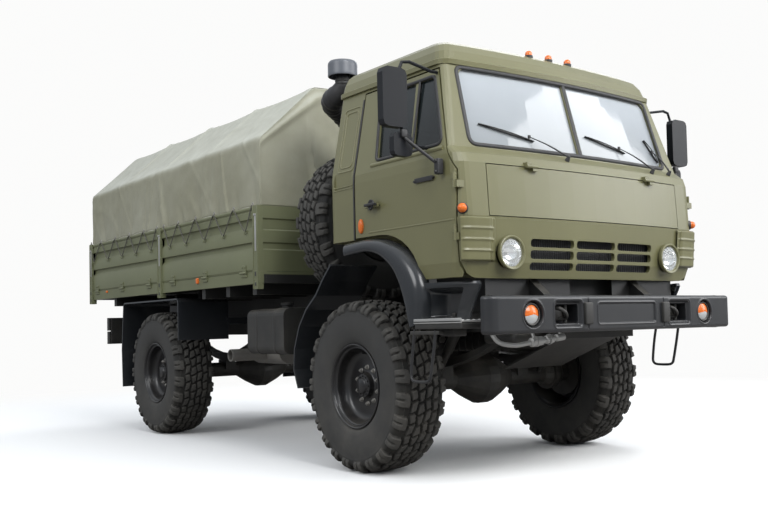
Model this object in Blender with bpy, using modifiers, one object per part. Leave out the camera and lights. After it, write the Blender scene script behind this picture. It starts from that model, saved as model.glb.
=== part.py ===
# Two-axle military cargo truck with a forward cab, a covered load bed and a spare wheel behind the cab.
# Lengths are in metres. The front of the truck faces -Y, +X is the driver's left and +Z is up.
# Every y below is measured back from the front axle. The last step moves the whole truck so that
# the origin lies on the ground under the middle of its length.

import math

import bmesh
import bpy
from mathutils import Matrix, Vector

# Driving dimensions of the whole truck
wheelbase = 3.67
track = 2.032
bumper_front_y = -1.532
bed_front_y = 1.28
bed_length = 4.16
bed_width = 2.50
bumper_low_z = 0.977
bumper_high_z = 1.215

# Clearances
seat_gap = 0.0003  # pieces that rest against each other
running_gap = 0.0008  # a turning piece on its pivot
panel_gap = 0.006  # between a lid and its frame
door_gap = 0.012  # between a door and its frame
overrun = 0.02  # how far a cutter passes a face

# Wheels
tyre_radius = 0.62
tyre_width = 0.40
tyre_steps = 30
lug_depth = 0.017
tread_from_share = 0.93  # the share of the tyre's radius from which its tread has lugs
rim_radius = 0.30
rim_width = 0.35
barrel_radius = 0.275
rim_wall = 0.012
disc_inset = 0.055  # the disc's outer face, out from the tyre's middle
disc_thickness = 0.016
hub_radius = 0.085
hub_reach = 0.10  # the hub's nose, out from the tyre's middle
stud_circle = 0.1675
stud_radius = 0.014
stud_length = 0.03
stud_count = 10
wheel_z = tyre_radius * math.cos(math.pi / tyre_steps)  # a flat of the faceted tyre stands on the ground
wheel_x = track / 2

# Ladder frame
rail_outer_x = 0.435
rail_depth = 0.08
rail_low_z = 0.985
rail_high_z = 1.205
rail_wall = 0.012
frame_front_y = -1.33
frame_rear_y = 5.33
cross_radius = 0.055

# Axles
axle_radius = 0.075
diff_radius = 0.20
drum_radius = 0.20
drum_width = 0.09
kingpin_offset = 0.256  # from the middle of the tyre in to the kingpin
kingpin_x = track / 2 - kingpin_offset
ball_radius = 0.115
ball_gap = 0.0016  # so that the faceted ball can swivel in its housing
cup_wall = 0.022
round_steps = 20
spring_width = 0.09
spring_thickness = 0.075
spring_half_length = 0.72
spring_rise = 0.17
leaf_count = 3

# Cab
cab_rear_y = 0.29
cab_half_width = 1.18
cab_wall = 0.045
cab_corner = 0.09
cab_crown = 0.066  # how far the face bows forward on its centre line
face_low_z = 1.335
hood_low_z = 1.727
hood_high_z = 2.069
screen_low_z = 2.215
screen_high_z = 2.745
cab_top_z = 2.768
roof_rise = 0.204
roof_top_z = cab_top_z + roof_rise
floor_z = 1.665
footwell_z = 1.36
tilt_y = -1.25
tilt_z = 1.195
lug_inner_x = 0.475
lug_width = 0.07
front_wall_y = -1.09  # the footwells' front wall


def clear_scene():
    for obj in list(bpy.data.objects):
        bpy.data.objects.remove(obj)


clear_scene()
parts = bpy.data.collections.new("cargo_truck")
bpy.context.scene.collection.children.link(parts)
truck = bpy.data.objects.new("truck_origin", None)
parts.objects.link(truck)


# Finishes: colour, roughness, metallic
finishes = {
    "olive_paint": ((0.125, 0.135, 0.072), 0.55, 0.0),
    "dark_paint": ((0.035, 0.038, 0.042), 0.5, 0.0),
    "chassis_paint": ((0.018, 0.018, 0.018), 0.6, 0.0),
    "canvas": ((0.27, 0.28, 0.21), 0.9, 0.0),
    "tyre_rubber": ((0.03, 0.03, 0.03), 0.85, 0.0),
    "glass": ((0.55, 0.62, 0.65), 0.05, 0.0),
    "lamp_glass": ((0.8, 0.8, 0.78), 0.1, 0.0),
    "seat_cloth": ((0.05, 0.05, 0.055), 0.9, 0.0),
    "bare_steel": ((0.35, 0.33, 0.31), 0.45, 0.8),
}


def material(name):
    found = bpy.data.materials.get(name)
    if found:
        return found
    colour, roughness, metallic = finishes[name]
    made = bpy.data.materials.new(name)
    made.use_nodes = True
    shader = made.node_tree.nodes["Principled BSDF"]
    shader.inputs["Base Color"].default_value = (*colour, 1.0)
    shader.inputs["Roughness"].default_value = roughness
    shader.inputs["Metallic"].default_value = metallic
    return made


# Modelling helpers. Each shape is an object at the origin with its place in its mesh.


def mesh_object(name, mesh):
    obj = bpy.data.objects.new(name, mesh)
    parts.objects.link(obj)
    return obj


def from_bmesh(name, bm):
    bmesh.ops.recalc_face_normals(bm, faces=bm.faces)
    mesh = bpy.data.meshes.new(name)
    bm.to_mesh(mesh)
    bm.free()
    return mesh_object(name, mesh)


def baked(obj, name=None):
    """The object's evaluated mesh, welded, as a new object in world space."""
    bpy.context.view_layer.update()
    graph = bpy.context.evaluated_depsgraph_get()
    mesh = bpy.data.meshes.new_from_object(obj.evaluated_get(graph))
    mesh.transform(obj.matrix_world)
    bm = bmesh.new()
    bm.from_mesh(mesh)
    bmesh.ops.remove_doubles(bm, verts=bm.verts, dist=0.00002)
    bpy.data.meshes.remove(mesh)
    name = name or obj.name
    bpy.data.objects.remove(obj)
    return from_bmesh(name, bm)


def box(name, low, high):
    """A block from its low corner to its high corner."""
    bm = bmesh.new()
    bmesh.ops.create_cube(bm, size=1)
    low, high = Vector(low), Vector(high)
    bmesh.ops.scale(bm, vec=high - low, verts=bm.verts)
    bmesh.ops.translate(bm, vec=(low + high) / 2, verts=bm.verts)
    return from_bmesh(name, bm)


# Where a flat outline's two coordinates and its thickness go
planes = {
    "x": Matrix(((0, 0, 1), (1, 0, 0), (0, 1, 0))).to_4x4(),
    "y": Matrix(((1, 0, 0), (0, 0, -1), (0, 1, 0))).to_4x4(),
    "z": Matrix.Identity(4),
}


def outline(name, points, axis, low, high):
    """A closed flat outline, (y, z), (x, z) or (x, y), extruded along axis from low to high."""
    curve = bpy.data.curves.new(name, "CURVE")
    curve.dimensions = "2D"
    curve.fill_mode = "BOTH"
    curve.extrude = abs(high - low) / 2
    spline = curve.splines.new("POLY")
    spline.points.add(len(points) - 1)
    for spot, (a, b) in zip(spline.points, points):
        spot.co = (a, b, 0, 1)
    spline.use_cyclic_u = True
    obj = bpy.data.objects.new(name, curve)
    parts.objects.link(obj)
    middle = (low + high) / 2
    shift = {"x": (middle, 0, 0), "y": (0, middle, 0), "z": (0, 0, middle)}[axis]
    obj.matrix_world = Matrix.Translation(shift) @ planes[axis]
    return baked(obj)


turns = {
    "x": Matrix.Rotation(math.pi / 2, 4, "Y"),
    "-x": Matrix.Rotation(-math.pi / 2, 4, "Y"),
    "y": Matrix.Rotation(-math.pi / 2, 4, "X"),
    "-y": Matrix.Rotation(math.pi / 2, 4, "X"),
    "z": Matrix.Identity(4),
}


def revolve(name, profile, axis, centre, steps=round_steps, ring=False):
    """A profile of (along, radius) turned about axis through centre. A ring's profile closes on itself."""
    bm = bmesh.new()
    spots = [bm.verts.new((radius, 0, along)) for along, radius in profile]
    for first, second in zip(spots, spots[1:]):
        bm.edges.new((first, second))
    if ring:
        bm.edges.new((spots[-1], spots[0]))
    mesh = bpy.data.meshes.new(name)
    bm.to_mesh(mesh)
    bm.free()
    obj = mesh_object(name, mesh)
    screw = obj.modifiers.new("turned", "SCREW")
    screw.steps = steps
    screw.render_steps = steps
    screw.use_merge_vertices = True
    screw.merge_threshold = 0.0001
    half_step = Matrix.Rotation(math.pi / steps, 4, "Z")  # flats, not corners, face down
    obj.matrix_world = Matrix.Translation(centre) @ turns[axis] @ half_step
    return baked(obj)


def rod(name, start, end, radius, steps=16):
    """A round bar between two points."""
    start, end = Vector(start), Vector(end)
    bm = bmesh.new()
    bmesh.ops.create_cone(
        bm, cap_ends=True, segments=steps, radius1=radius, radius2=radius, depth=(end - start).length
    )
    turn = (end - start).to_track_quat("Z", "Y").to_matrix().to_4x4()
    bmesh.ops.transform(bm, matrix=Matrix.Translation((start + end) / 2) @ turn, verts=bm.verts)
    return from_bmesh(name, bm)


def tube(name, points, radius, resolution=2):
    """A bent bar along points."""
    curve = bpy.data.curves.new(name, "CURVE")
    curve.dimensions = "3D"
    curve.bevel_depth = radius
    curve.bevel_resolution = resolution
    curve.use_fill_caps = True
    spline = curve.splines.new("POLY")
    spline.points.add(len(points) - 1)
    for spot, point in zip(spline.points, points):
        spot.co = (*point, 1)
    obj = bpy.data.objects.new(name, curve)
    parts.objects.link(obj)
    return baked(obj)


def combined(target, others, operation):
    for other in others:
        step = target.modifiers.new("with_" + other.name, "BOOLEAN")
        step.operation = operation
        step.object = other
        step.solver = "EXACT"
        target = baked(target)
        bpy.data.objects.remove(other)
    return target


def join(target, *others):
    return combined(target, others, "UNION")


def cut(target, *cutters):
    return combined(target, cutters, "DIFFERENCE")


def keep(target, region):
    return combined(target, [region], "INTERSECT")


def copied(obj, name):
    return mesh_object(name, obj.data.copy())


def mirrored(obj, name):
    """The same piece on the other side of the truck."""
    other = copied(obj, name)
    other.data.transform(Matrix.Scale(-1, 4, (1, 0, 0)))
    other.data.flip_normals()
    return other


def moved(obj, shift):
    obj.data.transform(Matrix.Translation(shift))
    return obj


def finish(obj, paint, smooth_angle=math.radians(35)):
    obj.data.materials.clear()
    obj.data.materials.append(material(paint))
    obj.data.shade_smooth()
    obj.data.set_sharp_from_angle(angle=smooth_angle)
    return obj


def arc(centre, radius, start, end, steps):
    """Points on an arc, angles in degrees, in the outline's own plane."""
    angles = [math.radians(start + (end - start) * i / steps) for i in range(steps + 1)]
    return [(centre[0] + radius * math.cos(a), centre[1] + radius * math.sin(a)) for a in angles]


def rounded(low, high, radius, steps=4):
    """A rectangle with round corners."""
    (a, b), (c, d) = low, high
    return (
        arc((c - radius, b + radius), radius, -90, 0, steps)
        + arc((c - radius, d - radius), radius, 0, 90, steps)
        + arc((a + radius, d - radius), radius, 90, 180, steps)
        + arc((a + radius, b + radius), radius, 180, 270, steps)
    )


def both_sides(make, right_name, left_name, paint):
    right = finish(make(right_name), paint)
    return right, finish(mirrored(right, left_name), paint)


# Wheels


def tyre_profile():
    """(along the axle, radius) of the tyre's section, from its outer bead round the tread to its inner bead."""
    bead = rim_width / 2 - rim_wall - seat_gap
    round_out = 1 / math.cos(math.pi / tyre_steps)
    bead_low = barrel_radius * round_out + seat_gap
    bead_high = rim_radius * round_out + seat_gap
    bulge = tyre_width / 2
    # columns: share of half the width, share of the way from the rim's edge to the tread
    shape_shares = (
        (0.92, 0.08), (1.0, 0.36), (0.975, 0.68), (0.86, 0.93), (0.60, 0.988), (0.30, 1.0),
    )
    outer = [(-bead, bead_low), (-bead, bead_high)]
    for across, up in shape_shares:
        outer.append((-bulge * across, bead_high + (tyre_radius - bead_high) * up))
    return outer + [(-along, radius) for along, radius in reversed(outer)]


def make_tyre(name, centre, axis="x"):
    """The tread's every second column is sunk on one shoulder, and the others on the other one, which makes lugs."""
    tyre = revolve(name, tyre_profile(), axis, centre, tyre_steps, ring=True)
    along = "xyz".index(axis[-1])
    middle = Vector(centre)
    for vertex in tyre.data.vertices:
        arm = vertex.co - middle
        across = arm[along]
        arm[along] = 0
        if arm.length < tyre_radius * tread_from_share:
            continue
        turn = math.atan2(arm.z, arm[1 - along]) / (2 * math.pi) * tyre_steps
        column = round(turn - 0.5)
        sunk = column % 2 == (0 if across > 0 else 1)
        if sunk:
            vertex.co -= arm.normalized() * lug_depth
    return finish(tyre, "tyre_rubber")


def rim_profile():
    """(along the axle, radius) with + towards the outside: flanges, barrel, dished disc and a closed hub nose."""
    edge = rim_width / 2
    inside = barrel_radius - rim_wall
    disc_out = disc_inset
    disc_in = disc_inset - disc_thickness
    return [
        (disc_in, 0.0),
        (disc_in, inside - rim_wall),
        (-edge, inside),
        (-edge, rim_radius),
        (-edge + rim_wall, rim_radius),
        (-edge + rim_wall, barrel_radius),
        (edge - rim_wall, barrel_radius),
        (edge - rim_wall, rim_radius),
        (edge, rim_radius),
        (edge, inside),
        (disc_out, inside - rim_wall * 2),
        (disc_out, hub_radius),
        (hub_reach - rim_wall, hub_radius * 0.94),
        (hub_reach, hub_radius * 0.8),
        (hub_reach, 0.0),
    ]


def make_rim(name, centre, axis):
    rim = revolve(name, rim_profile(), axis, centre)
    studs = []
    for i in range(stud_count):
        angle = 2 * math.pi * i / stud_count
        if axis == "-y":
            out = Vector((0, -1, 0))
            spot = Vector((math.cos(angle), 0, math.sin(angle))) * stud_circle
        else:
            out = Vector((1 if axis == "x" else -1, 0, 0))
            spot = Vector((0, math.cos(angle), math.sin(angle))) * stud_circle
        foot = Vector(centre) + spot + out * (disc_inset - rim_wall / 2)
        studs.append(rod("stud", foot, foot + out * (stud_length + rim_wall / 2), stud_radius, 6))
    return finish(join(rim, *studs), "chassis_paint")


def make_wheels():
    spots = {"FR": (-1, 0.0), "FL": (1, 0.0), "RR": (-1, wheelbase), "RL": (1, wheelbase)}
    for label, (side, y) in spots.items():
        centre = (side * wheel_x, y, wheel_z)
        make_tyre("tyre_" + label, centre)
        make_rim("rim_" + label, centre, "x" if side > 0 else "-x")


make_wheels()

# The hub's inner face, where a knuckle or axle end carries the wheel
hub_face_x = wheel_x + disc_inset - disc_thickness - running_gap


# Axles, springs, knuckles and the track rod

track_rod_drop = 0.02
track_rod_y = 0.31
track_rod_radius = 0.022
arm_inset = 0.10
arm_radius = 0.03
spindle_radius = 0.05
eye_radius = 0.036
drum_clear = 0.02  # between the drum and the hub's inner face


def spring(name, side, axle_y, seat_z):
    """A pack of curved leaves on its axle seat, with eyes under the frame rail."""
    middle_x = side * (rail_outer_x - rail_depth / 2)
    top = []
    bottom = []
    span_shares = (-1.0, -0.75, -0.5, -0.25, 0.0, 0.25, 0.5, 0.75, 1.0)
    for share in span_shares:
        rise = spring_rise * share * share
        thickness = spring_thickness * (1 - 0.62 * abs(share))
        top.append((axle_y + share * spring_half_length, seat_z + spring_thickness + rise))
        bottom.append((axle_y + share * spring_half_length, seat_z + spring_thickness + rise - thickness))
    leaf = outline(name, bottom + top[::-1], "x", middle_x - spring_width / 2, middle_x + spring_width / 2)
    return leaf


def make_axle(name, axle_y, end_x, steered):
    """The beam with its differential housing, spring seats and springs, as one node."""
    beam = rod(name, (-end_x, axle_y, wheel_z), (end_x, axle_y, wheel_z), axle_radius)
    bulb = revolve(
        "diff",
        [
            (-0.30, 0.0), (-0.30, axle_radius * 0.9), (-0.17, diff_radius * 0.72), (-0.05, diff_radius),
            (0.05, diff_radius), (0.17, diff_radius * 0.72), (0.30, axle_radius * 0.9), (0.30, 0.0),
        ],
        "x",
        (0, axle_y, wheel_z),
        20,
    )
    pieces = [bulb]
    seat_z = wheel_z + axle_radius + 0.02
    for side in (-1, 1):
        middle_x = side * (rail_outer_x - rail_depth / 2)
        half = spring_width / 2 + 0.01
        pieces.append(
            box("seat", (middle_x - half, axle_y - 0.09, wheel_z), (middle_x + half, axle_y + 0.09, seat_z + 0.01))
        )
        pieces.append(spring("spring", side, axle_y, seat_z))
    if steered:
        for side in (-1, 1):
            pieces.append(ball("ball", side * kingpin_x, axle_y, ball_radius))
    else:
        for side in (-1, 1):
            drum_out = side * (hub_face_x - drum_clear)
            drum_in = side * (hub_face_x - drum_clear - drum_width)
            pieces.append(rod("drum", (drum_in, axle_y, wheel_z), (drum_out, axle_y, wheel_z), drum_radius, round_steps))
            pieces.append(rod("end", (drum_in, axle_y, wheel_z), (side * hub_face_x, axle_y, wheel_z), spindle_radius))
    return finish(join(beam, *pieces), "chassis_paint")


def ball(name, x, y, radius, half_height=None):
    """A ball turned about its upright axis, so that another round it can swivel."""
    steps = 8
    profile = [
        (-radius * math.cos(math.pi * i / steps), radius * math.sin(math.pi * i / steps)) for i in range(steps + 1)
    ]
    profile[0] = (-radius, 0.0)
    profile[-1] = (radius, 0.0)
    if half_height:
        profile = [(along * half_height / radius, out) for along, out in profile]
    return revolve(name, profile, "z", (x, y, wheel_z), round_steps)


def make_knuckle(name, side):
    """The swivel housing round the axle's ball end, its brake drum, spindle and steering arm."""
    x = side * kingpin_x
    cup = ball(name, x, 0, ball_radius + cup_wall)
    reach = ball_radius + cup_wall + overrun
    edge = side * (kingpin_x - ball_radius * 0.18)
    far = edge - side * reach * 2
    open_side = box("open_side", (min(edge, far), -reach, wheel_z - reach), (max(edge, far), reach, wheel_z + reach))
    drum_out = hub_face_x - kingpin_x - drum_clear
    drum_in = drum_out - drum_width
    outboard = revolve(
        "outboard",
        [
            (ball_radius * 0.85, 0.0), (ball_radius * 0.85, axle_radius), (drum_in, axle_radius),
            (drum_in, drum_radius), (drum_out, drum_radius), (drum_out, spindle_radius),
            (hub_face_x - kingpin_x, spindle_radius), (hub_face_x - kingpin_x, 0.0),
        ],
        "x" if side > 0 else "-x",
        (x, 0, wheel_z),
    )
    arm_z = wheel_z - track_rod_drop
    arm_end_x = x - side * arm_inset
    arm = rod("arm", (x, ball_radius * 0.95, arm_z), (arm_end_x, track_rod_y, arm_z), arm_radius * 0.8, 12)
    eye = rod(
        "eye", (arm_end_x, track_rod_y, arm_z - arm_radius), (arm_end_x, track_rod_y, arm_z + arm_radius), eye_radius
    )
    hollow = ball("hollow", x, 0, ball_radius + ball_gap, ball_radius + running_gap)
    solid = join(cup, outboard, arm, eye)
    return finish(cut(solid, open_side, hollow), "chassis_paint")


def make_track_rod():
    """The rod across behind the front axle. Its left end turns on the left arm; its right end is left free."""
    z_low = wheel_z - track_rod_drop - arm_radius
    end_x = kingpin_x - arm_inset
    eye_height = 0.045
    rod_z = z_low - running_gap - eye_height / 2
    bar = rod("track_rod", (-end_x, track_rod_y, rod_z), (end_x, track_rod_y, rod_z), track_rod_radius)
    eyes = [
        rod("eye", (side * end_x, track_rod_y, rod_z - eye_height / 2), (side * end_x, track_rod_y, rod_z + eye_height / 2), eye_radius)
        for side in (-1, 1)
    ]
    return finish(join(bar, *eyes), "chassis_paint")


make_axle("front_axle", 0, kingpin_x, True)
make_axle("rear_axle", wheelbase, hub_face_x - drum_width, False)
make_knuckle("knuckle_R", -1)
make_knuckle("knuckle_L", 1)
make_track_rod()


# Ladder frame with its brackets


def make_frame():
    pieces = []
    for side in (-1, 1):
        outer = side * rail_outer_x
        inner = side * (rail_outer_x - rail_depth)
        web = side * (rail_outer_x - rail_wall)
        channel = [
            (outer, rail_low_z), (outer, rail_high_z), (inner, rail_high_z), (inner, rail_high_z - rail_wall),
            (web, rail_high_z - rail_wall), (web, rail_low_z + rail_wall), (inner, rail_low_z + rail_wall),
            (inner, rail_low_z),
        ]
        pieces.append(outline("frame", channel, "y", frame_front_y, frame_rear_y))
        # spring hangers, down from the rail to the springs' eyes
        for axle_y in (0, wheelbase):
            eye_z = wheel_z + axle_radius + 0.02 + spring_thickness + spring_rise
            for end in (-1, 1):
                y = axle_y + end * spring_half_length
                middle_x = side * (rail_outer_x - rail_depth / 2)
                pieces.append(
                    box(
                        "hanger",
                        (middle_x - spring_width / 2, y - 0.05, eye_z + seat_gap),
                        (middle_x + spring_width / 2, y + 0.05, rail_low_z + rail_wall / 2),
                    )
                )
        # cab hinge bracket
        pieces.append(
            box(
                "hinge",
                (min(side * rail_outer_x, side * (rail_outer_x + 0.02)), tilt_y - 0.04, rail_low_z + 0.05),
                (max(side * rail_outer_x, side * (rail_outer_x + 0.02)), tilt_y + 0.04, rail_high_z - 0.02),
            )
        )
    cross_shares = (0.02, 0.47, 0.61, 0.74, 0.87, 0.985)
    length = frame_rear_y - frame_front_y
    cross_z = (rail_low_z + rail_high_z) / 2
    for share in cross_shares:
        y = frame_front_y + length * share
        pieces.append(
            rod(
                "cross",
                (-rail_outer_x + rail_wall / 2, y, cross_z),
                (rail_outer_x - rail_wall / 2, y, cross_z),
                cross_radius,
                12,
            )
        )
        pieces.append(
            rod(
                "pin",
                (side * rail_outer_x, tilt_y, tilt_z),
                (side * (lug_inner_x - running_gap), tilt_y, tilt_z),
                0.02,
                12,
            )
        )
    # hoop behind the engine that carries the back of the cab
    hoop_y = cab_rear_y - 0.09
    hoop_x = rail_outer_x + 0.04
    hoop_top = floor_z - panel_gap
    for side in (-1, 1):
        pieces.append(
            box(
                "hoop_leg",
                (min(side * rail_outer_x - 0.012, side * hoop_x), hoop_y - 0.03, rail_low_z + 0.05),
                (max(side * rail_outer_x + 0.012, side * hoop_x), hoop_y + 0.03, hoop_top),
            )
        )
    pieces.append(box("hoop_top", (-hoop_x, hoop_y - 0.03, hoop_top - 0.06), (hoop_x, hoop_y + 0.03, hoop_top)))
    return finish(join(pieces[0], *pieces[1:]), "chassis_paint")


make_frame()


# Engine, gearbox, radiator and driveline

engine_half_width = 0.33
engine_front_y = -0.72
engine_rear_y = 0.10
engine_low_z = 0.98
engine_high_z = 1.55


def make_engine():
    """The heavy mass as one plain block, with the gearbox behind it and the radiator and its fan in front."""
    block = box(
        "engine",
        (-engine_half_width, engine_front_y, engine_low_z),
        (engine_half_width, engine_rear_y, engine_high_z),
    )
    sump = box("sump", (-0.16, engine_front_y + 0.12, 0.90), (0.16, engine_rear_y - 0.1, engine_low_z + 0.05))
    radiator = box("radiator", (-0.40, front_wall_y + 0.03, rail_high_z + 0.02), (0.40, front_wall_y + 0.11, floor_z - 0.08))
    shroud = rod("fan", (0, front_wall_y + 0.05, 1.38), (0, engine_front_y + 0.05, 1.38), 0.16, 20)
    feet = []
    for side in (-1, 1):
        inner = side * (rail_outer_x - rail_depth - seat_gap)
        feet.append(
            box(
                "mount",
                (min(side * 0.2, inner), -0.3, rail_high_z - 0.08),
                (max(side * 0.2, inner), -0.2, rail_high_z - 0.02),
            )
        )
        web = side * (rail_outer_x - rail_wall - seat_gap)
        feet.append(
            box("mount_web", (min(side * 0.3, web), -0.3, rail_high_z - 0.08), (max(side * 0.3, web), -0.2, rail_high_z - 0.03))
        )
    return finish(join(block, sump, radiator, shroud, *feet), "chassis_paint")


def make_driveline():
    """Gearbox, transfer case and the two propeller shafts, one node hung from a crossmember."""
    case_y = 1.35
    shaft_z = wheel_z + 0.12
    case = box("driveline", (-0.22, case_y - 0.18, 0.78), (0.22, case_y + 0.18, 1.18))
    gearbox = box("gearbox", (-0.17, engine_rear_y + seat_gap, 0.98), (0.17, case_y - 0.45, 1.215))
    link = rod("link", (0, case_y - 0.5, 1.12), (0, case_y - 0.1, 1.08), 0.045, 12)
    front = rod("front_shaft", (0.0, case_y - 0.1, 0.86), (0.0, diff_radius + 0.02, shaft_z - 0.06), 0.04, 12)
    rear = rod("rear_shaft", (0.0, case_y + 0.1, 0.86), (0.0, wheelbase - diff_radius - 0.02, shaft_z - 0.06), 0.04, 12)
    return finish(join(case, gearbox, link, front, rear), "chassis_paint")


make_engine()
make_driveline()


# Front bumper

hook_x = 0.565
hook_half_width = 0.115
hook_half_height = 0.075
fog_x = 0.87
fog_radius = 0.072
bumper_depth = 0.17
bumper_wall = 0.012
bumper_end_x = 1.225
plate_half_width = 0.29
plate_half_height = 0.067
plate_depth = 0.007


def bumper_plan(inset):
    """Half of the bumper seen from above, nose to end, moved in by inset."""
    y = bumper_front_y + inset
    # columns: share of the half width, share of the depth swept back
    sweep_shares = ((0.0, 0.0), (0.72, 0.03), (0.86, 0.12), (0.94, 0.30), (0.985, 0.55), (1.0, 0.80))
    return [((bumper_end_x - inset) * across, y + bumper_depth * back) for across, back in sweep_shares]


def make_bumper():
    def closed(inset, rear):
        half = bumper_plan(inset)
        right = [(-x, y) for x, y in reversed(half[1:])]
        return right + half + [(bumper_end_x - inset, rear), (-bumper_end_x + inset, rear)]

    rear_y = bumper_front_y + bumper_depth
    shell = outline("front_bumper", closed(0, rear_y), "z", bumper_low_z, bumper_high_z)
    hollow = outline(
        "hollow", closed(bumper_wall, rear_y + overrun), "z", bumper_low_z + bumper_wall, bumper_high_z - bumper_wall
    )
    shell = cut(shell, hollow)
    middle_z = (bumper_low_z + bumper_high_z) / 2
    deep = bumper_depth * 0.8
    liners = []
    holes = [
        box(
            "plate_recess",
            (-plate_half_width, bumper_front_y - overrun, middle_z - plate_half_height),
            (plate_half_width, bumper_front_y + plate_depth, middle_z + plate_half_height),
        )
    ]
    for side in (-1, 1):
        x = side * hook_x
        liners.append(
            box(
                "liner",
                (x - hook_half_width - bumper_wall, bumper_front_y + bumper_wall / 2, middle_z - hook_half_height - bumper_wall),
                (x + hook_half_width + bumper_wall, bumper_front_y + deep, middle_z + hook_half_height + bumper_wall),
            )
        )
        holes.append(
            box(
                "hook_hole",
                (x - hook_half_width, bumper_front_y - overrun, middle_z - hook_half_height),
                (x + hook_half_width, bumper_front_y + deep + overrun, middle_z + hook_half_height),
            )
        )
        holes.append(
            rod(
                "fog_hole",
                (side * fog_x, bumper_front_y - overrun, middle_z),
                (side * fog_x, bumper_front_y + bumper_depth / 2, middle_z),
                fog_radius,
                20,
            )
        )
        # arms back to the frame rails
        liners.append(
            box(
                "arm",
                (side * (rail_outer_x - rail_depth / 2) - 0.03, bumper_front_y + bumper_wall / 2, rail_low_z + 0.03),
                (side * (rail_outer_x - rail_depth / 2) + 0.03, frame_front_y - seat_gap, rail_high_z - 0.06),
            )
        )
    return finish(cut(join(shell, *liners), *holes), "dark_paint")


make_bumper()


# Cab body: lofted walls, floor, doors, lids and glass

door_front_y = -1.165
door_rear_y = -0.045
door_low_z = 1.335
door_high_z = 2.735
arch_top_z = 1.665
arch_knee_y = -0.34
arch_toe_y = -0.79


def cab_ring(z, half_width, front_y, rear_y, corner, crown):
    """One level of the cab seen from above: a bowed front, round front corners and small rear ones."""
    half = []
    flat = half_width - corner
    for i in range(6):
        x = flat * i / 5
        half.append((x, front_y + crown * (x / half_width) ** 2))
    corner_y = front_y + crown * (flat / half_width) ** 2
    for i in range(1, 5):
        angle = math.pi / 2 * i / 4
        half.append((flat + corner * math.sin(angle), corner_y + corner * (1 - math.cos(angle))))
    rear_corner = corner * 0.5
    for i in range(3):
        angle = math.pi / 2 * i / 2
        half.append(
            (half_width - rear_corner * (1 - math.cos(angle)), rear_y - rear_corner * (1 - math.sin(angle)))
        )
    other = [(-x, y) for x, y in reversed(half[1:])]
    return [(x, y, z) for x, y in half + other]


def loft(name, rings):
    """A closed solid through rings of as many points, capped at both ends."""
    bm = bmesh.new()
    made = [[bm.verts.new(point) for point in ring] for ring in rings]
    count = len(rings[0])
    for low, high in zip(made, made[1:]):
        for i in range(count):
            j = (i + 1) % count
            bm.faces.new((low[i], low[j], high[j], high[i]))
    bm.faces.new(made[0])
    bm.faces.new(made[-1])
    return from_bmesh(name, bm)


belt_z = 2.13
# columns: height, half width, front on the centre line, front corners' radius
cab_levels = (
    (face_low_z, cab_half_width - 0.02, bumper_front_y + 0.302, 0.09),
    (face_low_z + 0.10, cab_half_width, bumper_front_y + 0.272, 0.09),
    (hood_low_z, cab_half_width, bumper_front_y + 0.247, 0.09),
    (hood_high_z, cab_half_width, bumper_front_y + 0.270, 0.085),
    (belt_z, cab_half_width - 0.003, bumper_front_y + 0.295, 0.07),
    (screen_low_z - 0.03, cab_half_width - 0.014, bumper_front_y + 0.372, 0.05),
    (cab_top_z, cab_half_width - 0.123, bumper_front_y + 0.542, 0.05),
)


def half_width_at(z):
    """The cab's half width at a height."""
    for low, high in zip(cab_levels, cab_levels[1:]):
        if z <= high[0]:
            return low[1] + (high[1] - low[1]) * (z - low[0]) / (high[0] - low[0])
    return cab_levels[-1][1]


def cab_solid(name, inset, low_z=None, high_z=None):
    """The cab's outer form up to the drip rail, moved in by inset."""
    levels = list(cab_levels)
    if low_z is not None:
        levels.insert(0, (low_z, *cab_levels[0][1:]))
    if high_z is not None:
        levels.append((high_z, *cab_levels[-1][1:]))
    rings = [
        cab_ring(z, half - inset, front + inset, cab_rear_y - inset, corner, cab_crown)
        for z, half, front, corner in levels
    ]
    return loft(name, rings)


def cab_wall_loop(name, outside=0.0, thickness=cab_wall):
    wall = cab_solid(name, outside)
    return cut(wall, cab_solid("inside", outside + thickness, face_low_z - overrun, cab_top_z + overrun))


def arch_curve(grow=0.0):
    """(y, z) along the wheel arch's edge in the cab, rear to front, moved into the cab by grow."""
    radius_y = arch_knee_y - arch_toe_y + grow
    radius_z = arch_top_z - footwell_z + 0.06 + grow
    base_z = arch_top_z + grow - radius_z
    curve = [(cab_rear_y + overrun, arch_top_z + grow)]
    for i in range(9):
        angle = math.pi / 2 * i / 8
        curve.append((arch_knee_y - radius_y * math.sin(angle), base_z + radius_z * math.cos(angle)))
    return curve


def door_outline(grow=0.0, under=0.0):
    """(y, z) round the door, moved outwards by grow, and by under more along its foot."""
    foot_z = door_low_z + 0.008 - grow - under
    arch = [(y, z) for y, z in arch_curve(door_gap - grow - under) if y < door_rear_y]
    curve = [
        (door_rear_y + grow, door_high_z + grow),
        (-0.885 - grow, door_high_z + grow),
        (-1.068 - grow, 2.175),
        (door_front_y - grow, 2.02),
        (door_front_y - grow, foot_z),
        (arch[-1][0], foot_z),
    ]
    curve += [(y, z) for y, z in reversed(arch) if z > foot_z + 0.012]
    curve.append((door_rear_y + grow, arch_top_z + door_gap - grow - under))
    return curve


door_form_x = 0.96
door_swing_x = 1.125  # the door's front corner is cleared from here in, so that it can swing
door_swing_depth = 0.12
door_swing_high_z = 2.16
window_low_z = 2.215
window_high_z = 2.685
window_rear_y = -0.30


window_low_inset = 0.145  # from the door's front edge, at the window's foot and at its top
window_high_inset = 0.32


def window_outline(grow=0.0):
    """(y, z) round the door's window."""
    front_low = door_front_y + window_low_inset
    front_high = door_front_y + window_high_inset
    return [
        (window_rear_y + 0.05 + grow, window_high_z + grow),
        (front_high - grow, window_high_z + grow),
        (front_low - grow, window_low_z - grow),
        (window_rear_y + grow, window_low_z - grow),
    ]


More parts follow.
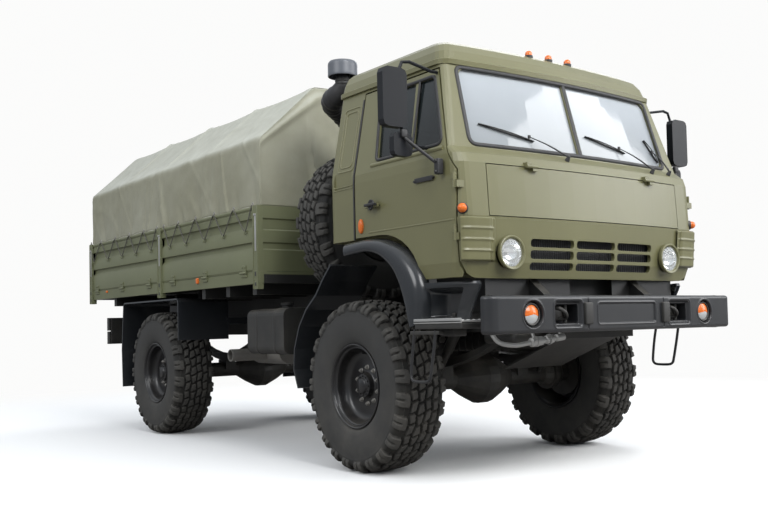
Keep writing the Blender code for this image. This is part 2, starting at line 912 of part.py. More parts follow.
screen_half_low = 0.985
screen_half_high = 0.955


def screen_outline(grow=0.0):
    """(x, z) round the windscreen, with round corners, moved outwards by grow."""
    radius = 0.07
    low_x = screen_half_low + grow
    high_x = screen_half_high + grow
    low_z = screen_low_z - grow
    high_z = screen_high_z + grow
    return (
        arc((low_x - radius, low_z + radius), radius, -90, 0, 4)
        + arc((high_x - radius, high_z - radius), radius, 0, 90, 4)
        + arc((-high_x + radius, high_z - radius), radius, 90, 180, 4)
        + arc((-low_x + radius, low_z + radius), radius, 180, 270, 4)
    )


lid_half_width = 0.965
glass_inset = 0.018
glass_thickness = 0.008
nose_y = bumper_front_y + 0.12  # in front of the cab's face
deflector_inner_x = 0.968
deflector_low_z = 1.437
deflector_high_z = 1.715
deflector_clear = 0.025
deflector_stand_off = 0.016
deflector_sink = 0.004
behind_face_y = door_front_y + 0.10


def rear_window_outline(grow=0.0):
    return rounded((-0.62 - grow, 2.24 - grow), (0.62 + grow, 2.60 + grow), 0.05)


side_cut_depth = 0.18


def side_prism(name, points, side, inner_x=cab_half_width - side_cut_depth):
    """A cutter through one side of the cab, from inner_x out."""
    low, high = sorted((side * inner_x, side * (cab_half_width + overrun)))
    return outline(name, points, "x", low, high)


quarter_low_z = 1.95


def quarter_recess(name, side):
    """The pressed panel behind the door."""
    y0, y1 = door_rear_y + 0.05, cab_rear_y - 0.055
    outline_points = rounded((y0, quarter_low_z + 0.10), (y1, door_high_z - 0.12), 0.03, 2)
    depth = 0.012
    low, high = (-cab_half_width - overrun, -cab_half_width + depth) if side < 0 else (
        cab_half_width - depth, cab_half_width + overrun)
    return outline(name, outline_points, "x", low, high)


hinge_radius = 0.011
door_hinge_x = -cab_half_width - 0.010
door_hinge_y = door_front_y - door_gap / 2
door_hinge_heights = (1.62, 1.95)
barrel_length = 0.05
hood_hinge_y = bumper_front_y + 0.262
hood_hinge_z = hood_high_z - panel_gap / 2
hood_hinge_x = 0.60


def door_hinge_half(heights, on_door):
    """The barrels of the right door's hinges that belong to the door, or to the cab."""
    made = []
    for z in heights:
        low_z = z if on_door else z - barrel_length - running_gap
        high_z = low_z + barrel_length
        made.append(
            rod("barrel", (door_hinge_x, door_hinge_y, low_z), (door_hinge_x, door_hinge_y, high_z), hinge_radius, 8)
        )
        leaf_y = door_hinge_y + 0.032 if on_door else door_hinge_y - 0.032
        low_y, high_y = sorted((door_hinge_y, leaf_y))
        inner_x = -cab_half_width + (0.012 if on_door else 0.050)
        made.append(box("leaf", (door_hinge_x - 0.003, low_y, low_z + 0.003), (inner_x, high_y, high_z - 0.003)))
    return made


def hood_hinge_half(on_hood):
    """The barrels along the hood's top edge that belong to the hood, or to the cab."""
    made = []
    for side in (-1, 1):
        low_x = side * hood_hinge_x if on_hood else side * hood_hinge_x - barrel_length - running_gap
        high_x = low_x + barrel_length
        made.append(
            rod("barrel", (low_x, hood_hinge_y, hood_hinge_z), (high_x, hood_hinge_y, hood_hinge_z), hinge_radius, 8)
        )
        leaf_z = hood_hinge_z - 0.028 if on_hood else hood_hinge_z + 0.028
        low_z, high_z = sorted((hood_hinge_z, leaf_z))
        made.append(
            box("leaf", (low_x + 0.003, hood_hinge_y - 0.003, low_z), (high_x - 0.003, hood_hinge_y + 0.040, high_z))
        )
    return made


def mirrored_cutters(pieces):
    """The same pieces on the other side, in place of the right ones."""
    for piece in pieces:
        piece.data.transform(Matrix.Scale(-1, 4, (1, 0, 0)))
        piece.data.flip_normals()
    return pieces


def make_cab_floor():
    """The floor over the wheels and engine, with a footwell each side of the engine tunnel."""
    low_z = floor_z + 0.003
    slab = keep(cab_solid("floor", cab_wall / 2), box("level", (-2, -2, low_z), (2, 2, low_z + 0.03)))
    slab = cut(slab, box("front_gap", (-0.975, -2, 1), (0.975, -1.176, 2)))
    wells = []
    for side in (-1, 1):
        low_x, high_x = (0.50, 1.105) if side > 0 else (-1.105, -0.50)
        tray = box("tray", (low_x, front_wall_y, footwell_z), (high_x, arch_toe_y + 0.09, low_z + 0.015))
        slab = join(slab, tray)
        wells.append(
            box("well", (low_x + 0.03, front_wall_y + 0.03, footwell_z + 0.03), (high_x - 0.03, arch_toe_y + 0.045, 2))
        )
        inner, outer = (1.08, 1.3) if side > 0 else (-1.3, -1.08)
        wells.append(outline("door_room", door_outline(door_gap + 0.001, 0.03), "x", inner, outer))
    return cut(slab, *wells, arch_cutter(-0.002))


def arch_cutter(grow=0.0):
    """What the wheel arches take out of the cab."""
    below = face_low_z - overrun * 3
    form = arch_curve(grow) + [(arch_toe_y - grow, below), (cab_rear_y + overrun, below)]
    return outline("arch", form, "x", -cab_half_width - overrun, cab_half_width + overrun)


def make_deflector(side):
    """The ribbed plate round the cab's front corner beside a headlamp."""
    low_x, high_x = sorted((side * deflector_inner_x, side * (cab_half_width + overrun * 2)))
    form = box(
        "form", (low_x, nose_y, deflector_low_z), (high_x, door_front_y - deflector_clear, deflector_high_z)
    )
    return keep(cab_wall_loop("deflector", -deflector_stand_off, deflector_stand_off + deflector_sink), form)


def make_cab_shell():
    cutters = [
        arch_cutter(),
        outline("screen", screen_outline(), "y", nose_y, behind_face_y + 0.35),
        outline("rear_window", rear_window_outline(), "y", cab_rear_y - 0.1, cab_rear_y + overrun),
        box("lid_hole", (-lid_half_width, nose_y, hood_low_z), (lid_half_width, behind_face_y, hood_high_z)),
        box(
            "grille_hole",
            (-lid_half_width, nose_y, face_low_z - overrun),
            (lid_half_width, front_wall_y - seat_gap, hood_low_z - 0.012),
        ),
    ]
    for side in (-1, 1):
        cutters.append(side_prism("door_hole", door_outline(door_gap, 0.03), side))
        cutters.append(quarter_recess("pressed", side))
    shell = join(cut(cab_wall_loop("cab_shell"), *cutters), make_cab_floor())
    # lugs that turn on the hinges, and the plates across under the face
    for side in (-1, 1):
        low_x = min(side * lug_inner_x, side * (lug_inner_x + lug_width))
        lug = [
            (-1.07, 1.395), (-1.14, 1.395), (-1.165, 1.322), (-1.285, 1.23), (-1.285, 1.16), (-1.215, 1.16),
            (-1.07, 1.30),
        ]
        low_plate, high_plate = (0.29, 0.97) if side > 0 else (-0.93, -0.15)
        shell = join(
            shell,
            outline("lug", lug, "x", low_x, low_x + lug_width),
            box("plate", (low_plate, -1.146, 1.222), (high_plate, -1.136, 1.372)),
            box("flange", (low_plate + 0.001, -1.144, 1.354), (high_plate - 0.001, -1.075, 1.368)),
        )
        shell = join(shell, make_deflector(side))
    post = keep(
        cab_wall_loop("post", 0.002, glass_inset - seat_gap - 0.002),
        box("post_form", (-0.022, nose_y, screen_low_z - 0.02), (0.022, behind_face_y + 0.2, screen_high_z + 0.02)),
    )
    hinges = door_hinge_half(door_hinge_heights, False) + mirrored_cutters(door_hinge_half(door_hinge_heights, False))
    return finish(join(shell, post, *hinges, *hood_hinge_half(False)), "olive_paint")


def glass_shell(name):
    return cab_wall_loop(name, glass_inset, glass_thickness)


def make_door(name):
    """The right door: its share of the cab's wall, with the window cut."""
    door = keep(cab_wall_loop(name), side_prism("door_form", door_outline(), -1, cab_half_width - side_cut_depth + door_gap))
    swing_room = box(
        "swing_room",
        (-door_swing_x, door_front_y - overrun, door_low_z - overrun),
        (-door_form_x + overrun, door_front_y + door_swing_depth, door_swing_high_z),
    )
    door = cut(door, side_prism("window", window_outline(), -1), swing_room)
    # the fixed bar between the quarter light and the sliding glass
    bar_y = -0.70
    bar = keep(
        cab_wall_loop("bar", 0.004, glass_inset - seat_gap - 0.004),
        outline("bar_form", [(bar_y - 0.015, window_low_z - 0.03), (bar_y + 0.015, window_low_z - 0.03),
                             (bar_y + 0.05, window_high_z + 0.03), (bar_y + 0.02, window_high_z + 0.03)],
                "x", -cab_half_width - overrun, -1.0),
    )
    # handle
    handle = box("handle", (-cab_half_width - 0.035, -0.36, 1.872), (-cab_half_width - 0.018, -0.20, 1.900))
    stems = [
        box("stem", (-cab_half_width - 0.03, y - 0.012, 1.876), (-cab_half_width + 0.01, y + 0.012, 1.896))
        for y in (-0.33, -0.23)
    ]
    return join(door, bar, handle, *stems, *door_hinge_half(door_hinge_heights, True))


def make_door_glass(name):
    return keep(glass_shell(name), side_prism("glass_form", window_outline(-seat_gap * 2), -1))


make_cab_shell()


roof_front_y = -0.998  # on the centre line, at the drip rail
# columns: height as a share of the rise, half width as a share of the cab's, way back as a share of the rise
roof_shares = (
    (0, 0.911016949, 0),
    (0.156862745, 0.911016949, -0.0245098039),
    (0.215686275, 0.891525424, 0.0637254902),
    (0.5, 0.877118644, 0.161764706),
    (0.769607843, 0.851694915, 0.357843137),
    (0.926470588, 0.817796610, 0.627450980),
    (1, 0.75, 1.06862745),
)


def make_roof():
    """The roof's dome on a lip over the drip rail, open below."""
    levels = [
        (cab_top_z + height * roof_rise, wide * cab_half_width, roof_front_y + back * roof_rise)
        for height, wide, back in roof_shares
    ]
    levels[0] = (cab_top_z + seat_gap, *levels[0][1:])

    def dome(name, inset, drop):
        rings = [
            cab_ring(z - drop * i / (len(levels) - 1), half - inset, front + inset, cab_rear_y + 0.02 - inset,
                     cab_corner, cab_crown)
            for i, (z, half, front) in enumerate(levels)
        ]
        if drop:
            z, half, front = levels[0]
            rings[0] = cab_ring(z - overrun, half - inset, front + inset, cab_rear_y + 0.02 - inset, cab_corner, cab_crown)
        return loft(name, rings)

    return finish(cut(dome("cab_roof", 0, 0), dome("inside", 0.035, 0.03)), "olive_paint")


# The grille's slots: across in shares of the lid's half width, and up from the face's low edge
slot_width_shares = ((-0.638341969, -0.230051813), (-0.203108808, 0.203108808), (0.230051813, 0.638341969))
slot_heights = ((0.054, 0.105), (0.128, 0.185), (0.205, 0.259))
slot_corner = 0.02


def make_grille_panel():
    """The fixed lower half of the face with the grille's slots and the holes for the headlamps."""
    low = face_low_z + 0.0005
    high = hood_low_z - 0.012 - seat_gap
    reach = lid_half_width - seat_gap
    panel = keep(
        cab_wall_loop("grille_panel", 0, 0.03),
        box("panel_form", (-reach, nose_y, low - 0.02), (reach, behind_face_y, high)),
    )
    cutters = []
    for x_low, x_high in slot_width_shares:
        for z_low, z_high in slot_heights:
            low_corner = (x_low * lid_half_width, face_low_z + z_low)
            high_corner = (x_high * lid_half_width, face_low_z + z_high)
            slot = rounded(low_corner, high_corner, slot_corner, 2)
            cutters.append(outline("slot", slot, "y", nose_y, behind_face_y))
    for side in (-1, 1):
        cutters.append(rod("lamp_hole", (side * lamp_x, nose_y, lamp_z), (side * lamp_x, behind_face_y, lamp_z), lamp_radius + seat_gap * 2, 20))
    return finish(cut(panel, *cutters), "olive_paint")


lamp_inset = 0.159
lamp_x = lid_half_width - lamp_inset
lamp_z = 1.496
lamp_radius = 0.098
bezel_radius = 0.112


def make_headlamp(name, side):
    """Bowl, bezel and a domed glass, turned about the lamp's axis."""
    face_y = -1.2500
    profile = [
        (0.09, 0.0), (0.09, 0.05), (0.03, lamp_radius - 0.0012), (0.0, lamp_radius - 0.0012), (-0.0003, bezel_radius),
        (-0.018, bezel_radius), (-0.026, bezel_radius - 0.012), (-0.020, bezel_radius - 0.020), (-0.030, 0.06),
        (-0.034, 0.0),
    ]
    return finish(revolve(name, profile, "y", (side * lamp_x, face_y, lamp_z), 16), "lamp_glass")


def make_hood():
    gap = panel_gap
    lid = keep(
        cab_wall_loop("hood_panel", 0, 0.022),
        box("lid_form", (-lid_half_width + gap, nose_y, hood_low_z + gap), (lid_half_width - gap, behind_face_y, hood_high_z - gap)),
    )
    return finish(join(lid, *hood_hinge_half(True)), "olive_paint")


def make_screen(name):
    form = outline("screen_form", screen_outline(-seat_gap * 2), "y", nose_y, behind_face_y + 0.35)
    return finish(keep(glass_shell(name), form), "glass")


def make_rear_glass(name):
    form = outline("rear_form", rear_window_outline(-seat_gap * 2), "y", cab_rear_y - 0.1, cab_rear_y + overrun)
    return finish(keep(glass_shell(name), form), "glass")


mirror_reach = 0.365  # past the cab's side
mirror_low_reach = 0.28
mirror_width = 0.19
mirror_height = 0.38
mirror_low_width = 0.145
mirror_low_height = 0.15
mirror_arm_back = 0.285  # behind the door's front edge
mirror_arm_y = door_front_y + mirror_arm_back
mirror_drop = 0.03
mirror_corner = 0.04
mirror_low_corner = 0.03
mirror_arm_radius = 0.011
mirror_arm_low_z = 2.195
mirror_arm_high_z = 2.71
mirror_back = 0.015
mirror_depth = 0.06
mirror_low_depth = 0.05
# Each bend of the arm: out from the cab's side, and up from the arm's lower or upper foot
mirror_low_bends = ((0.12, 0.005), (0.19, 0.055))
mirror_high_bends = ((0.205, -0.03), (0.18, 0.025), (0.12, 0.035), (-0.06, 0))


def make_mirrors(name):
    """The tubular arm on the door with its large and small mirror heads."""
    low_x = -half_width_at(mirror_arm_low_z - mirror_arm_radius) - seat_gap
    high_x = -half_width_at(mirror_arm_high_z - mirror_arm_radius) - seat_gap
    low_bends = [(-cab_half_width - out, mirror_arm_y, mirror_arm_low_z + up) for out, up in mirror_low_bends]
    high_bends = [(-cab_half_width - out, mirror_arm_y, mirror_arm_high_z + up) for out, up in mirror_high_bends]
    arm = tube(
        name,
        [
            (low_x, mirror_arm_y, mirror_arm_low_z), *low_bends,
            *high_bends, (high_x, mirror_arm_y, mirror_arm_high_z),
        ],
        mirror_arm_radius, 1,
    )
    outer_x = -cab_half_width - mirror_reach
    high_z = mirror_arm_high_z - mirror_drop
    back_y = mirror_arm_y + mirror_back
    big_form = rounded((outer_x, high_z - mirror_height), (outer_x + mirror_width, high_z), mirror_corner, 2)
    big_wide = outline("head", big_form, "y", back_y - mirror_depth, back_y)
    low_outer_x = -cab_half_width - mirror_low_reach
    low_z = mirror_arm_low_z - mirror_low_height / 2
    low_corners = (low_outer_x, low_z), (low_outer_x + mirror_low_width, low_z + mirror_low_height)
    small_form = rounded(*low_corners, mirror_low_corner, 2)
    small = outline("small", small_form, "y", back_y - mirror_low_depth, back_y)
    return join(arm, big_wide, small)


def make_dashboard():
    """The instrument panel across the cab under the windscreen."""
    form = [
        (-1.12, 1.78), (-0.92, 1.78), (-0.84, 1.86), (-0.82, 2.00), (-0.90, 2.10), (-1.10, 2.14),
    ]
    panel = outline("dashboard", form, "x", -1.08, 1.08)
    for side in (-1, 1):
        foot = box("foot", (side * 0.45 - 0.03, -1.05, floor_z + 0.033 + seat_gap), (side * 0.45 + 0.03, -1.0, 1.80))
        panel = join(panel, foot)
    return finish(panel, "seat_cloth")


seat_place_share = 0.508474576  # of the cab's half width
seat_x = cab_half_width * seat_place_share


def make_seat(name, x):
    low = floor_z + 0.033 + seat_gap
    base = box(name, (x - 0.20, -0.48, low), (x + 0.20, -0.10, low + 0.12))
    cushion = outline(
        "cushion", rounded((-0.55, low + 0.11), (-0.02, low + 0.26), 0.05), "x", x - 0.25, x + 0.25
    )
    back = outline(
        "back", [(-0.10, low + 0.22), (0.02, low + 0.20), (0.13, low + 0.86), (0.03, low + 0.88)], "x", x - 0.24, x + 0.24
    )
    return finish(join(base, cushion, back), "seat_cloth")


def make_steering_wheel():
    """The wheel on its column, on the driver's side."""
    x = 0.55
    axis = Vector((0, 0.50, 0.866)).normalized()
    foot = Vector((x, -0.90, 1.98))
    hub = foot + axis * 0.27
    column = rod("steering_wheel", foot + axis * 0.0925, hub, 0.03, 12)
    bm = bmesh.new()
    ring_steps, tube_steps, ring_radius, tube_radius = 18, 5, 0.22, 0.014
    rows = []
    for i in range(ring_steps):
        a = 2 * math.pi * i / ring_steps
        row = []
        for j in range(tube_steps):
            b = 2 * math.pi * j / tube_steps
            r = ring_radius + tube_radius * math.cos(b)
            row.append(bm.verts.new((r * math.cos(a), r * math.sin(a), tube_radius * math.sin(b))))
        rows.append(row)
    for i in range(ring_steps):
        for j in range(tube_steps):
            bm.faces.new((rows[i][j], rows[(i + 1) % ring_steps][j], rows[(i + 1) % ring_steps][(j + 1) % tube_steps], rows[i][(j + 1) % tube_steps]))
    rim = from_bmesh("rim", bm)
    turn = axis.to_track_quat("Z", "Y").to_matrix().to_4x4()
    rim.data.transform(Matrix.Translation(hub) @ turn)
    spokes = []
    for angle in (90, 210, 330):
        a = math.radians(angle)
        end = turn @ Vector((ring_radius * math.cos(a), ring_radius * math.sin(a), 0)) + hub
        spokes.append(rod("spoke", hub.lerp(end, 0.1), end, 0.011, 8))
    spokes.insert(0, rod("boss", hub - axis * 0.03, hub + axis * 0.012, 0.045, 12))
    return finish(join(column, rim, *spokes), "seat_cloth")


make_roof()
make_grille_panel()
make_headlamp("headlamp_R", -1)
make_headlamp("headlamp_L", 1)
make_hood()
make_screen("windscreen")
make_rear_glass("rear_glass")
both_sides(make_door, "door_R", "door_L", "olive_paint")
both_sides(make_door_glass, "door_glass_R", "door_glass_L", "glass")
both_sides(make_mirrors, "mirrors_R", "mirrors_L", "dark_paint")
make_dashboard()
make_seat("seat_driver", seat_x)
make_seat("seat_passenger", -seat_x)
make_steering_wheel()


# Mudguards and steps beside the cab, on the chassis

fender_out_x = 1.25


def strip(points, thickness):
    """A closed band beside a polyline of (a, b), to its left."""
    shifted = []
    for i, point in enumerate(points):
        before = Vector(points[max(i - 1, 0)])
        after = Vector(points[min(i + 1, len(points) - 1)])
        run = (after - before).normalized()
        shifted.append((point[0] - run.y * thickness, point[1] + run.x * thickness))
    return list(points) + shifted[::-1]


def make_fender(name):
    curve = [(y, z) for y, z in arch_curve(-0.010) if y < 0.02]
    curve = [(0.03, 1.60), (-0.02, arch_top_z - 0.012)] + [p for p in curve if p[1] > 1.36] + [(-0.806, 1.22), (-0.822, 1.03)]
    band = outline(name, strip(curve, 0.022), "x", -fender_out_x + 0.003, -0.80)
    lip_curve = [(y, z - 0.002) for y, z in curve]
    lip = outline("lip", strip(lip_curve, 0.05), "x", -fender_out_x, -fender_out_x + 0.02)
    well = outline(
        "well", [(-0.815, 1.05), (-0.815, 1.318), (-1.262, 1.318), (-1.37, 1.29), (-1.275, 1.05)], "x",
        -fender_out_x + 0.012, -0.99,
    )
    recess = outline(
        "recess", [(-0.97, 1.09), (-0.97, 1.285), (-1.30, 1.272), (-1.24, 1.09)], "x", -1.40, -1.06
    )
    plate = box("plate", (-fender_out_x, -1.28, 1.012), (-0.99, -0.80, 1.056))
    well = cut(join(well, plate), recess)
    stirrup = tube(
        "stirrup",
        [(-1.235, -0.80, 1.02), (-1.235, -0.80, 0.70), (-1.235, -0.815, 0.685), (-1.235, -0.945, 0.685),
         (-1.235, -0.96, 0.70), (-1.235, -0.96, 1.02)],
        0.012, 1,
    )
    arm = box("arm", (-1.0, -0.93, 1.06), (-rail_outer_x - seat_gap, -0.87, 1.12))
    return join(band, lip, well, stirrup, arm)


both_sides(make_fender, "fender_R", "fender_L", "dark_paint")


def make_front_mudguard(name):
    """The rear half of the front mudguard, on an arm from the frame."""
    curve = [(0.74, 0.58), (0.80, 0.72), (0.785, 0.88), (0.71, 1.05), (0.60, 1.18), (0.455, 1.285), (0.36, 1.39), (0.24, 1.50)]
    guard = outline(name, strip(curve, -0.014), "x", -1.22, -0.80)
    arm = box("arm", (-0.82, 0.80, 1.00), (-rail_outer_x - seat_gap, 0.84, 1.05))
    link = box("link", (-0.83, 0.74, 0.99), (-0.80, 0.84, 1.06))
    return join(guard, arm, link)


both_sides(make_front_mudguard, "mudguard_front_R", "mudguard_front_L", "dark_paint")


# Load bed, boards and the covered tilt

bed_low_z = 1.42
bed_high_z = 1.52
board_low_z = 1.532
board_high_z = 2.07
board_thickness = 0.032
board_bands = ((1.697, 1.764), (1.862, 1.965))  # the heights between which a board's face is sunk
band_depth = 0.013
band_slope = 0.012
bed_half = bed_width / 2
bed_rear_y = bed_front_y + bed_length
mid_post_y = 3.36
post_half = 0.042
post_inset = 0.046  # the end posts' middles from the bed's ends


def make_platform():
    """Floor, sills, crossbeams, runners on the frame and the posts the boards stand between."""
    floor = box("bed_platform", (-bed_half + 0.03, bed_front_y + 0.02, 1.445), (bed_half - 0.03, bed_rear_y - 0.02, 1.50))
    pieces = []
    for side in (-1, 1):
        x_low, x_high = sorted((side * bed_half, side * (bed_half - 0.06)))
        pieces.append(box("sill", (x_low, bed_front_y, bed_low_z), (x_high, bed_rear_y, bed_high_z)))
        x_low, x_high = sorted((side * rail_outer_x, side * (rail_outer_x - rail_depth)))
        pieces.append(box("runner", (x_low, bed_front_y + 0.05, rail_high_z + seat_gap), (x_high, bed_rear_y - 0.25, 1.46)))
        for y in (bed_front_y + post_inset, mid_post_y, bed_rear_y - post_inset):
            x_low, x_high = sorted((side * (bed_half - 0.035), side * (bed_half + 0.015)))
            top = board_high_z - seat_gap
            pieces.append(box("post", (x_low, y - post_half, 1.373), (x_high, y + post_half, top)))
    pieces.append(box("front_sill", (-bed_half + 0.03, bed_front_y + 0.002, bed_low_z + 0.002), (bed_half - 0.03, bed_front_y + 0.06, bed_high_z - 0.002)))
    pieces.append(box("rear_sill", (-bed_half + 0.03, bed_rear_y - 0.06, bed_low_z + 0.002), (bed_half - 0.03, bed_rear_y - 0.002, bed_high_z - 0.002)))
    for y, half in ((1.45, 1.21), (1.95, 1.21), (2.45, 1.21), (3.05, 0.70), (3.67, 0.70), (4.29, 0.70), (4.75, 1.21)):
        pieces.append(box("crossbeam", (-half, y - 0.035, 1.33), (half, y + 0.035, 1.46)))
    return finish(join(floor, *pieces, *gate_hinge_half(False)), "olive_paint")


def pressed_board(outer, inward, low_z):
    """(across, z) of a board: an outer face with two sunk bands, and a flat inner face."""
    face = [(outer, low_z)]
    for band_low_z, band_high_z in board_bands:
        face += [
            (outer, band_low_z),
            (outer + inward * band_depth, band_low_z + band_slope),
            (outer + inward * band_depth, band_high_z - band_slope),
            (outer, band_high_z),
        ]
    inner = outer + inward * board_thickness
    return face + [(outer, board_high_z), (inner, board_high_z), (inner, low_z)]


def make_sideboard(name, low_y, high_y):
    return outline(name, pressed_board(-bed_half, 1, board_low_z), "y", low_y, high_y)


def make_side_boards():
    gap = post_half + seat_gap
    spans = {
        "front": (bed_front_y + post_inset + gap, mid_post_y - gap),
        "rear": (mid_post_y + gap, bed_rear_y - post_inset - gap),
    }
    for label, (low_y, high_y) in spans.items():
        board = make_sideboard("sideboard_R_" + label, low_y, high_y)
        sit = box("foot", (-bed_half + 0.004, low_y + 0.05, bed_high_z + seat_gap), (-bed_half + 0.028, high_y - 0.05, board_low_z + 0.01))
        board = finish(join(board, sit), "olive_paint")
        finish(mirrored(board, "sideboard_L_" + label), "olive_paint")


gate_hinge_y = bed_rear_y + 0.008
gate_hinge_z = bed_high_z + panel_gap / 2
gate_hinge_spots = (-0.95, -0.32, 0.32, 0.95)


def gate_hinge_half(on_gate):
    """The barrels along the tailgate's foot that belong to the tailgate, or to the bed."""
    made = []
    for spot in gate_hinge_spots:
        low_x = spot if on_gate else spot - barrel_length - running_gap
        high_x = low_x + barrel_length
        made.append(
            rod("barrel", (low_x, gate_hinge_y, gate_hinge_z), (high_x, gate_hinge_y, gate_hinge_z), hinge_radius, 8)
        )
        leaf_z = gate_hinge_z + 0.035 if on_gate else gate_hinge_z - 0.035
        low_z, high_z = sorted((gate_hinge_z, leaf_z))
        made.append(
            box("leaf", (low_x + 0.003, bed_rear_y - 0.012, low_z), (high_x - 0.003, gate_hinge_y + 0.003, high_z))
        )
    return made


def make_end_board(name, outer_y, inward, half, low_z, hinges=()):
    board = outline(name, pressed_board(outer_y, inward, low_z), "x", -half, half)
    return finish(join(board, *hinges), "olive_paint")


tilt_wall = 0.02
canopy_rear_y = 5.468
canopy_front_y = 1.285


def tilt_section(inset, low_z):
    # columns: half width, height
    half = ((1.238, 2.62), (1.215, 2.665), (0.74, 3.125), (0.66, 3.165))
    right = [(x - inset, z - inset) for x, z in half]
    shape = [(right[0][0], low_z)] + right
    return shape + [(-x, z) for x, z in reversed(shape)]


def make_canopy():
    low_z = board_high_z + 0.012
    cover = outline("canopy", tilt_section(0, low_z), "y", canopy_front_y, canopy_rear_y)
    hollow = outline(
        "hollow", tilt_section(tilt_wall, low_z - overrun), "y", canopy_front_y + tilt_wall, canopy_rear_y - tilt_wall
    )
    cover = cut(cover, hollow)
    feet = []
    for side in (-1, 1):
        x_low, x_high = sorted((side * 1.222, side * 1.234))
        feet.append(box("hem", (x_low, canopy_front_y + 0.1, board_high_z + seat_gap), (x_high, canopy_rear_y - 0.2, low_z + 0.01)))
    return finish(join(cover, *feet), "canvas")


make_platform()
make_side_boards()
make_end_board("headboard", bed_front_y + 0.008, 1, bed_half - 0.036, bed_high_z + seat_gap)
make_end_board("tailgate", bed_rear_y - 0.004, -1, bed_half - 0.042, bed_high_z + panel_gap, gate_hinge_half(True))
make_canopy()


# Spare wheel, its carrier and the raised air intake behind the cab

spare_x = -0.55
spare_y = 0.675
spare_z = 1.87


def make_carrier():
    """A stand on the frame rails whose boss holds the spare wheel's disc."""
    y0, y1 = 0.90, 0.95
    plate = box("spare_carrier", (spare_x - 0.30, y0, spare_z - 0.30), (spare_x + 0.30, y1, spare_z + 0.30))
    boss = rod(
        "boss", (spare_x, spare_y - disc_inset + disc_thickness + seat_gap, spare_z), (spare_x, y0 + 0.01, spare_z), 0.13, 24
    )
    legs = []
    for x in (-rail_outer_x + rail_depth / 2, rail_outer_x - rail_depth / 2):
        legs.append(box("leg", (x - 0.03, y0 + 0.002, rail_high_z + seat_gap), (x + 0.03, y1 - 0.002, spare_z - 0.1)))
    beam = box("beam", (-0.80, y0 + 0.004, spare_z - 0.36), (rail_outer_x, y1 - 0.004, spare_z - 0.28))
    return finish(join(plate, boss, beam, *legs), "olive_paint")


def make_snorkel():
    """The raised intake pipe with its cap, down to an air cleaner beside the frame."""
    pipe = tube(
        "snorkel",
        [
            (-0.87, 0.56, 3.06), (-0.87, 0.56, 2.72), (-0.87, 0.60, 2.64), (-0.87, 0.70, 2.58), (-0.87, 0.98, 2.54),
            (-0.87, 1.03, 2.48), (-0.87, 1.04, 1.60),
        ],
        0.055,
    )
    cap = revolve(
        "cap",
        [(0.0, 0.0), (0.0, 0.075), (0.012, 0.12), (0.10, 0.12), (0.13, 0.07), (0.13, 0.0)], "z", (-0.87, 0.56, 3.03), 24,
    )
    cleaner = rod("cleaner", (-0.87, 1.10, 1.36), (-0.87, 1.10, 1.62), 0.13, 24)
    bracket = box("bracket", (-0.93, 0.9503, 1.44), (-0.40, 1.0, 1.50))
    strut = box("strut", (-0.44, 0.9513, rail_high_z + seat_gap), (-0.37, 0.98, 1.49))
    return finish(join(pipe, cap, cleaner, bracket, strut), "dark_paint")


make_tyre("spare_tyre", (spare_x, spare_y, spare_z), "-y")
make_rim("spare_rim", (spare_x, spare_y, spare_z), "-y")
make_carrier()
make_snorkel()


# What hangs below the frame: tank, battery box, exhaust, skid plate, rear mudguards and tail lamps


def make_tank():
    tank = outline("fuel_tank", rounded((-1.15, 0.83), (-0.68, 1.21), 0.06), "y", 1.08, 1.71)
    arms = [box("arm", (-0.75, y - 0.03, 1.04), (-rail_outer_x - seat_gap, y + 0.03, 1.17)) for y in (1.2, 1.6)]
    return finish(join(tank, *arms), "chassis_paint")


def make_battery_box():
    case = outline("battery_box", rounded((0.66, 0.86), (1.12, 1.20), 0.02, 2), "y", 1.08, 1.62)
    arms = [box("arm", (rail_outer_x + seat_gap, y - 0.03, 1.04), (0.70, y + 0.03, 1.15)) for y in (1.2, 1.5)]
    return finish(join(case, *arms), "chassis_paint")


def make_exhaust():
    muffler = rod("exhaust", (-0.64, 1.86, 0.84), (-0.64, 2.42, 0.84), 0.125, 24)
    inlet = tube(
        "inlet",
        [(-0.28, engine_rear_y - 0.2 + 0.21, 0.93), (-0.28, 1.02, 0.93), (-0.34, 1.16, 0.90), (-0.56, 1.62, 0.875), (-0.62, 1.78, 0.86), (-0.63, 1.90, 0.85)],
        0.035, 1,
    )
    tail = rod("tail", (-0.64, 2.15, 0.81), (-1.10, 2.15, 0.81), 0.055, 20)
    bore = rod("bore", (-0.80, 2.15, 0.81), (-1.13, 2.15, 0.81), 0.049, 20)
    hanger = box("hanger", (-0.66, 2.27, 0.94), (-rail_outer_x - seat_gap, 2.32, 1.10))
    return finish(cut(join(muffler, inlet, tail, hanger), bore), "chassis_paint")


def make_skid():
    side = [(-1.20, 0.945), (-1.19, 0.933), (-0.62, 0.712), (-0.60, 0.72)]
    plate = outline("skid_plate", side, "x", -0.30, 0.30)
    ear = box("ear", (-0.42, -1.22, 0.93), (0.42, -1.18, rail_low_z - seat_gap))
    return finish(join(plate, ear), "bare_steel")


def make_rear_mudguard(name):
    curve = [(4.455, 0.45), (4.475, 0.85), (4.42, 1.32), (4.38, 1.355), (2.99, 1.355), (2.955, 1.32), (2.955, 0.95)]
    guard = outline(name, strip(curve, 0.014), "x", -1.246, -0.72)
    arm = box("arm", (-0.74, 2.94, 1.10), (-rail_outer_x - seat_gap, 2.97, 1.16))
    return join(guard, arm)


def make_tail_lamp(name):
    lamp = box(name, (-1.09, 5.30, 0.904), (-0.84, 5.37, 1.05))
    upper = box("upper", (-1.09, 5.302, 1.06), (-0.84, 5.372, 1.209))
    back = box("back", (-1.07, 5.27, 0.92), (-0.86, 5.32, 1.20))
    arm = box("arm", (-0.90, 5.275, 1.02), (-rail_outer_x - seat_gap, 5.315, 1.10))
    return join(lamp, upper, back, arm)


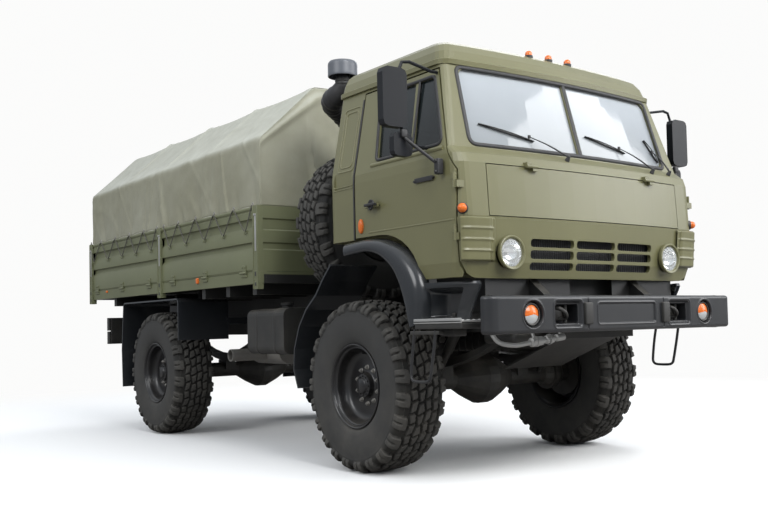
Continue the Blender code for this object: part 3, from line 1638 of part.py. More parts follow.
make_tank()
make_battery_box()
make_exhaust()
make_skid()
both_sides(make_rear_mudguard, "mudguard_rear_R", "mudguard_rear_L", "chassis_paint")
both_sides(make_tail_lamp, "tail_lamp_R", "tail_lamp_L", "chassis_paint")


# Joint axes: the moving pieces' origins


def set_pivot(names, spot):
    for name in names:
        obj = bpy.data.objects[name]
        obj.data.transform(Matrix.Translation(-Vector(spot)))
        obj.location = spot


for label, (x, y) in {"FR": (-wheel_x, 0), "FL": (wheel_x, 0), "RR": (-wheel_x, wheelbase), "RL": (wheel_x, wheelbase)}.items():
    set_pivot(("tyre_" + label, "rim_" + label), (x, y, wheel_z))
set_pivot(("knuckle_R",), (-kingpin_x, 0, wheel_z))
set_pivot(("knuckle_L",), (kingpin_x, 0, wheel_z))
set_pivot(("track_rod",), (kingpin_x - arm_inset, track_rod_y, wheel_z - track_rod_drop))
set_pivot(("door_R", "door_glass_R", "mirrors_R"), (door_hinge_x, door_hinge_y, 1.9))
set_pivot(("door_L", "door_glass_L", "mirrors_L"), (-door_hinge_x, door_hinge_y, 1.9))
set_pivot(("hood_panel",), (0, hood_hinge_y, hood_hinge_z))
set_pivot(("tailgate",), (0, gate_hinge_y, gate_hinge_z))
set_pivot(
    (
        "cab_shell", "cab_roof", "grille_panel", "headlamp_R", "headlamp_L", "windscreen", "rear_glass", "dashboard",
        "seat_driver", "seat_passenger", "steering_wheel",
    ),
    (0, tilt_y, tilt_z),
)

# Bring the middle of the truck's length over the origin
truck_length = canopy_rear_y - bumper_front_y
for obj in parts.objects:
    if obj.type == "MESH":
        obj.parent = truck
truck.location = (0, -(bumper_front_y + truck_length / 2), 0)
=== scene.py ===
import math

import bmesh
import bpy
import numpy as np
from mathutils import Matrix, Vector
from mathutils.bvhtree import BVHTree


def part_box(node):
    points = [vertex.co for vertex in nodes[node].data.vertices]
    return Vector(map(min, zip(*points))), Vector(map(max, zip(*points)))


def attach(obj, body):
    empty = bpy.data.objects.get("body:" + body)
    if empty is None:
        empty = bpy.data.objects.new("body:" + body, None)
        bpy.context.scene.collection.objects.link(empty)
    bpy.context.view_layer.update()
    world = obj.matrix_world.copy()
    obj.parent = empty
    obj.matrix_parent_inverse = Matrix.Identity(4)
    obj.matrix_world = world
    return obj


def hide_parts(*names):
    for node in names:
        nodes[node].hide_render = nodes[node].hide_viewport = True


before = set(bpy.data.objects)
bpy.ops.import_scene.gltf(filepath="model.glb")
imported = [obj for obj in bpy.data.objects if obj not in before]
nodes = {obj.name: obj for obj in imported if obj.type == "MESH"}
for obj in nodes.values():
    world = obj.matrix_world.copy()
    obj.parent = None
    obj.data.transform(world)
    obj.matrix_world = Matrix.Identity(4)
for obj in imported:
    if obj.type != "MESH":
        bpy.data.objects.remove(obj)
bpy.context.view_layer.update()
rearward = -1.968  # a length measured back from the front axle, plus this, is a y here
print("model loaded")


# Camera and light

cameraSettings = {
    "place": (-4.9087, -5.6241 + rearward, 1.0562),
    "yaw": 0.6726,  # turned from straight back towards +X
    "pitch": 0.0427,
    "roll": -0.0239,
    "focalPixels": 933.41,
    "centrePixels": (434.92, 283.30),
    "pictureSize": (768, 512),
}


def addCamera(s):
    data = bpy.data.cameras.new("camera")
    camera = bpy.data.objects.new("camera", data)
    bpy.context.scene.collection.objects.link(camera)
    yaw, pitch, roll = s["yaw"], s["pitch"], s["roll"]
    forward = Vector((math.sin(yaw) * math.cos(pitch), math.cos(yaw) * math.cos(pitch), math.sin(pitch)))
    right = forward.cross(Vector((0, 0, 1))).normalized()
    up = right.cross(forward)
    turnedRight = right * math.cos(roll) + up * math.sin(roll)
    turnedUp = -right * math.sin(roll) + up * math.cos(roll)
    turn = Matrix((turnedRight, turnedUp, -forward)).transposed()
    camera.matrix_world = Matrix.Translation(s["place"]) @ turn.to_4x4()
    wide, high = s["pictureSize"]
    data.sensor_width = 36
    data.lens = s["focalPixels"] * 36 / wide
    data.shift_x = -(s["centrePixels"][0] - wide / 2) / wide
    data.shift_y = (s["centrePixels"][1] - high / 2) / wide
    data.clip_end = 200
    bpy.context.scene.camera = camera


lightSettings = {
    "lamps": {
        "key": {"place": (-1.0, -12.5, 10.0), "size": 8, "watts": 1650},
        "side": {"place": (-12, -3, 8.5), "size": 7, "watts": 700},
        "sheen": {"place": (9.5, -10.0, 6.5), "size": 8, "watts": 900},
        "far": {"place": (8, 6, 9), "size": 7, "watts": 450},
    },
    "aim": (0, 0, 1.3),
    "skyColour": (0.88, 0.93, 1.0, 1),
    "horizon": 0.42, "zenith": 1.15,
    "backdrop": (0.97, 0.97, 0.965, 1),
    "floor": (0.80, 0.80, 0.79, 1),
    "floorBounce": (0.26, 0.25, 0.24, 1),
    "floorSize": 60, "fadeFrom": 4.6, "fadeTo": 9.5,
}


def addLights(s):
    for name, lamp in s["lamps"].items():
        data = bpy.data.lights.new(name + "Light", "AREA")
        data.shape = "DISK"
        data.size = lamp["size"]
        data.energy = lamp["watts"]
        light = bpy.data.objects.new(name + "Light", data)
        light.location = lamp["place"]
        aim = Vector(s["aim"]) - Vector(lamp["place"])
        light.rotation_euler = aim.to_track_quat("-Z", "Y").to_euler()
        bpy.context.scene.collection.objects.link(light)
    # the sky is brightest above and fades towards the horizon; the camera sees the plain backdrop
    world = bpy.data.worlds.new("studio")
    bpy.context.scene.world = world
    world.use_nodes = True
    tree = world.node_tree
    tree.nodes.clear()
    out = tree.nodes.new("ShaderNodeOutputWorld")
    lit = tree.nodes.new("ShaderNodeBackground")
    lit.inputs["Color"].default_value = s["skyColour"]
    place = tree.nodes.new("ShaderNodeTexCoord")
    split = tree.nodes.new("ShaderNodeSeparateXYZ")
    level = tree.nodes.new("ShaderNodeMapRange")
    level.inputs["From Min"].default_value = 0.0
    level.inputs["From Max"].default_value = 0.8
    level.inputs["To Min"].default_value = s["horizon"]
    level.inputs["To Max"].default_value = s["zenith"]
    tree.links.new(place.outputs["Generated"], split.inputs[0])
    tree.links.new(split.outputs["Z"], level.inputs["Value"])
    tree.links.new(level.outputs[0], lit.inputs["Strength"])
    seen = tree.nodes.new("ShaderNodeBackground")
    seen.inputs["Color"].default_value = s["backdrop"]
    mix = tree.nodes.new("ShaderNodeMixShader")
    path = tree.nodes.new("ShaderNodeLightPath")
    tree.links.new(path.outputs["Is Camera Ray"], mix.inputs[0])
    tree.links.new(lit.outputs[0], mix.inputs[1])
    tree.links.new(seen.outputs[0], mix.inputs[2])
    tree.links.new(mix.outputs[0], out.inputs[0])
    bpy.context.scene.view_settings.view_transform = "Standard"


# The floor takes the shadow near the truck and fades into the backdrop further out.
def addFloor(s):
    size = s["floorSize"]
    mesh = bpy.data.meshes.new("studioFloor")
    corners = [(-size, -size, 0), (size, -size, 0), (size, size, 0), (-size, size, 0)]
    mesh.from_pydata(corners, [], [(0, 1, 2, 3)])
    floor = bpy.data.objects.new("studioFloor", mesh)
    bpy.context.scene.collection.objects.link(floor)
    mat = bpy.data.materials.new("floorPaint")
    mat.use_nodes = True
    tree = mat.node_tree
    shader = tree.nodes["Principled BSDF"]
    shader.inputs["Roughness"].default_value = 0.95
    path = tree.nodes.new("ShaderNodeLightPath")
    seen = tree.nodes.new("ShaderNodeMix")
    seen.data_type = "RGBA"
    seen.inputs[6].default_value = s["floorBounce"]
    seen.inputs[7].default_value = s["floor"]
    tree.links.new(path.outputs["Is Camera Ray"], seen.inputs[0])
    tree.links.new(seen.outputs[2], shader.inputs["Base Color"])
    place = tree.nodes.new("ShaderNodeTexCoord")
    length = tree.nodes.new("ShaderNodeVectorMath")
    length.operation = "LENGTH"
    tree.links.new(place.outputs["Object"], length.inputs[0])
    fade = tree.nodes.new("ShaderNodeMapRange")
    fade.interpolation_type = "SMOOTHSTEP"
    fade.inputs["From Min"].default_value = s["fadeFrom"]
    fade.inputs["From Max"].default_value = s["fadeTo"]
    tree.links.new(length.outputs["Value"], fade.inputs["Value"])
    # only what the camera sees fades, so that the floor lights the truck evenly
    share = tree.nodes.new("ShaderNodeMath")
    share.operation = "MULTIPLY"
    tree.links.new(fade.outputs[0], share.inputs[0])
    tree.links.new(path.outputs["Is Camera Ray"], share.inputs[1])
    glow = tree.nodes.new("ShaderNodeEmission")
    glow.inputs["Color"].default_value = s["backdrop"]
    mix = tree.nodes.new("ShaderNodeMixShader")
    tree.links.new(share.outputs[0], mix.inputs[0])
    tree.links.new(shader.outputs[0], mix.inputs[1])
    tree.links.new(glow.outputs[0], mix.inputs[2])
    tree.links.new(mix.outputs[0], tree.nodes["Material Output"].inputs["Surface"])
    mesh.materials.append(mat)


addCamera(cameraSettings)
addLights(lightSettings)
addFloor(lightSettings)
print("camera, lights and floor")


# Shader node groups that several finishes share


def newGroup(name, inputs, outputs):
    group = bpy.data.node_groups.new(name, "ShaderNodeTree")
    for label, kind, value in inputs:
        socket = group.interface.new_socket(label, in_out="INPUT", socket_type=kind)
        if value is not None:
            socket.default_value = value
    for label, kind in outputs:
        group.interface.new_socket(label, in_out="OUTPUT", socket_type=kind)
    start = group.nodes.new("NodeGroupInput")
    end = group.nodes.new("NodeGroupOutput")
    return group, start, end


def addNode(tree, kind, values=None, **settings):
    node = tree.nodes.new(kind)
    for key, value in settings.items():
        setattr(node, key, value)
    for key, value in (values or {}).items():
        node.inputs[key].default_value = value
    return node


def mathNode(tree, operation, a, b=None, clamp=False):
    node = addNode(tree, "ShaderNodeMath", operation=operation, use_clamp=clamp)
    for i, value in enumerate((a, b)):
        if value is None:
            continue
        if isinstance(value, (int, float)):
            node.inputs[i].default_value = value
        else:
            tree.links.new(value, node.inputs[i])
    return node.outputs[0]


def noiseFactor(tree, coords, scale, detail=3.0, roughness=0.55):
    node = addNode(tree, "ShaderNodeTexNoise", {"Scale": scale, "Detail": detail, "Roughness": roughness})
    tree.links.new(coords, node.inputs["Vector"])
    return node.outputs["Fac"]


# A new node's coordinates: "Object" in metres, or "UV" from the mesh's own map.
def coordsOf(tree, kind="Object"):
    return addNode(tree, "ShaderNodeTexCoord").outputs[kind]


def axisOf(tree, vector, axis):
    split = addNode(tree, "ShaderNodeSeparateXYZ")
    tree.links.new(vector, split.inputs[0])
    return split.outputs[axis]


# Stretches low to high over 0 to 1.
def ramp(tree, factor, low, high):
    node = addNode(tree, "ShaderNodeMapRange", {"From Min": low, "From Max": high})
    tree.links.new(factor, node.inputs["Value"])
    return node.outputs["Result"]


def mixColour(tree, factor, a, b):
    node = addNode(tree, "ShaderNodeMix", data_type="RGBA")
    sockets = [i for i in node.inputs if i.type == "RGBA"]
    if isinstance(factor, (int, float)):
        node.inputs["Factor"].default_value = factor
    else:
        tree.links.new(factor, node.inputs["Factor"])
    for socket, value in zip(sockets, (a, b)):
        if isinstance(value, tuple):
            socket.default_value = value
        else:
            tree.links.new(value, socket)
    return [o for o in node.outputs if o.type == "RGBA"][0]


# Colour drift, dust that lies low and on top faces, and rubbed edges.
def makeWeathering():
    group, start, end = newGroup(
        "weathering",
        [
            ("Colour", "NodeSocketColor", (0.1, 0.1, 0.1, 1)),
            ("Dust Colour", "NodeSocketColor", (0.30, 0.27, 0.22, 1)),
            ("Edge Colour", "NodeSocketColor", (0.2, 0.2, 0.2, 1)),
            ("Drift", "NodeSocketFloat", 0.12),
            ("Dust", "NodeSocketFloat", 0.3),
            ("Low Dust", "NodeSocketFloat", 0.5),
            ("Edge Wear", "NodeSocketFloat", 0.3),
            ("Roughness", "NodeSocketFloat", 0.5),
        ],
        [("Colour", "NodeSocketColor"), ("Roughness", "NodeSocketFloat"), ("Height", "NodeSocketFloat")],
    )
    place = coordsOf(group)
    broad = noiseFactor(group, place, 1.3, 4)
    fine = noiseFactor(group, place, 26, 5, 0.6)
    drift = addNode(group, "ShaderNodeHueSaturation")
    amount = mathNode(group, "MULTIPLY", mathNode(group, "SUBTRACT", broad, 0.5), start.outputs["Drift"])
    value = mathNode(group, "ADD", mathNode(group, "MULTIPLY", amount, 4.0), 1.0)
    group.links.new(value, drift.inputs["Value"])
    group.links.new(start.outputs["Colour"], drift.inputs["Color"])
    # edges: where the bevelled normal departs from the true one
    bevel = addNode(group, "ShaderNodeBevel", {"Radius": 0.006}, samples=4)
    geometry = addNode(group, "ShaderNodeNewGeometry")
    dot = addNode(group, "ShaderNodeVectorMath", operation="DOT_PRODUCT")
    group.links.new(bevel.outputs[0], dot.inputs[0])
    group.links.new(geometry.outputs["Normal"], dot.inputs[1])
    edge = ramp(group, dot.outputs["Value"], 0.985, 0.90)
    patchy = ramp(group, fine, 0.42, 0.62)
    rubbed = mathNode(group, "MULTIPLY", edge, patchy)
    worn = mathNode(group, "MULTIPLY", rubbed, start.outputs["Edge Wear"], clamp=True)
    coloured = mixColour(group, worn, drift.outputs[0], start.outputs["Edge Colour"])
    # dust: on faces that look up, and towards the ground
    facing = ramp(group, axisOf(group, geometry.outputs["Normal"], "Z"), 0.25, 0.95)
    low = ramp(group, axisOf(group, place, "Z"), 1.35, 0.15)
    topDust = mathNode(group, "MULTIPLY", facing, start.outputs["Dust"])
    lowDust = mathNode(group, "MULTIPLY", low, start.outputs["Low Dust"])
    dusty = mathNode(group, "ADD", topDust, lowDust)
    cloud = ramp(group, noiseFactor(group, place, 5.5, 6, 0.62), 0.30, 0.72)
    dusty = mathNode(group, "MULTIPLY", dusty, cloud, clamp=True)
    final = mixColour(group, dusty, coloured, start.outputs["Dust Colour"])
    group.links.new(final, end.inputs["Colour"])
    matt = mathNode(group, "MULTIPLY", dusty, 0.35)
    rough = mathNode(group, "ADD", start.outputs["Roughness"], matt, clamp=True)
    grain = mathNode(group, "MULTIPLY", mathNode(group, "SUBTRACT", fine, 0.5), 0.06)
    rough = mathNode(group, "ADD", rough, grain, clamp=True)
    group.links.new(rough, end.inputs["Roughness"])
    group.links.new(fine, end.inputs["Height"])
    return group


# A plain weave: threads across and along, as height.
def makeWeave():
    group, start, end = newGroup(
        "weave",
        [("Vector", "NodeSocketVector", None), ("Threads", "NodeSocketFloat", 400.0)],
        [("Height", "NodeSocketFloat")],
    )
    heights = []
    for axis in ("X", "Y"):
        run = axisOf(group, start.outputs["Vector"], axis)
        heights.append(mathNode(group, "SINE", mathNode(group, "MULTIPLY", run, start.outputs["Threads"])))
    crossed = mathNode(group, "MULTIPLY", heights[0], heights[1])
    group.links.new(mathNode(group, "ADD", crossed, 1.0), end.inputs["Height"])
    return group


weathering = makeWeathering()
weave = makeWeave()

finishColumns = (
    "colour", "edge", "drift", "dust", "lowDust", "wear", "roughness", "bump", "metallic", "specular",
)
finishTable = {
    "olivePaint": ((0.13, 0.126, 0.06, 1), (0.2, 0.2, 0.14, 1), 0.08, 0.15, 0.2, 0.22, 0.36, 0.03),
    "bedPaint": ((0.116, 0.125, 0.064, 1), (0.24, 0.25, 0.18, 1), 0.14, 0.22, 0.25, 0.35, 0.55, 0.06),
    "darkPaint": ((0.01, 0.011, 0.013, 1), (0.06, 0.06, 0.06, 1), 0.12, 0.06, 0.08, 0.3, 0.38, 0.05),
    "mirrorShell": ((0.008, 0.009, 0.011, 1), (0.05, 0.05, 0.05, 1), 0.1, 0.05, 0.0, 0.2, 0.42, 0.04, 0.0, 0.2),
    "chassisPaint": ((0.012, 0.012, 0.011, 1), (0.05, 0.045, 0.04, 1), 0.2, 0.22, 0.2, 0.25, 0.55, 0.1),
    "tyreRubber": ((0.026, 0.026, 0.025, 1), (0.08, 0.076, 0.068, 1), 0.1, 0.12, 0.1, 0.55, 0.82, 0.12),
    "rimPaint": ((0.006, 0.006, 0.007, 1), (0.04, 0.04, 0.04, 1), 0.15, 0.12, 0.05, 0.25, 0.3, 0.04),
    "fenderPaint": ((0.0165, 0.0185, 0.021, 1), (0.1, 0.11, 0.12, 1), 0.12, 0.08, 0.05, 0.25, 0.2, 0.02),
    "bareSteel": ((0.3, 0.29, 0.27, 1), (0.5, 0.5, 0.48, 1), 0.2, 0.25, 0.3, 0.5, 0.45, 0.08, 0.75),
    "blackTrim": ((0.016, 0.016, 0.017, 1), (0.05, 0.05, 0.05, 1), 0.1, 0.25, 0.35, 0.2, 0.55, 0.05),
    "seatCloth": ((0.03, 0.031, 0.034, 1), (0.05, 0.05, 0.05, 1), 0.15, 0.2, 0.0, 0.2, 0.9, 0.2),
    "orangeLens": ((0.62, 0.13, 0.012, 1), (0.7, 0.2, 0.05, 1), 0.05, 0.1, 0.12, 0.1, 0.22, 0.02),
    "redLens": ((0.35, 0.012, 0.01, 1), (0.5, 0.05, 0.05, 1), 0.05, 0.1, 0.12, 0.1, 0.22, 0.02),
    "clearLens": ((0.42, 0.43, 0.43, 1), (0.5, 0.5, 0.5, 1), 0.05, 0.1, 0.12, 0.1, 0.2, 0.02),
    "galvanised": ((0.36, 0.36, 0.35, 1), (0.5, 0.5, 0.5, 1), 0.25, 0.35, 0.25, 0.4, 0.5, 0.12, 0.55),
    "capGrey": ((0.085, 0.093, 0.108, 1), (0.16, 0.17, 0.18, 1), 0.15, 0.2, 0.0, 0.3, 0.4, 0.05),
    "ropeFibre": ((0.07, 0.068, 0.06, 1), (0.14, 0.13, 0.11, 1), 0.2, 0.2, 0.1, 0.3, 0.95, 0.3),
    "mirrorGlass": ((0.62, 0.65, 0.67, 1), (0.6, 0.6, 0.6, 1), 0.02, 0.05, 0.05, 0.0, 0.06, 0.0, 1.0),
}
finishes = {name: dict(zip(finishColumns, row)) for name, row in finishTable.items()}


def makeFinish(name, s):
    mat = bpy.data.materials.new(name)
    mat.use_nodes = True
    tree = mat.node_tree
    shader = tree.nodes["Principled BSDF"]
    worn = addNode(tree, "ShaderNodeGroup", node_tree=weathering)
    for socket, key in (
        ("Colour", "colour"), ("Edge Colour", "edge"), ("Drift", "drift"), ("Dust", "dust"),
        ("Low Dust", "lowDust"), ("Edge Wear", "wear"), ("Roughness", "roughness"),
    ):
        worn.inputs[socket].default_value = s[key]
    tree.links.new(worn.outputs["Colour"], shader.inputs["Base Color"])
    tree.links.new(worn.outputs["Roughness"], shader.inputs["Roughness"])
    shader.inputs["Metallic"].default_value = s.get("metallic", 0.0)
    shader.inputs["Specular IOR Level"].default_value = s.get("specular", 0.5)
    if s["bump"] > 0:
        bump = addNode(tree, "ShaderNodeBump", {"Strength": s["bump"], "Distance": 0.003})
        tree.links.new(worn.outputs["Height"], bump.inputs["Height"])
        tree.links.new(bump.outputs[0], shader.inputs["Normal"])
    return mat


paints = {name: makeFinish(name, s) for name, s in finishes.items()}


# The weathering group inside a finish.
def weatheringOf(tree):
    return next(node for node in tree.nodes if node.type == "GROUP")


# Tyre: the lug mask in the tyre's own map darkens the grooves as painted shade in the recesses, and lets the
# blocks wear pale and dusty.
def makeTyreFinish(paint, groove, face):
    tree = paints[paint].node_tree
    worn = weatheringOf(tree)
    lugMap = coordsOf(tree, "UV")
    grit = ramp(tree, noiseFactor(tree, coordsOf(tree), 14, 6, 0.65), 0.30, 0.75)
    mask = ramp(tree, axisOf(tree, lugMap, "X"), 0.35, 0.95)
    tread = ramp(tree, axisOf(tree, lugMap, "Y"), 0.70, 0.78)
    dusted = mathNode(tree, "ADD", mathNode(tree, "MULTIPLY", grit, 0.5), 0.5)
    grooveShadeAndWear = mixColour(tree, mathNode(tree, "MULTIPLY", mask, dusted), groove, face)
    wall = tuple(worn.inputs["Colour"].default_value)
    tree.links.new(mixColour(tree, tread, wall, grooveShadeAndWear), worn.inputs["Colour"])


# groove colour: painted shade in the grooves; face colour: worn, dusty blocks
makeTyreFinish("tyreRubber", (0.008, 0.008, 0.007, 1), (0.052, 0.050, 0.045, 1))


# Painted shade: under this height the cab's paint is dark, for the shaded gap between the cab and the bumper.
def makeCabFinishShadedLow(s, low, shadeBelow):
    mat = makeFinish("cabPaintShadedLow", s)
    tree = mat.node_tree
    above = ramp(tree, axisOf(tree, coordsOf(tree), "Z"), low - 0.001, low + 0.001)
    tree.links.new(mixColour(tree, above, shadeBelow, s["colour"]), weatheringOf(tree).inputs["Colour"])
    return mat


# the near-black colour under 1.336 m is painted shade
paints["cabPaintShadedLow"] = makeCabFinishShadedLow(finishes["olivePaint"], 1.336, (0.012, 0.012, 0.012, 1))


# Under the load bed, inside its olive sills, the crossbeams and floor are drawn dark.
def makeBedFinish(s, half, high, under):
    mat = makeFinish("platformPaint", s)
    tree = mat.node_tree
    place = coordsOf(tree)
    across = mathNode(tree, "ABSOLUTE", axisOf(tree, place, "X"), 0.0)
    outside = ramp(tree, across, half - 0.002, half + 0.002)
    above = ramp(tree, axisOf(tree, place, "Z"), high - 0.002, high + 0.002)
    olive = mathNode(tree, "MAXIMUM", outside, above)
    tree.links.new(mixColour(tree, olive, under, s["colour"]), weatheringOf(tree).inputs["Colour"])
    return mat


paints["platformPaint"] = makeBedFinish(finishes["bedPaint"], 1.214, 1.495, (0.012, 0.012, 0.011, 1))


# Window glass: its colour is a painted reflection over a see-through pane, stronger towards the top, where it
# shows the sky.
def makeGlass(name, low, high, alpha, roughness, lowZ=2.1, highZ=2.8):
    mat = bpy.data.materials.new(name)
    mat.use_nodes = True
    tree = mat.node_tree
    shader = tree.nodes["Principled BSDF"]
    shader.inputs["IOR"].default_value = 1.5
    place = coordsOf(tree)
    cloud = mathNode(tree, "MULTIPLY", mathNode(tree, "SUBTRACT", noiseFactor(tree, place, 1.6, 3), 0.5), 0.4)
    height = mathNode(tree, "ADD", ramp(tree, axisOf(tree, place, "Z"), lowZ, highZ), cloud, clamp=True)
    tree.links.new(mixColour(tree, height, low, high), shader.inputs["Base Color"])
    # the painted reflection also makes the pane denser towards the top
    reflectionVeil = mathNode(tree, "MULTIPLY", height, 0.12)
    tree.links.new(mathNode(tree, "ADD", reflectionVeil, alpha), shader.inputs["Alpha"])
    smear = ramp(tree, noiseFactor(tree, place, 6, 5, 0.7), 0.35, 0.75)
    streaks = mathNode(tree, "MULTIPLY", smear, 0.06)
    tree.links.new(mathNode(tree, "ADD", streaks, roughness), shader.inputs["Roughness"])
    return mat


# colour low down and high up, painted light as set out below, how dense the pane is, roughness
glassSettings = {
    # pale: painted reflection of the sky on the windscreen
    "screenGlass": ((0.27, 0.29, 0.30, 1), (0.42, 0.45, 0.48, 1), 0.74, 0.03),
    # near black: painted shade of the dark cab inside the side and rear windows
    "windowGlass": ((0.006, 0.008, 0.007, 1), (0.020, 0.026, 0.028, 1), 0.72, 0.02),
    "lampGlass": ((0.75, 0.78, 0.78, 1), (0.75, 0.78, 0.78, 1), 0.16, 0.05),
}
for name, values in glassSettings.items():
    paints[name] = makeGlass(name, *values)


canvasSettings = {
    "colour": (0.232, 0.228, 0.160, 1),
    "pale": (0.47, 0.48, 0.43, 1),
    "dirt": (0.130, 0.120, 0.080, 1),
    "threads": 1400.0,
    "roughness": 0.72,
}


# Coated canvas: faded where it faces up, blotched with dirt, with a weave laid by the cloth's own map.
def makeCanvas(s):
    mat = bpy.data.materials.new("canvasCloth")
    mat.use_nodes = True
    tree = mat.node_tree
    shader = tree.nodes["Principled BSDF"]
    place = coordsOf(tree)
    broad = ramp(tree, noiseFactor(tree, place, 1.1, 5, 0.6), 0.30, 0.72)
    blotch = ramp(tree, noiseFactor(tree, place, 7.0, 6, 0.65), 0.38, 0.78)
    geometry = addNode(tree, "ShaderNodeNewGeometry")
    upward = ramp(tree, axisOf(tree, geometry.outputs["Normal"], "Z"), 0.1, 0.9)
    faded = mixColour(tree, mathNode(tree, "MULTIPLY", upward, 0.75), s["colour"], s["pale"])
    stained = mixColour(tree, mathNode(tree, "MULTIPLY", blotch, 0.30), faded, s["dirt"])
    soft = mixColour(tree, mathNode(tree, "MULTIPLY", broad, 0.22), stained, s["pale"])
    tree.links.new(soft, shader.inputs["Base Color"])
    shader.inputs["Roughness"].default_value = s["roughness"]
    cloth = addNode(tree, "ShaderNodeGroup", node_tree=weave)
    cloth.inputs["Threads"].default_value = s["threads"]
    tree.links.new(coordsOf(tree, "UV"), cloth.inputs["Vector"])
    creases = noiseFactor(tree, place, 11, 5, 0.55)
    height = mathNode(tree, "ADD", mathNode(tree, "MULTIPLY", cloth.outputs["Height"], 0.10), creases)
    bump = addNode(tree, "ShaderNodeBump", {"Strength": 0.22, "Distance": 0.006})
    tree.links.new(height, bump.inputs["Height"])
    tree.links.new(bump.outputs[0], shader.inputs["Normal"])
    return mat


paints["canvasCloth"] = makeCanvas(canvasSettings)
print("finishes made")


# Mesh makers: every new piece is a grid worked out with numpy


sharpAngle = math.radians(42)


# Shows a mesh as a piece of the truck that moves with the body.
def showPiece(name, mesh, paint, body):
    mesh.materials.append(paints[paint])
    mesh.set_sharp_from_angle(angle=sharpAngle)
    piece = bpy.data.objects.new(name, mesh)
    bpy.context.scene.collection.objects.link(piece)
    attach(piece, body)
    return piece


def thicken(piece, name, thickness, offset=0):
    wall = piece.modifiers.new(name, "SOLIDIFY")
    wall.thickness = thickness
    wall.offset = offset


# Rows of vectors, each scaled to length 1.
def unit(vectors):
    return vectors / np.linalg.norm(vectors, axis=1, keepdims=True)


# The distance from a path's first point to each of its points, along the path.
def runLength(path):
    return np.concatenate([[0], np.cumsum(np.linalg.norm(np.diff(path, axis=0), axis=1))])


# Rings of points, closed at both ends by a ring drawn together to its middle.
def withEnds(points):
    count = points.shape[1]
    first, last = points[:1].mean(axis=1, keepdims=True), points[-1:].mean(axis=1, keepdims=True)
    return np.concatenate([np.repeat(first, count, 1), points, np.repeat(last, count, 1)])


# A mesh over a (rows, columns, 3) array of points; closeU joins the last row to the first, closeV the
# columns.
def gridMesh(name, points, closeU=False, closeV=False, uv=None):
    rows, columns, _ = points.shape
    index = np.arange(rows * columns).reshape(rows, columns)
    if closeU:
        index = np.vstack([index, index[:1]])
    if closeV:
        index = np.hstack([index, index[:, :1]])
    quads = np.stack([index[:-1, :-1], index[:-1, 1:], index[1:, 1:], index[1:, :-1]], axis=-1).reshape(-1, 4)
    mesh = bpy.data.meshes.new(name)
    mesh.from_pydata(points.reshape(-1, 3).tolist(), [], quads.tolist())
    if uv is not None:
        layer = mesh.uv_layers.new(name="clothMap")
        corners = np.empty(len(mesh.loops), dtype=np.int32)
        mesh.loops.foreach_get("vertex_index", corners)
        layer.data.foreach_set("uv", uv.reshape(-1, 2)[corners].astype(np.float32).ravel())
    mesh.shade_smooth()
    return mesh


# Merges doubles and points the faces outwards.
def tidyMesh(mesh, merge=0.00005):
    bm = bmesh.new()
    bm.from_mesh(mesh)
    bmesh.ops.remove_doubles(bm, verts=bm.verts, dist=merge)
    bmesh.ops.recalc_face_normals(bm, faces=bm.faces)
    bm.to_mesh(mesh)
    bm.free()
    return mesh


# A tube: a circle of the given radius carried along path, its frame turned as little as possible.
def sweepTube(name, path, radius, sides=10, closed=False, capped=True):
    path = np.asarray(path, dtype=float)
    if closed:
        tangent = np.roll(path, -1, axis=0) - np.roll(path, 1, axis=0)
    else:
        tangent = np.gradient(path, axis=0)
    tangent = unit(tangent)
    helper = np.array([0.0, 0.0, 1.0]) if abs(tangent[0, 2]) < 0.9 else np.array([1.0, 0.0, 0.0])
    side = np.cross(tangent[0], helper)
    side /= np.linalg.norm(side)
    carried = []
    for t in tangent:
        side = side - t * side.dot(t)
        side /= np.linalg.norm(side)
        carried.append(side)
    side = np.array(carried)
    up = np.cross(side, tangent)
    angle = np.linspace(0, 2 * np.pi, sides, endpoint=False)
    radius = np.broadcast_to(np.asarray(radius, dtype=float), (len(path),))
    ring = side[:, None, :] * np.cos(angle)[None, :, None] + up[:, None, :] * np.sin(angle)[None, :, None]
    points = path[:, None, :] + ring * radius[:, None, None]
    if capped and not closed:
        start, end = (np.repeat(path[[i], None, :], sides, axis=1) for i in (0, -1))
        points = np.concatenate([start, points, end])
    mesh = gridMesh(name, points, closeU=closed, closeV=True)
    return tidyMesh(mesh)


# A Catmull-Rom curve through points, count points long, evenly spread.
def smoothPath(points, count):
    points = np.asarray(points, dtype=float)
    padded = np.vstack([2 * points[0] - points[1], points, 2 * points[-1] - points[-2]])
    samples = []
    for i in range(len(points) - 1):
        a, b, c, d = padded[i:i + 4]
        t = np.linspace(0, 1, 24, endpoint=False)[:, None]
        bend, twist = 2 * a - 5 * b + 4 * c - d, 3 * b - a - 3 * c + d
        samples.append(0.5 * (2 * b + (c - a) * t + bend * t**2 + twist * t**3))
    dense = np.vstack(samples + [points[-1:]])
    reach = runLength(dense)
    want = np.linspace(0, reach[-1], count)
    return np.stack([np.interp(want, reach, dense[:, k]) for k in range(3)], axis=1)


# Points along straight runs, about step apart, keeping the corners.
def evenPath(points, step):
    points = np.asarray(points, dtype=float)
    runs = []
    for a, b in zip(points, points[1:]):
        count = max(2, int(np.linalg.norm(b - a) / step) + 1)
        runs.append(a + (b - a) * np.linspace(0, 1, count, endpoint=False)[:, None])
    return np.vstack(runs + [points[-1:]])


def smoothStep(low, high, value):
    t = np.clip((value - low) / (high - low), 0, 1)
    return t * t * (3 - 2 * t)


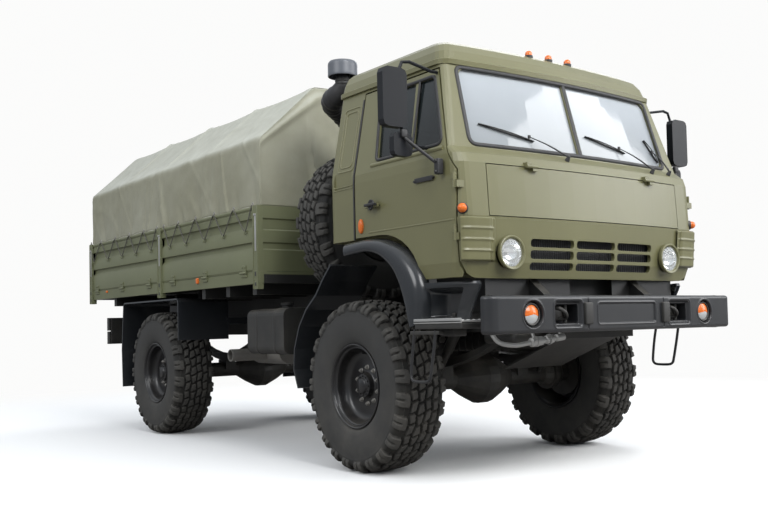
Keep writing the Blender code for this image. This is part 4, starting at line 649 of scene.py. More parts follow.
# Smooth noise from -1 to 1: a seeded lattice blended with a smooth step, cells per unit of u and v.
def valueNoise(seed, u, v, cells):
    rng = np.random.default_rng(seed)
    lattice = rng.uniform(-1, 1, (257, 257))
    a, b = np.asarray(u) * cells[0], np.asarray(v) * cells[1]
    i, j = np.floor(a).astype(int), np.floor(b).astype(int)
    fa, fb = a - i, b - j
    fa, fb = fa * fa * (3 - 2 * fa), fb * fb * (3 - 2 * fb)
    i, j = i % 256, j % 256
    top = lattice[i, j] * (1 - fa) + lattice[i + 1, j] * fa
    low = lattice[i, j + 1] * (1 - fa) + lattice[i + 1, j + 1] * fa
    return top * (1 - fb) + low * fb


# Carried-over CAD nodes get their finishes

nodeFinishes = {
    "olivePaint": (
        "cab_roof", "grille_panel", "hood_panel", "door_R", "door_L", "spare_carrier",
    ),
    "cabPaintShadedLow": ("cab_shell",),
    "platformPaint": ("bed_platform",),
    "bedPaint": (
        "headboard", "tailgate", "sideboard_R_front", "sideboard_R_rear", "sideboard_L_front",
        "sideboard_L_rear",
    ),
    "darkPaint": ("front_bumper", "snorkel"),
    "mirrorShell": ("mirrors_R", "mirrors_L"),
    "fenderPaint": (
        "fender_R", "fender_L", "mudguard_front_R", "mudguard_front_L", "mudguard_rear_R", "mudguard_rear_L",
    ),
    "chassisPaint": (
        "skid_plate", "frame", "front_axle", "rear_axle", "knuckle_R", "knuckle_L", "track_rod", "engine",
        "driveline", "fuel_tank", "battery_box", "tail_lamp_R", "tail_lamp_L", "spare_rim",
    ),
    "bareSteel": ("exhaust",),
    "screenGlass": ("windscreen",),
    "windowGlass": ("rear_glass", "door_glass_R", "door_glass_L"),
    "seatCloth": ("seat_driver", "seat_passenger", "dashboard", "steering_wheel"),
}


def paintNodes(table):
    for paint, names in table.items():
        for name in names:
            node = nodes[name]
            node.data.materials.clear()
            node.data.materials.append(paints[paint])


paintNodes(nodeFinishes)
print("nodes painted")


# Canvas tilt

# y of the points where the rope pulls the hem down, along the front and the rear side board
laceY = ((1.385, 1.735, 2.120, 2.515, 2.910, 3.265), (3.440, 3.790, 4.195, 4.620, 5.070, 5.410))

tiltSettings = {
    "frontY": 1.30, "rearY": 5.455,
    "sideX": 1.232, "eaveZ": 2.640, "shoulderX": 0.70, "topZ": 3.150, "hemZ": 2.062,
    "bows": (1.34, 2.34, 3.36, 4.38, 5.41),
    "laces": laceY[0] + laceY[1],
    "seams": (2.36, 3.36, 4.37),
    "sag": 0.014, "billow": 0.012,
    # depth of the long folds, the second folds between them and the pull at each lace
    "foldDepths": (0.019, 0.014, 0.015),
    "most": 0.020,  # the furthest that the cloth stands out from its section
    "foot": 2.075, "rearFoot": 2.085,  # z where the front and the rear wall end
    "around": 140, "along": 352, "cloth": 0.003,
}


# The tilt's section at t from 0, the right hem, to 1, the left hem, before any sag, with soft corners.
def tiltSection(s, t):
    sideX, eaveZ, shoulderX, topZ = -s["sideX"], s["eaveZ"], -s["shoulderX"], s["topZ"]
    corners = np.array(
        [
            (sideX + 0.006, s["hemZ"]), (sideX, 2.35), (sideX + 0.001, eaveZ - 0.035),
            (sideX + 0.004, eaveZ - 0.012), (sideX + 0.016, eaveZ + 0.014), (sideX + 0.034, eaveZ + 0.032),
            (-0.98, 2.875), (shoulderX - 0.045, topZ - 0.050), (shoulderX - 0.012, topZ - 0.022),
            (shoulderX + 0.03, topZ - 0.004), (-0.35, topZ + 0.006), (0, topZ + 0.008),
        ]
    )
    whole = np.vstack([corners, (corners[:-1] * (-1, 1))[::-1]])
    path = smoothPath(np.column_stack([whole, np.zeros(len(whole))]), 600)[:, :2]
    return np.stack([np.interp(t, np.linspace(0, 1, 600), path[:, k]) for k in range(2)], axis=-1)


# Along y by u and round the section by t: the section, pulled in between bows by a parabola, with long folds
# that hang from the eaves, a pull at each lace, and fine creases from seeded noise.
def makeTiltCover(s):
    t = np.linspace(0, 1, s["around"])
    y = np.linspace(s["frontY"], s["rearY"], s["along"])
    section = tiltSection(s, t)
    run = np.gradient(section, axis=0)
    normal = unit(np.column_stack([-run[:, 1], run[:, 0]]))
    middle = np.array([0.0, 2.4])
    normal *= np.where((normal * (section - middle)).sum(1) < 0, -1.0, 1.0)[:, None]
    bows = np.array(s["bows"])
    gap = np.interp(y, bows, np.arange(len(bows)))
    between = 1 - (2 * (gap - np.floor(gap)) - 1) ** 2
    between = np.where((y <= bows[0]) | (y >= bows[-1]), 0, between)
    slope = smoothStep(2.62, 2.80, section[:, 1])
    side = 1 - slope
    sag = -s["sag"] * between[:, None] * slope[None, :]
    u, v = y[:, None], t[None, :]
    hang = np.clip((s["eaveZ"] - section[:, 1]) / (s["eaveZ"] - s["hemZ"]), 0, 1)[None, :]
    # long leaning folds: thin ridges where a smooth noise crosses zero, deeper towards the hem
    lean = u + 0.10 * hang
    ridge = np.clip(0.30 - np.abs(valueNoise(8, lean, v * 0 + 2.0, (4.2, 1))), 0, 1) / 0.30
    second = np.clip(0.22 - np.abs(valueNoise(15, lean - 0.25 * hang, v * 0 + 4.0, (6.3, 1))), 0, 1) / 0.22
    patch = smoothStep(-0.25, 0.35, valueNoise(19, u, v, (1.9, 3)))
    longDepth, secondDepth, laceDepth = s["foldDepths"]
    folds = (longDepth * ridge + secondDepth * second * patch) * np.sqrt(hang)
    for lace in s["laces"]:
        wide = 0.030 + 0.17 * (1 - hang)
        folds = folds - laceDepth * np.exp(-(((u - lace) / wide) ** 2)) * smoothStep(0.25, 1.0, hang)
    folds = folds * side[None, :]
    drape = valueNoise(12, u, v, (1.6, 9)) * s["billow"] * side[None, :] * np.sqrt(between + 0.1)[:, None]
    creases = valueNoise(21, u + v * 6, v, (6, 26)) * (0.0022 * side + 0.0006)[None, :]
    pull = np.clip(0.20 - np.abs(valueNoise(33, u - v * 3, v, (3.0, 6))), 0, 1) / 0.20
    creases = creases + pull * (0.006 * side + 0.0035 * slope)[None, :]
    bowLift = sum(np.exp(-(((u - bow) / 0.022) ** 2)) for bow in s["bows"][1:-1]) * 0.007 * slope[None, :]
    seams = sum(np.exp(-(((u - seam) / 0.014) ** 2)) for seam in s["seams"]) * 0.0035
    seams = seams - sum(np.exp(-(((u - seam - 0.026) / 0.009) ** 2)) for seam in s["seams"]) * 0.002
    lift = sag + folds + drape + creases + bowLift + seams - 0.006
    lift = np.minimum(lift, s["most"])
    ends = np.exp(-((y - s["frontY"]) / 0.05) ** 2) + np.exp(-((y - s["rearY"]) / 0.05) ** 2)
    lift = lift * (1 - 0.8 * ends[:, None]) - 0.012 * ends[:, None]
    hemLine = s["hemZ"] + 0.010 * valueNoise(41, y, y * 0 + 2, (3.1, 1))
    for lace in s["laces"]:
        hemLine = hemLine + 0.016 * (1 - np.exp(-(((y - lace) / 0.10) ** 2))) / len(s["laces"])
        hemLine = hemLine - 0.014 * np.exp(-(((y - lace) / 0.07) ** 2))
    x = section[None, :, 0] + normal[None, :, 0] * lift
    z = section[None, :, 1] + normal[None, :, 1] * lift
    z = z + (hemLine[:, None] - s["hemZ"] - 0.010) * hang**2
    points = np.stack([x, np.broadcast_to(y[:, None] + rearward, x.shape), z], axis=-1)
    reach = runLength(section)
    uv = np.stack(np.broadcast_arrays(reach[None, :], y[:, None]), axis=-1)
    mesh = gridMesh("tiltCover", points, uv=uv)
    cover = showPiece("tiltCover", mesh, "canvasCloth", "chassis")
    thicken(cover, "clothThickness", s["cloth"])
    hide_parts("canopy")
    return cover, points, reach[-1]


# An end wall: by w from the cover's edge curve straight down to its foot, with hanging folds.
def makeTiltEnd(name, s, rim, y, outward, lowZ, seed):
    w = np.linspace(0, 1, 60)
    edge = rim[:, [0, 2]]
    keep = edge[:, 1] > lowZ
    edge = edge[keep]
    foot = np.column_stack([edge[:, 0], np.full(len(edge), lowZ)])
    across = edge[None, :, :] + (foot - edge)[None, :, :] * w[:, None, None]
    x, z = across[..., 0], across[..., 1]
    drop = (s["topZ"] - z) / (s["topZ"] - lowZ)
    hung = valueNoise(seed, x + 3 + 0.25 * z, z, (2.6, 0.9))
    swing = np.clip(0.35 - np.abs(hung), 0, 1) * 0.13 * (0.25 + drop)
    swing = swing + valueNoise(seed + 1, x + 3, z, (3.0, 2.0)) * 0.014
    # a fold pulled from the eave's corner down to the middle
    for corner in (-1, 1):
        run = (x * corner - 0.70) * 0.80 + (s["eaveZ"] - z) * 0.60
        off = (x * corner - 1.16) * 0.60 + (s["eaveZ"] + 0.02 - z) * -0.80
        swing = swing + 0.022 * np.exp(-((off / 0.035) ** 2)) * smoothStep(-0.9, -0.1, -np.abs(run))
    fade = smoothStep(0, 0.10, w)[:, None]
    depth = y + outward * (swing - 0.010) * fade
    points = np.stack([x, depth + rearward, z], axis=-1)
    mesh = gridMesh(name, points, uv=np.stack([x, z], axis=-1))
    tidyMesh(mesh)
    piece = showPiece(name, mesh, "canvasCloth", "chassis")
    thicken(piece, "clothThickness", s["cloth"])
    return piece


tiltCover, tiltPoints, tiltGirth = makeTiltCover(tiltSettings)
frontY, rearY = tiltSettings["frontY"] + 0.004, tiltSettings["rearY"] - 0.004
frontWall = makeTiltEnd("tiltFrontWall", tiltSettings, tiltPoints[0], frontY, -1, tiltSettings["foot"], 51)
rearWall = makeTiltEnd("tiltRearWall", tiltSettings, tiltPoints[-1], rearY, 1, tiltSettings["rearFoot"], 61)
print("tilt made")


# Trim that sits on the solids: rays find the surface it lies on


def surfaceOf(*names):
    corners, faces, start = [], [], 0
    for name in names:
        mesh = nodes[name].data
        corners += [tuple(v.co) for v in mesh.vertices]
        faces += [tuple(i + start for i in p.vertices) for p in mesh.polygons]
        start = len(corners)
    return BVHTree.FromPolygons(corners, faces)


# Each start, shot along direction, lands on the surface; the point is then raised by lift along its normal.
def landOn(surface, starts, direction, lift=0.0):
    points, normals = [], []
    for start in np.asarray(starts, dtype=float):
        hit, normal, _, _ = surface.ray_cast(Vector(start), Vector(direction).normalized())
        if hit is None:
            continue
        if normal.dot(Vector(direction)) > 0:
            normal = -normal
        points.append(np.array(hit) + np.array(normal) * lift)
        normals.append(np.array(normal))
    return np.array(points), np.array(normals)


# Values or points averaged with their neighbours, several times over.
def softened(values, passes=2, closed=False):
    values = np.asarray(values, dtype=float)
    for _ in range(passes):
        before, after = np.roll(values, 1, axis=0), np.roll(values, -1, axis=0)
        if not closed:
            before[0], after[-1] = values[0], values[-1]
        values = (before + 2 * values + after) / 4
    return values


# A closed outline carried along a path that lies on a surface: across is measured along the surface, out
# along its normal. Closed paths join up; open ones end in caps.
def sweepOnSurface(name, path, normals, outline, closed=False):
    path, normals = np.asarray(path, dtype=float), np.asarray(normals, dtype=float)
    tangent = (np.roll(path, -1, 0) - np.roll(path, 1, 0)) if closed else np.gradient(path, axis=0)
    across = unit(np.cross(unit(tangent), normals))
    outline = np.asarray(outline, dtype=float)
    sideways, outwards = outline[None, :, 0, None], outline[None, :, 1, None]
    points = path[:, None, :] + across[:, None, :] * sideways + normals[:, None, :] * outwards
    if not closed:
        points = withEnds(points)
    return tidyMesh(gridMesh(name, points, closeU=closed, closeV=True))


# A low rounded bead, wide across and tall out of the surface: half an ellipse over a flat foot.
def bead(width, height, sink=0.004, count=7):
    angle = np.linspace(0, np.pi, count)
    top = np.column_stack([np.cos(angle) * width / 2, np.sin(angle) * height])
    return np.vstack([top, [(-width / 2, -sink), (width / 2, -sink)]])


# A loop through corner points of a flat shape, each corner turned by an arc of its own radius.
def roundedLoop(corners, radius, arcSteps=6, step=0.03):
    corners = np.asarray(corners, dtype=float)
    count = len(corners)
    radius = np.broadcast_to(radius, (count,))
    loop = []
    for i in range(count):
        before, here, after = corners[i - 1], corners[i], corners[(i + 1) % count]
        a = (before - here) / np.linalg.norm(before - here)
        b = (after - here) / np.linalg.norm(after - here)
        t = np.linspace(0, 1, arcSteps)[:, None]
        reach = radius[i] / np.tan(np.arccos(np.clip(a.dot(b), -1, 1)) / 2)
        p, q = here + a * reach, here + b * reach
        loop.append((1 - t) ** 2 * p + 2 * t * (1 - t) * here + t**2 * q)
    path = np.vstack(loop)
    closedPath = np.vstack([path, path[:1]])
    run = runLength(closedPath)
    samples = np.sort(np.unique(np.concatenate([run[:-1], np.arange(0, run[-1], step)])))
    return np.column_stack([np.interp(samples, run, closedPath[:, k]) for k in range(closedPath.shape[1])])


# A box with rounded edges: sphere directions d from a grid that doubles its rows and columns where d changes
# sign, each point = sign(d) x (half - radius) + radius x d, and a middle point closes the top and the foot.
def softBox(name, centre, half, radius, k=3, right=(1, 0, 0), forward=(0, 1, 0)):
    quarter = np.linspace(0, np.pi / 2, k + 1)
    turn = np.concatenate([quarter + q * np.pi / 2 for q in range(4)])
    signX = np.repeat([1, -1, -1, 1], k + 1)
    signY = np.repeat([1, 1, -1, -1], k + 1)
    rise = np.concatenate([quarter - np.pi / 2, quarter])
    signZ = np.repeat([-1, 1], k + 1)
    inner = np.asarray(half, dtype=float) - radius
    x = signX[None, :] * inner[0] + radius * np.cos(turn)[None, :] * np.cos(rise)[:, None]
    y = signY[None, :] * inner[1] + radius * np.sin(turn)[None, :] * np.cos(rise)[:, None]
    z = np.broadcast_to(signZ[:, None] * inner[2] + radius * np.sin(rise)[:, None], x.shape)
    points = np.stack([x, y, z], axis=-1)
    foot, top = np.zeros((1, points.shape[1], 3)), np.zeros((1, points.shape[1], 3))
    foot[..., 2], top[..., 2] = -half[2], half[2]
    points = np.concatenate([foot, points, top])
    right, forward = np.asarray(right, dtype=float), np.asarray(forward, dtype=float)
    right /= np.linalg.norm(right)
    forward -= right * forward.dot(right)
    forward /= np.linalg.norm(forward)
    turned = points @ np.array([right, forward, np.cross(right, forward)]) + np.asarray(centre, dtype=float)
    return tidyMesh(gridMesh(name, turned, closeV=True))


# A turned piece: each (radius, height) of the profile carried round the axis through centre.
def turned(name, profile, centre, axis, sides=28):
    profile = np.asarray(profile, dtype=float)
    axis = np.asarray(axis, dtype=float) / np.linalg.norm(axis)
    helper = np.array([0.0, 0.0, 1.0]) if abs(axis[2]) < 0.9 else np.array([1.0, 0.0, 0.0])
    side = np.cross(axis, helper)
    side /= np.linalg.norm(side)
    up = np.cross(axis, side)
    angle = np.linspace(0, 2 * np.pi, sides, endpoint=False)
    spoke = side * np.cos(angle)[:, None] + up * np.sin(angle)[:, None]
    radius, height = profile[:, None, None, 0], profile[:, 1, None, None]
    points = np.asarray(centre, dtype=float) + spoke[None] * radius + axis * height
    return tidyMesh(gridMesh(name, points, closeV=True))


# Small turned pieces: how many sides, and (radius, height) from the surface that each stands on.
fittings = {
    "studTip": (10, ((0, 0.068), (0.0085, 0.068), (0.0085, 0.075), (0.006, 0.078), (0, 0.078))),
    "capBolt": (6, ((0, 0.098), (0.0065, 0.098), (0.0065, 0.106), (0.005, 0.108), (0, 0.108))),
    "valve": (8, ((0, 0.04), (0.006, 0.04), (0.006, 0.10), (0.004, 0.105), (0, 0.105))),
    "stayBolt": (12, ((0, 0.012), (0.008, 0.011), (0.010, 0.006), (0.010, -0.006), (0, -0.006))),
    "catch": (12, ((0, 0.012), (0.006, 0.011), (0.009, 0.006), (0.010, -0.01), (0, -0.01))),
    "handleCup": (
        24, ((0, 0.0012), (0.022, 0.0015), (0.030, 0.0045), (0.034, 0.003), (0.036, -0.004), (0, -0.004)),
    ),
    "handleLock": (14, ((0, 0.010), (0.009, 0.009), (0.011, 0.004), (0.012, -0.004), (0, -0.004))),
    "standoff": (10, ((0, 0.008), (0.008, 0.008), (0.009, 0.004), (0.008, -0.020), (0, -0.020))),
    "lampBase": (
        28, ((0, -0.02), (0.036, -0.02), (0.036, 0.006), (0.033, 0.011), (0.030, 0.012), (0, 0.012)),
    ),
    "lampLens": (
        28,
        (
            (0, 0.010), (0.0295, 0.010), (0.0295, 0.020), (0.0275, 0.022), (0.0285, 0.026), (0.0265, 0.032),
            (0.0225, 0.040), (0.015, 0.046), (0.007, 0.049), (0, 0.050),
        ),
    ),
    "headlampBulb": (
        18,
        (
            (0, -0.050), (0.008, -0.052), (0.010, -0.060), (0.010, -0.080), (0.016, -0.082), (0.016, -0.095),
            (0, -0.095),
        ),
    ),
    "wiperHub": (
        16,
        (
            (0, 0.040), (0.010, 0.039), (0.013, 0.033), (0.013, 0.020), (0.016, 0.016), (0.017, -0.004),
            (0, -0.004),
        ),
    ),
    "roofLampBase": (24, ((0, -0.02), (0.030, -0.02), (0.031, 0.006), (0.027, 0.010), (0, 0.010))),
    "roofLampLens": (
        24,
        (
            (0, 0.008), (0.026, 0.009), (0.026, 0.024), (0.023, 0.034), (0.016, 0.041), (0.007, 0.044),
            (0, 0.045),
        ),
    ),
    "bolt": (8, ((0, 0.008), (0.0055, 0.0075), (0.007, 0.004), (0.007, -0.004), (0, -0.004))),
    "dot": (8, ((0, 0.0042), (0.006, 0.0032), (0.008, 0.0), (0.008, -0.002), (0, -0.002))),
    "hingeBolt": (6, ((0, 0.007), (0.006, 0.0065), (0.0075, 0.003), (0.0075, -0.004), (0, -0.004))),
    "rivet": (8, ((0, 0.005), (0.006, 0.0035), (0.0085, 0.0), (0.0085, -0.003), (0, -0.003))),
    "latchKnob": (
        12, ((0, 0.016), (0.008, 0.015), (0.010, 0.010), (0.006, 0.006), (0.006, -0.002), (0, -0.002)),
    ),
    "fillerCap": (
        28,
        (
            (0, 0.055), (0.050, 0.054), (0.056, 0.048), (0.056, 0.030), (0.045, 0.026), (0.045, -0.01),
            (0, -0.01),
        ),
    ),
}


def fitting(kind, centre, axis):
    around, profile = fittings[kind]
    return turned(kind, profile, centre, axis, around)


# One mesh of several, which are used up.
def joined(name, meshes):
    bm = bmesh.new()
    for mesh in meshes:
        bm.from_mesh(mesh)
        bpy.data.meshes.remove(mesh)
    mesh = bpy.data.meshes.new(name)
    bm.to_mesh(mesh)
    bm.free()
    mesh.shade_smooth()
    return mesh


# A place measured from the front axle, in the frame used here.
def at(x, y, z):
    return (x, y + rearward, z)


sides = {"R": -1, "L": 1}
doorBody = {"R": "door_right", "L": "door_left"}
cabFront = surfaceOf("cab_shell", "grille_panel", "hood_panel", "door_R", "door_L")
doorSkin = {side: surfaceOf("door_" + side) for side in sides}


# Wheels: a lugged carcass and a dished rim

tyreSettings = {
    "radius": 0.62, "width": 0.40, "bead": 0.301,
    "flattened": 0.002,  # how far the tyre sinks under the truck's weight
    "lugs": 23, "lugDepth": 0.026,
    "samplesPerLug": 27, "acrossSamples": 128,
    "rows": (0.0, 0.30, 0.60),  # zigzag grooves along the tread, as shares of half the width
    "lean": (0.55, 0.18),  # how far a row of blocks and a shoulder bar lean round the tyre, in pitches
    "blockShare": 0.385, "barShare": 0.290,  # half a block's and half a shoulder bar's share of its pitch
    "sideShare": 0.715,  # where the shoulder bars end on the sidewall, as a share of the section's height
    # raised rings on the sidewall: share of the section's height, how far they stand out, width as a share
    "rings": ((0.695, 0.004, 0.010), (0.655, 0.0025, 0.007), (0.62, 0.002, 0.006), (0.085, 0.004, 0.030)),
}


# Rows go round the wheel by the angle, columns round the section from bead to bead, and the section is a
# soft rectangle. Points sink by the lug depth wherever the mask is 0. Two rows of blocks each side of the
# middle come twice a pitch, and notched shoulder bars once a pitch, half a pitch apart on the two sides. The
# mask and the share of the section's height are kept in the map, for the dirt.
def tyrePoints(s, centre, axis):
    half = s["width"] / 2
    spine = np.array(
        [
            (-0.80, 0.000), (-0.865, 0.05), (-0.94, 0.15), (-0.985, 0.29), (-1.0, 0.44), (-0.992, 0.58),
            (-0.965, 0.71), (-0.930, 0.815), (-0.885, 0.905), (-0.82, 0.955), (-0.60, 0.980), (-0.30, 0.994),
            (0.0, 1.0),
        ]
    )
    spine = np.vstack([spine, (spine[:-1] * (-1, 1))[::-1]])
    depth = s["radius"] - s["bead"]
    dense = smoothPath(np.column_stack([spine[:, 0] * half, spine[:, 1] * depth, np.zeros(len(spine))]), 1200)
    weight = np.where(dense[:, 1] > 0.68 * depth, 1.0, 0.30)
    for row in s["rows"]:
        onTread = dense[:, 1] > 0.9 * depth
        weight = weight + 1.6 * np.exp(-(((np.abs(dense[:, 0]) / half - row) / 0.05) ** 2)) * onTread
    run = np.concatenate([[0], np.cumsum(np.linalg.norm(np.diff(dense, axis=0), axis=1) * weight[1:])])
    want = np.linspace(0, run[-1], s["acrossSamples"])
    along, rise = (np.interp(want, run, dense[:, k]) for k in range(2))
    share = rise / depth
    angle = np.linspace(0, 2 * np.pi, s["lugs"] * s["samplesPerLug"], endpoint=False)
    pitch = angle[:, None] / (2 * np.pi) * s["lugs"]
    across = along[None, :] / half
    reach = np.abs(across)
    sideStep = np.where(across < 0, 0.5, 0.0)
    middle, low, high = s["rows"]
    wander = 0.035 * (np.abs((pitch * 2) % 2 - 1) * 2 - 1)
    row = np.where(reach + wander * (reach > 0.15) < low, 0.0, 0.5)
    blockPlace = (2 * (pitch + s["lean"][0] * across) + row) % 1.0
    block = 1 - smoothStep(s["blockShare"] - 0.03, s["blockShare"] + 0.03, np.abs(blockPlace - 0.5))
    barPlace = (pitch + sideStep + s["lean"][1] * (reach - high)) % 1.0
    bar = 1 - smoothStep(s["barShare"] - 0.025, s["barShare"] + 0.025, np.abs(barPlace - 0.5))
    notch = 1 - 0.55 * (1 - smoothStep(0.035, 0.065, np.abs(barPlace - 0.5))) * smoothStep(0.80, 0.90, reach)
    onShoulder = smoothStep(high - 0.004, high + 0.004, reach + wander * 0.6)
    mask = block * (1 - onShoulder) + bar * notch * onShoulder
    for groove, width in ((middle, 0.034), (low, 0.034), (high, 0.038)):
        line = np.abs(np.where(groove == 0, across, reach) - groove + wander * (1 if groove < high else 0.6))
        mask = mask * smoothStep(width, width + 0.022, line)
    mask = mask * smoothStep(s["sideShare"], s["sideShare"] + 0.035, share)[None, :]
    ring = 0.0
    for where, tall, wide in s["rings"]:
        ring = ring + tall * np.exp(-(((share - where) / wide) ** 2))
    slope = np.gradient(np.column_stack([along, rise]), axis=0)
    normal = unit(np.column_stack([-slope[:, 1], slope[:, 0]]))
    inward = (normal * np.column_stack([along, rise - depth * 0.45])).sum(1) < 0
    normal[inward] *= -1
    onSide = smoothStep(0.97, 0.86, share)
    sink = (mask - 1) * s["lugDepth"] * smoothStep(0.80, 0.93, share)[None, :]
    lift = sink + mask * 0.017 * onSide[None, :] * smoothStep(0.66, 0.80, share)[None, :] + ring
    a = along[None, :] + normal[None, :, 0] * lift
    a = np.clip(a, -half * 1.03, half * 1.03)
    radius = np.minimum(s["bead"] + rise[None, :] + normal[None, :, 1] * lift, s["radius"])
    c, n = np.cos(angle)[:, None], np.sin(angle)[:, None]
    mapped = np.stack(np.broadcast_arrays(mask, share[None, :]), axis=-1)
    if axis == "x":
        return np.stack([a + centre[0], radius * c + centre[1], radius * n + centre[2]], axis=-1), mapped
    return np.stack([radius * c + centre[0], a + centre[1], radius * n + centre[2]], axis=-1), mapped


def makeTyre(name, node, body, s, axis="x"):
    low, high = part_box(node)
    centre = (low + high) / 2
    if axis == "x":
        centre.z = s["radius"] - s["flattened"]
    points, mapped = tyrePoints(s, centre, axis)
    # the section's first column comes again last, so that the carcass is closed inside
    points, mapped = (np.concatenate([v, v[:, [0]]], axis=1) for v in (points, mapped))
    mesh = tidyMesh(gridMesh(name, points, closeU=True, uv=mapped))
    piece = showPiece(name, mesh, "tyreRubber", body)
    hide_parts(node)


rimSettings = {
    # (out along the axle from the tyre's middle, radius), from the inner disc by the flanges to the hub cap
    "profile": (
        (0.040, 0.0), (0.040, 0.245), (-0.02, 0.262), (-0.160, 0.270), (-0.172, 0.280), (-0.176, 0.300),
        (-0.168, 0.304), (-0.150, 0.300), (0.150, 0.300), (0.168, 0.305), (0.175, 0.3035), (0.178, 0.298),
        (0.175, 0.292), (0.168, 0.2885), (0.160, 0.2875), (0.155, 0.283), (0.1565, 0.277), (0.153, 0.271),
        (0.142, 0.267),
        (0.120, 0.264), (0.088, 0.258), (0.068, 0.246), (0.0585, 0.228), (0.0555, 0.205), (0.0555, 0.100),
        (0.060, 0.0925), (0.067, 0.089), (0.092, 0.086), (0.099, 0.0825), (0.1005, 0.076), (0.1005, 0.060),
        (0.1035, 0.0565), (0.114, 0.054), (0.1185, 0.048), (0.1195, 0.0),
    ),
    "sides": 72,
    "nuts": 10, "nutCircle": 0.131, "nutRadius": 0.0165,
    "capBolts": 12, "capBoltCircle": 0.070, "valveCircle": 0.235,
}


def makeRim(name, node, body, s, outward):
    tyreLow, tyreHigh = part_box(node.replace("rim", "tyre"))
    centre = np.array((tyreLow + tyreHigh) / 2)
    axis = np.array(outward, dtype=float)
    if abs(axis[0]) > 0:
        centre[2] = tyreSettings["radius"] - tyreSettings["flattened"]
    meshes = [turned("rim", [(r, a) for a, r in s["profile"]], centre, axis, s["sides"])]
    side = np.cross(axis, (0, 0, 1))
    up = np.array([0, 0, 1.0])
    nuts = []
    radius = s["nutRadius"]
    nut = (
        (0, 0.05), (radius * 1.2, 0.050), (radius * 1.2, 0.058), (radius, 0.060), (radius, 0.066),
        (radius * 0.8, 0.070), (0, 0.070),
    )

    def spotOn(circle, angle):
        return centre + (side * np.cos(angle) + up * np.sin(angle)) * circle

    for i in range(s["nuts"]):
        spot = spotOn(s["nutCircle"], 2 * np.pi * (i + 0.5) / s["nuts"])
        nuts.append(turned("nut", nut, spot, axis, 6))
        nuts.append(fitting("studTip", spot, axis))
    for i in range(s["capBolts"]):
        meshes.append(fitting("capBolt", spotOn(s["capBoltCircle"], 2 * np.pi * i / s["capBolts"]), axis))
    meshes.append(fitting("valve", centre + up * s["valveCircle"], axis))
    piece = showPiece(name, joined(name, meshes), "rimPaint", body)
    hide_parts(node)
    showPiece(name.replace("rim", "nuts"), joined("wheelNuts", nuts), "bareSteel", body)


wheelBodies = {
    "FR": "wheel_front_right", "FL": "wheel_front_left", "RR": "wheel_rear_right", "RL": "wheel_rear_left",
}
for label, body in wheelBodies.items():
    makeTyre("treadedTyre_" + label, "tyre_" + label, body, tyreSettings)
    makeRim("dishedRim_" + label, "rim_" + label, body, rimSettings, (-1 if label[1] == "R" else 1, 0, 0))
makeTyre("treadedTyre_spare", "spare_tyre", "chassis", tyreSettings, "y")
print("wheels made")


# Windscreen gasket and divider

screenSettings = {
    "halfLow": 0.993, "halfTop": 0.963, "lowZ": 2.207, "topZ": 2.753, "corner": (0.055, 0.055, 0.05, 0.05),
    "gasket": (0.030, 0.010), "divider": (0.036, 0.008),  # width and height
}


def makeScreenGasket(s):
    halfLow, halfTop, lowZ, topZ = s["halfLow"], s["halfTop"], s["lowZ"], s["topZ"]
    corners = [(-halfLow, lowZ), (halfLow, lowZ), (halfTop, topZ), (-halfTop, topZ)]
    loop = roundedLoop(corners, s["corner"])
    starts = [(x, -2.0 + rearward, z) for x, z in loop]
    path, normals = landOn(cabFront, starts, (0, 1, 0))
    normals = unit(softened(normals, 4, closed=True))
    path = softened(path, 1, closed=True)
    mesh = sweepOnSurface("screenGasket", path, normals, bead(*s["gasket"]), closed=True)
    starts = [(0, -2.0 + rearward, z) for z in np.linspace(lowZ, topZ, 14)]
    path, normals = landOn(cabFront, starts, (0, 1, 0))
    divider = sweepOnSurface("screenDivider", path, normals, bead(*s["divider"]))
    showPiece("screenGasket", joined("screenGasket", [mesh, divider]), "blackTrim", "cab")


makeScreenGasket(screenSettings)


# Door windows, seams, handles and markers

doorSettings = {
    "window": ((-1.030, 2.205), (-0.290, 2.205), (-0.240, 2.695), (-0.858, 2.695)),
    "windowCorner": (0.045, 0.04, 0.04, 0.05), "gasket": (0.024, 0.008),
    "bar": (-0.700, 2.21, 2.69), "barBead": (0.020, 0.007),  # y, from z to z
    "catches": ((-0.73, 2.64), (-0.745, 2.26)),
    "seam": (-1.150, -0.215, 1.704), "seamBead": (0.012, 0.0035),  # from y to y, z
    "ledge": (-1.085, -0.225, 2.176), "ledgeBead": (0.030, 0.011),
    "handle": (-0.300, 1.889), "gripOut": 0.022, "footOut": 0.010, "feet": (-0.050, 0.046),
    "marker": (-0.118, 1.757), "markerHalf": (0.027, 0.052),
    # share of the marker's size and height over the door, from its rim to its middle
    "markerRings": ((1.0, -0.004), (1.0, 0.007), (0.94, 0.012), (0.75, 0.016), (0.4, 0.019), (0.0, 0.020)),
    "plateLow": (-0.768, 1.989), "plateHigh": (-0.959, 1.996), "plateOut": 0.012,
}


quarterSettings = {
    # (y, z) of the pressed frame behind the door's window, drawn twice with an inset between
    "frame": ((-0.008, 2.180), (0.205, 2.180), (0.205, 2.660), (-0.008, 2.660)),
    "corner": 0.035, "inset": 0.030,
    # a double strip below it, (from y, to y, z), and the door's rear seal, (y, from z, to z)
    "strip": (-0.012, 0.235, 2.070), "stripGap": 0.022, "seal": (-0.027, 1.40, 2.70),
}


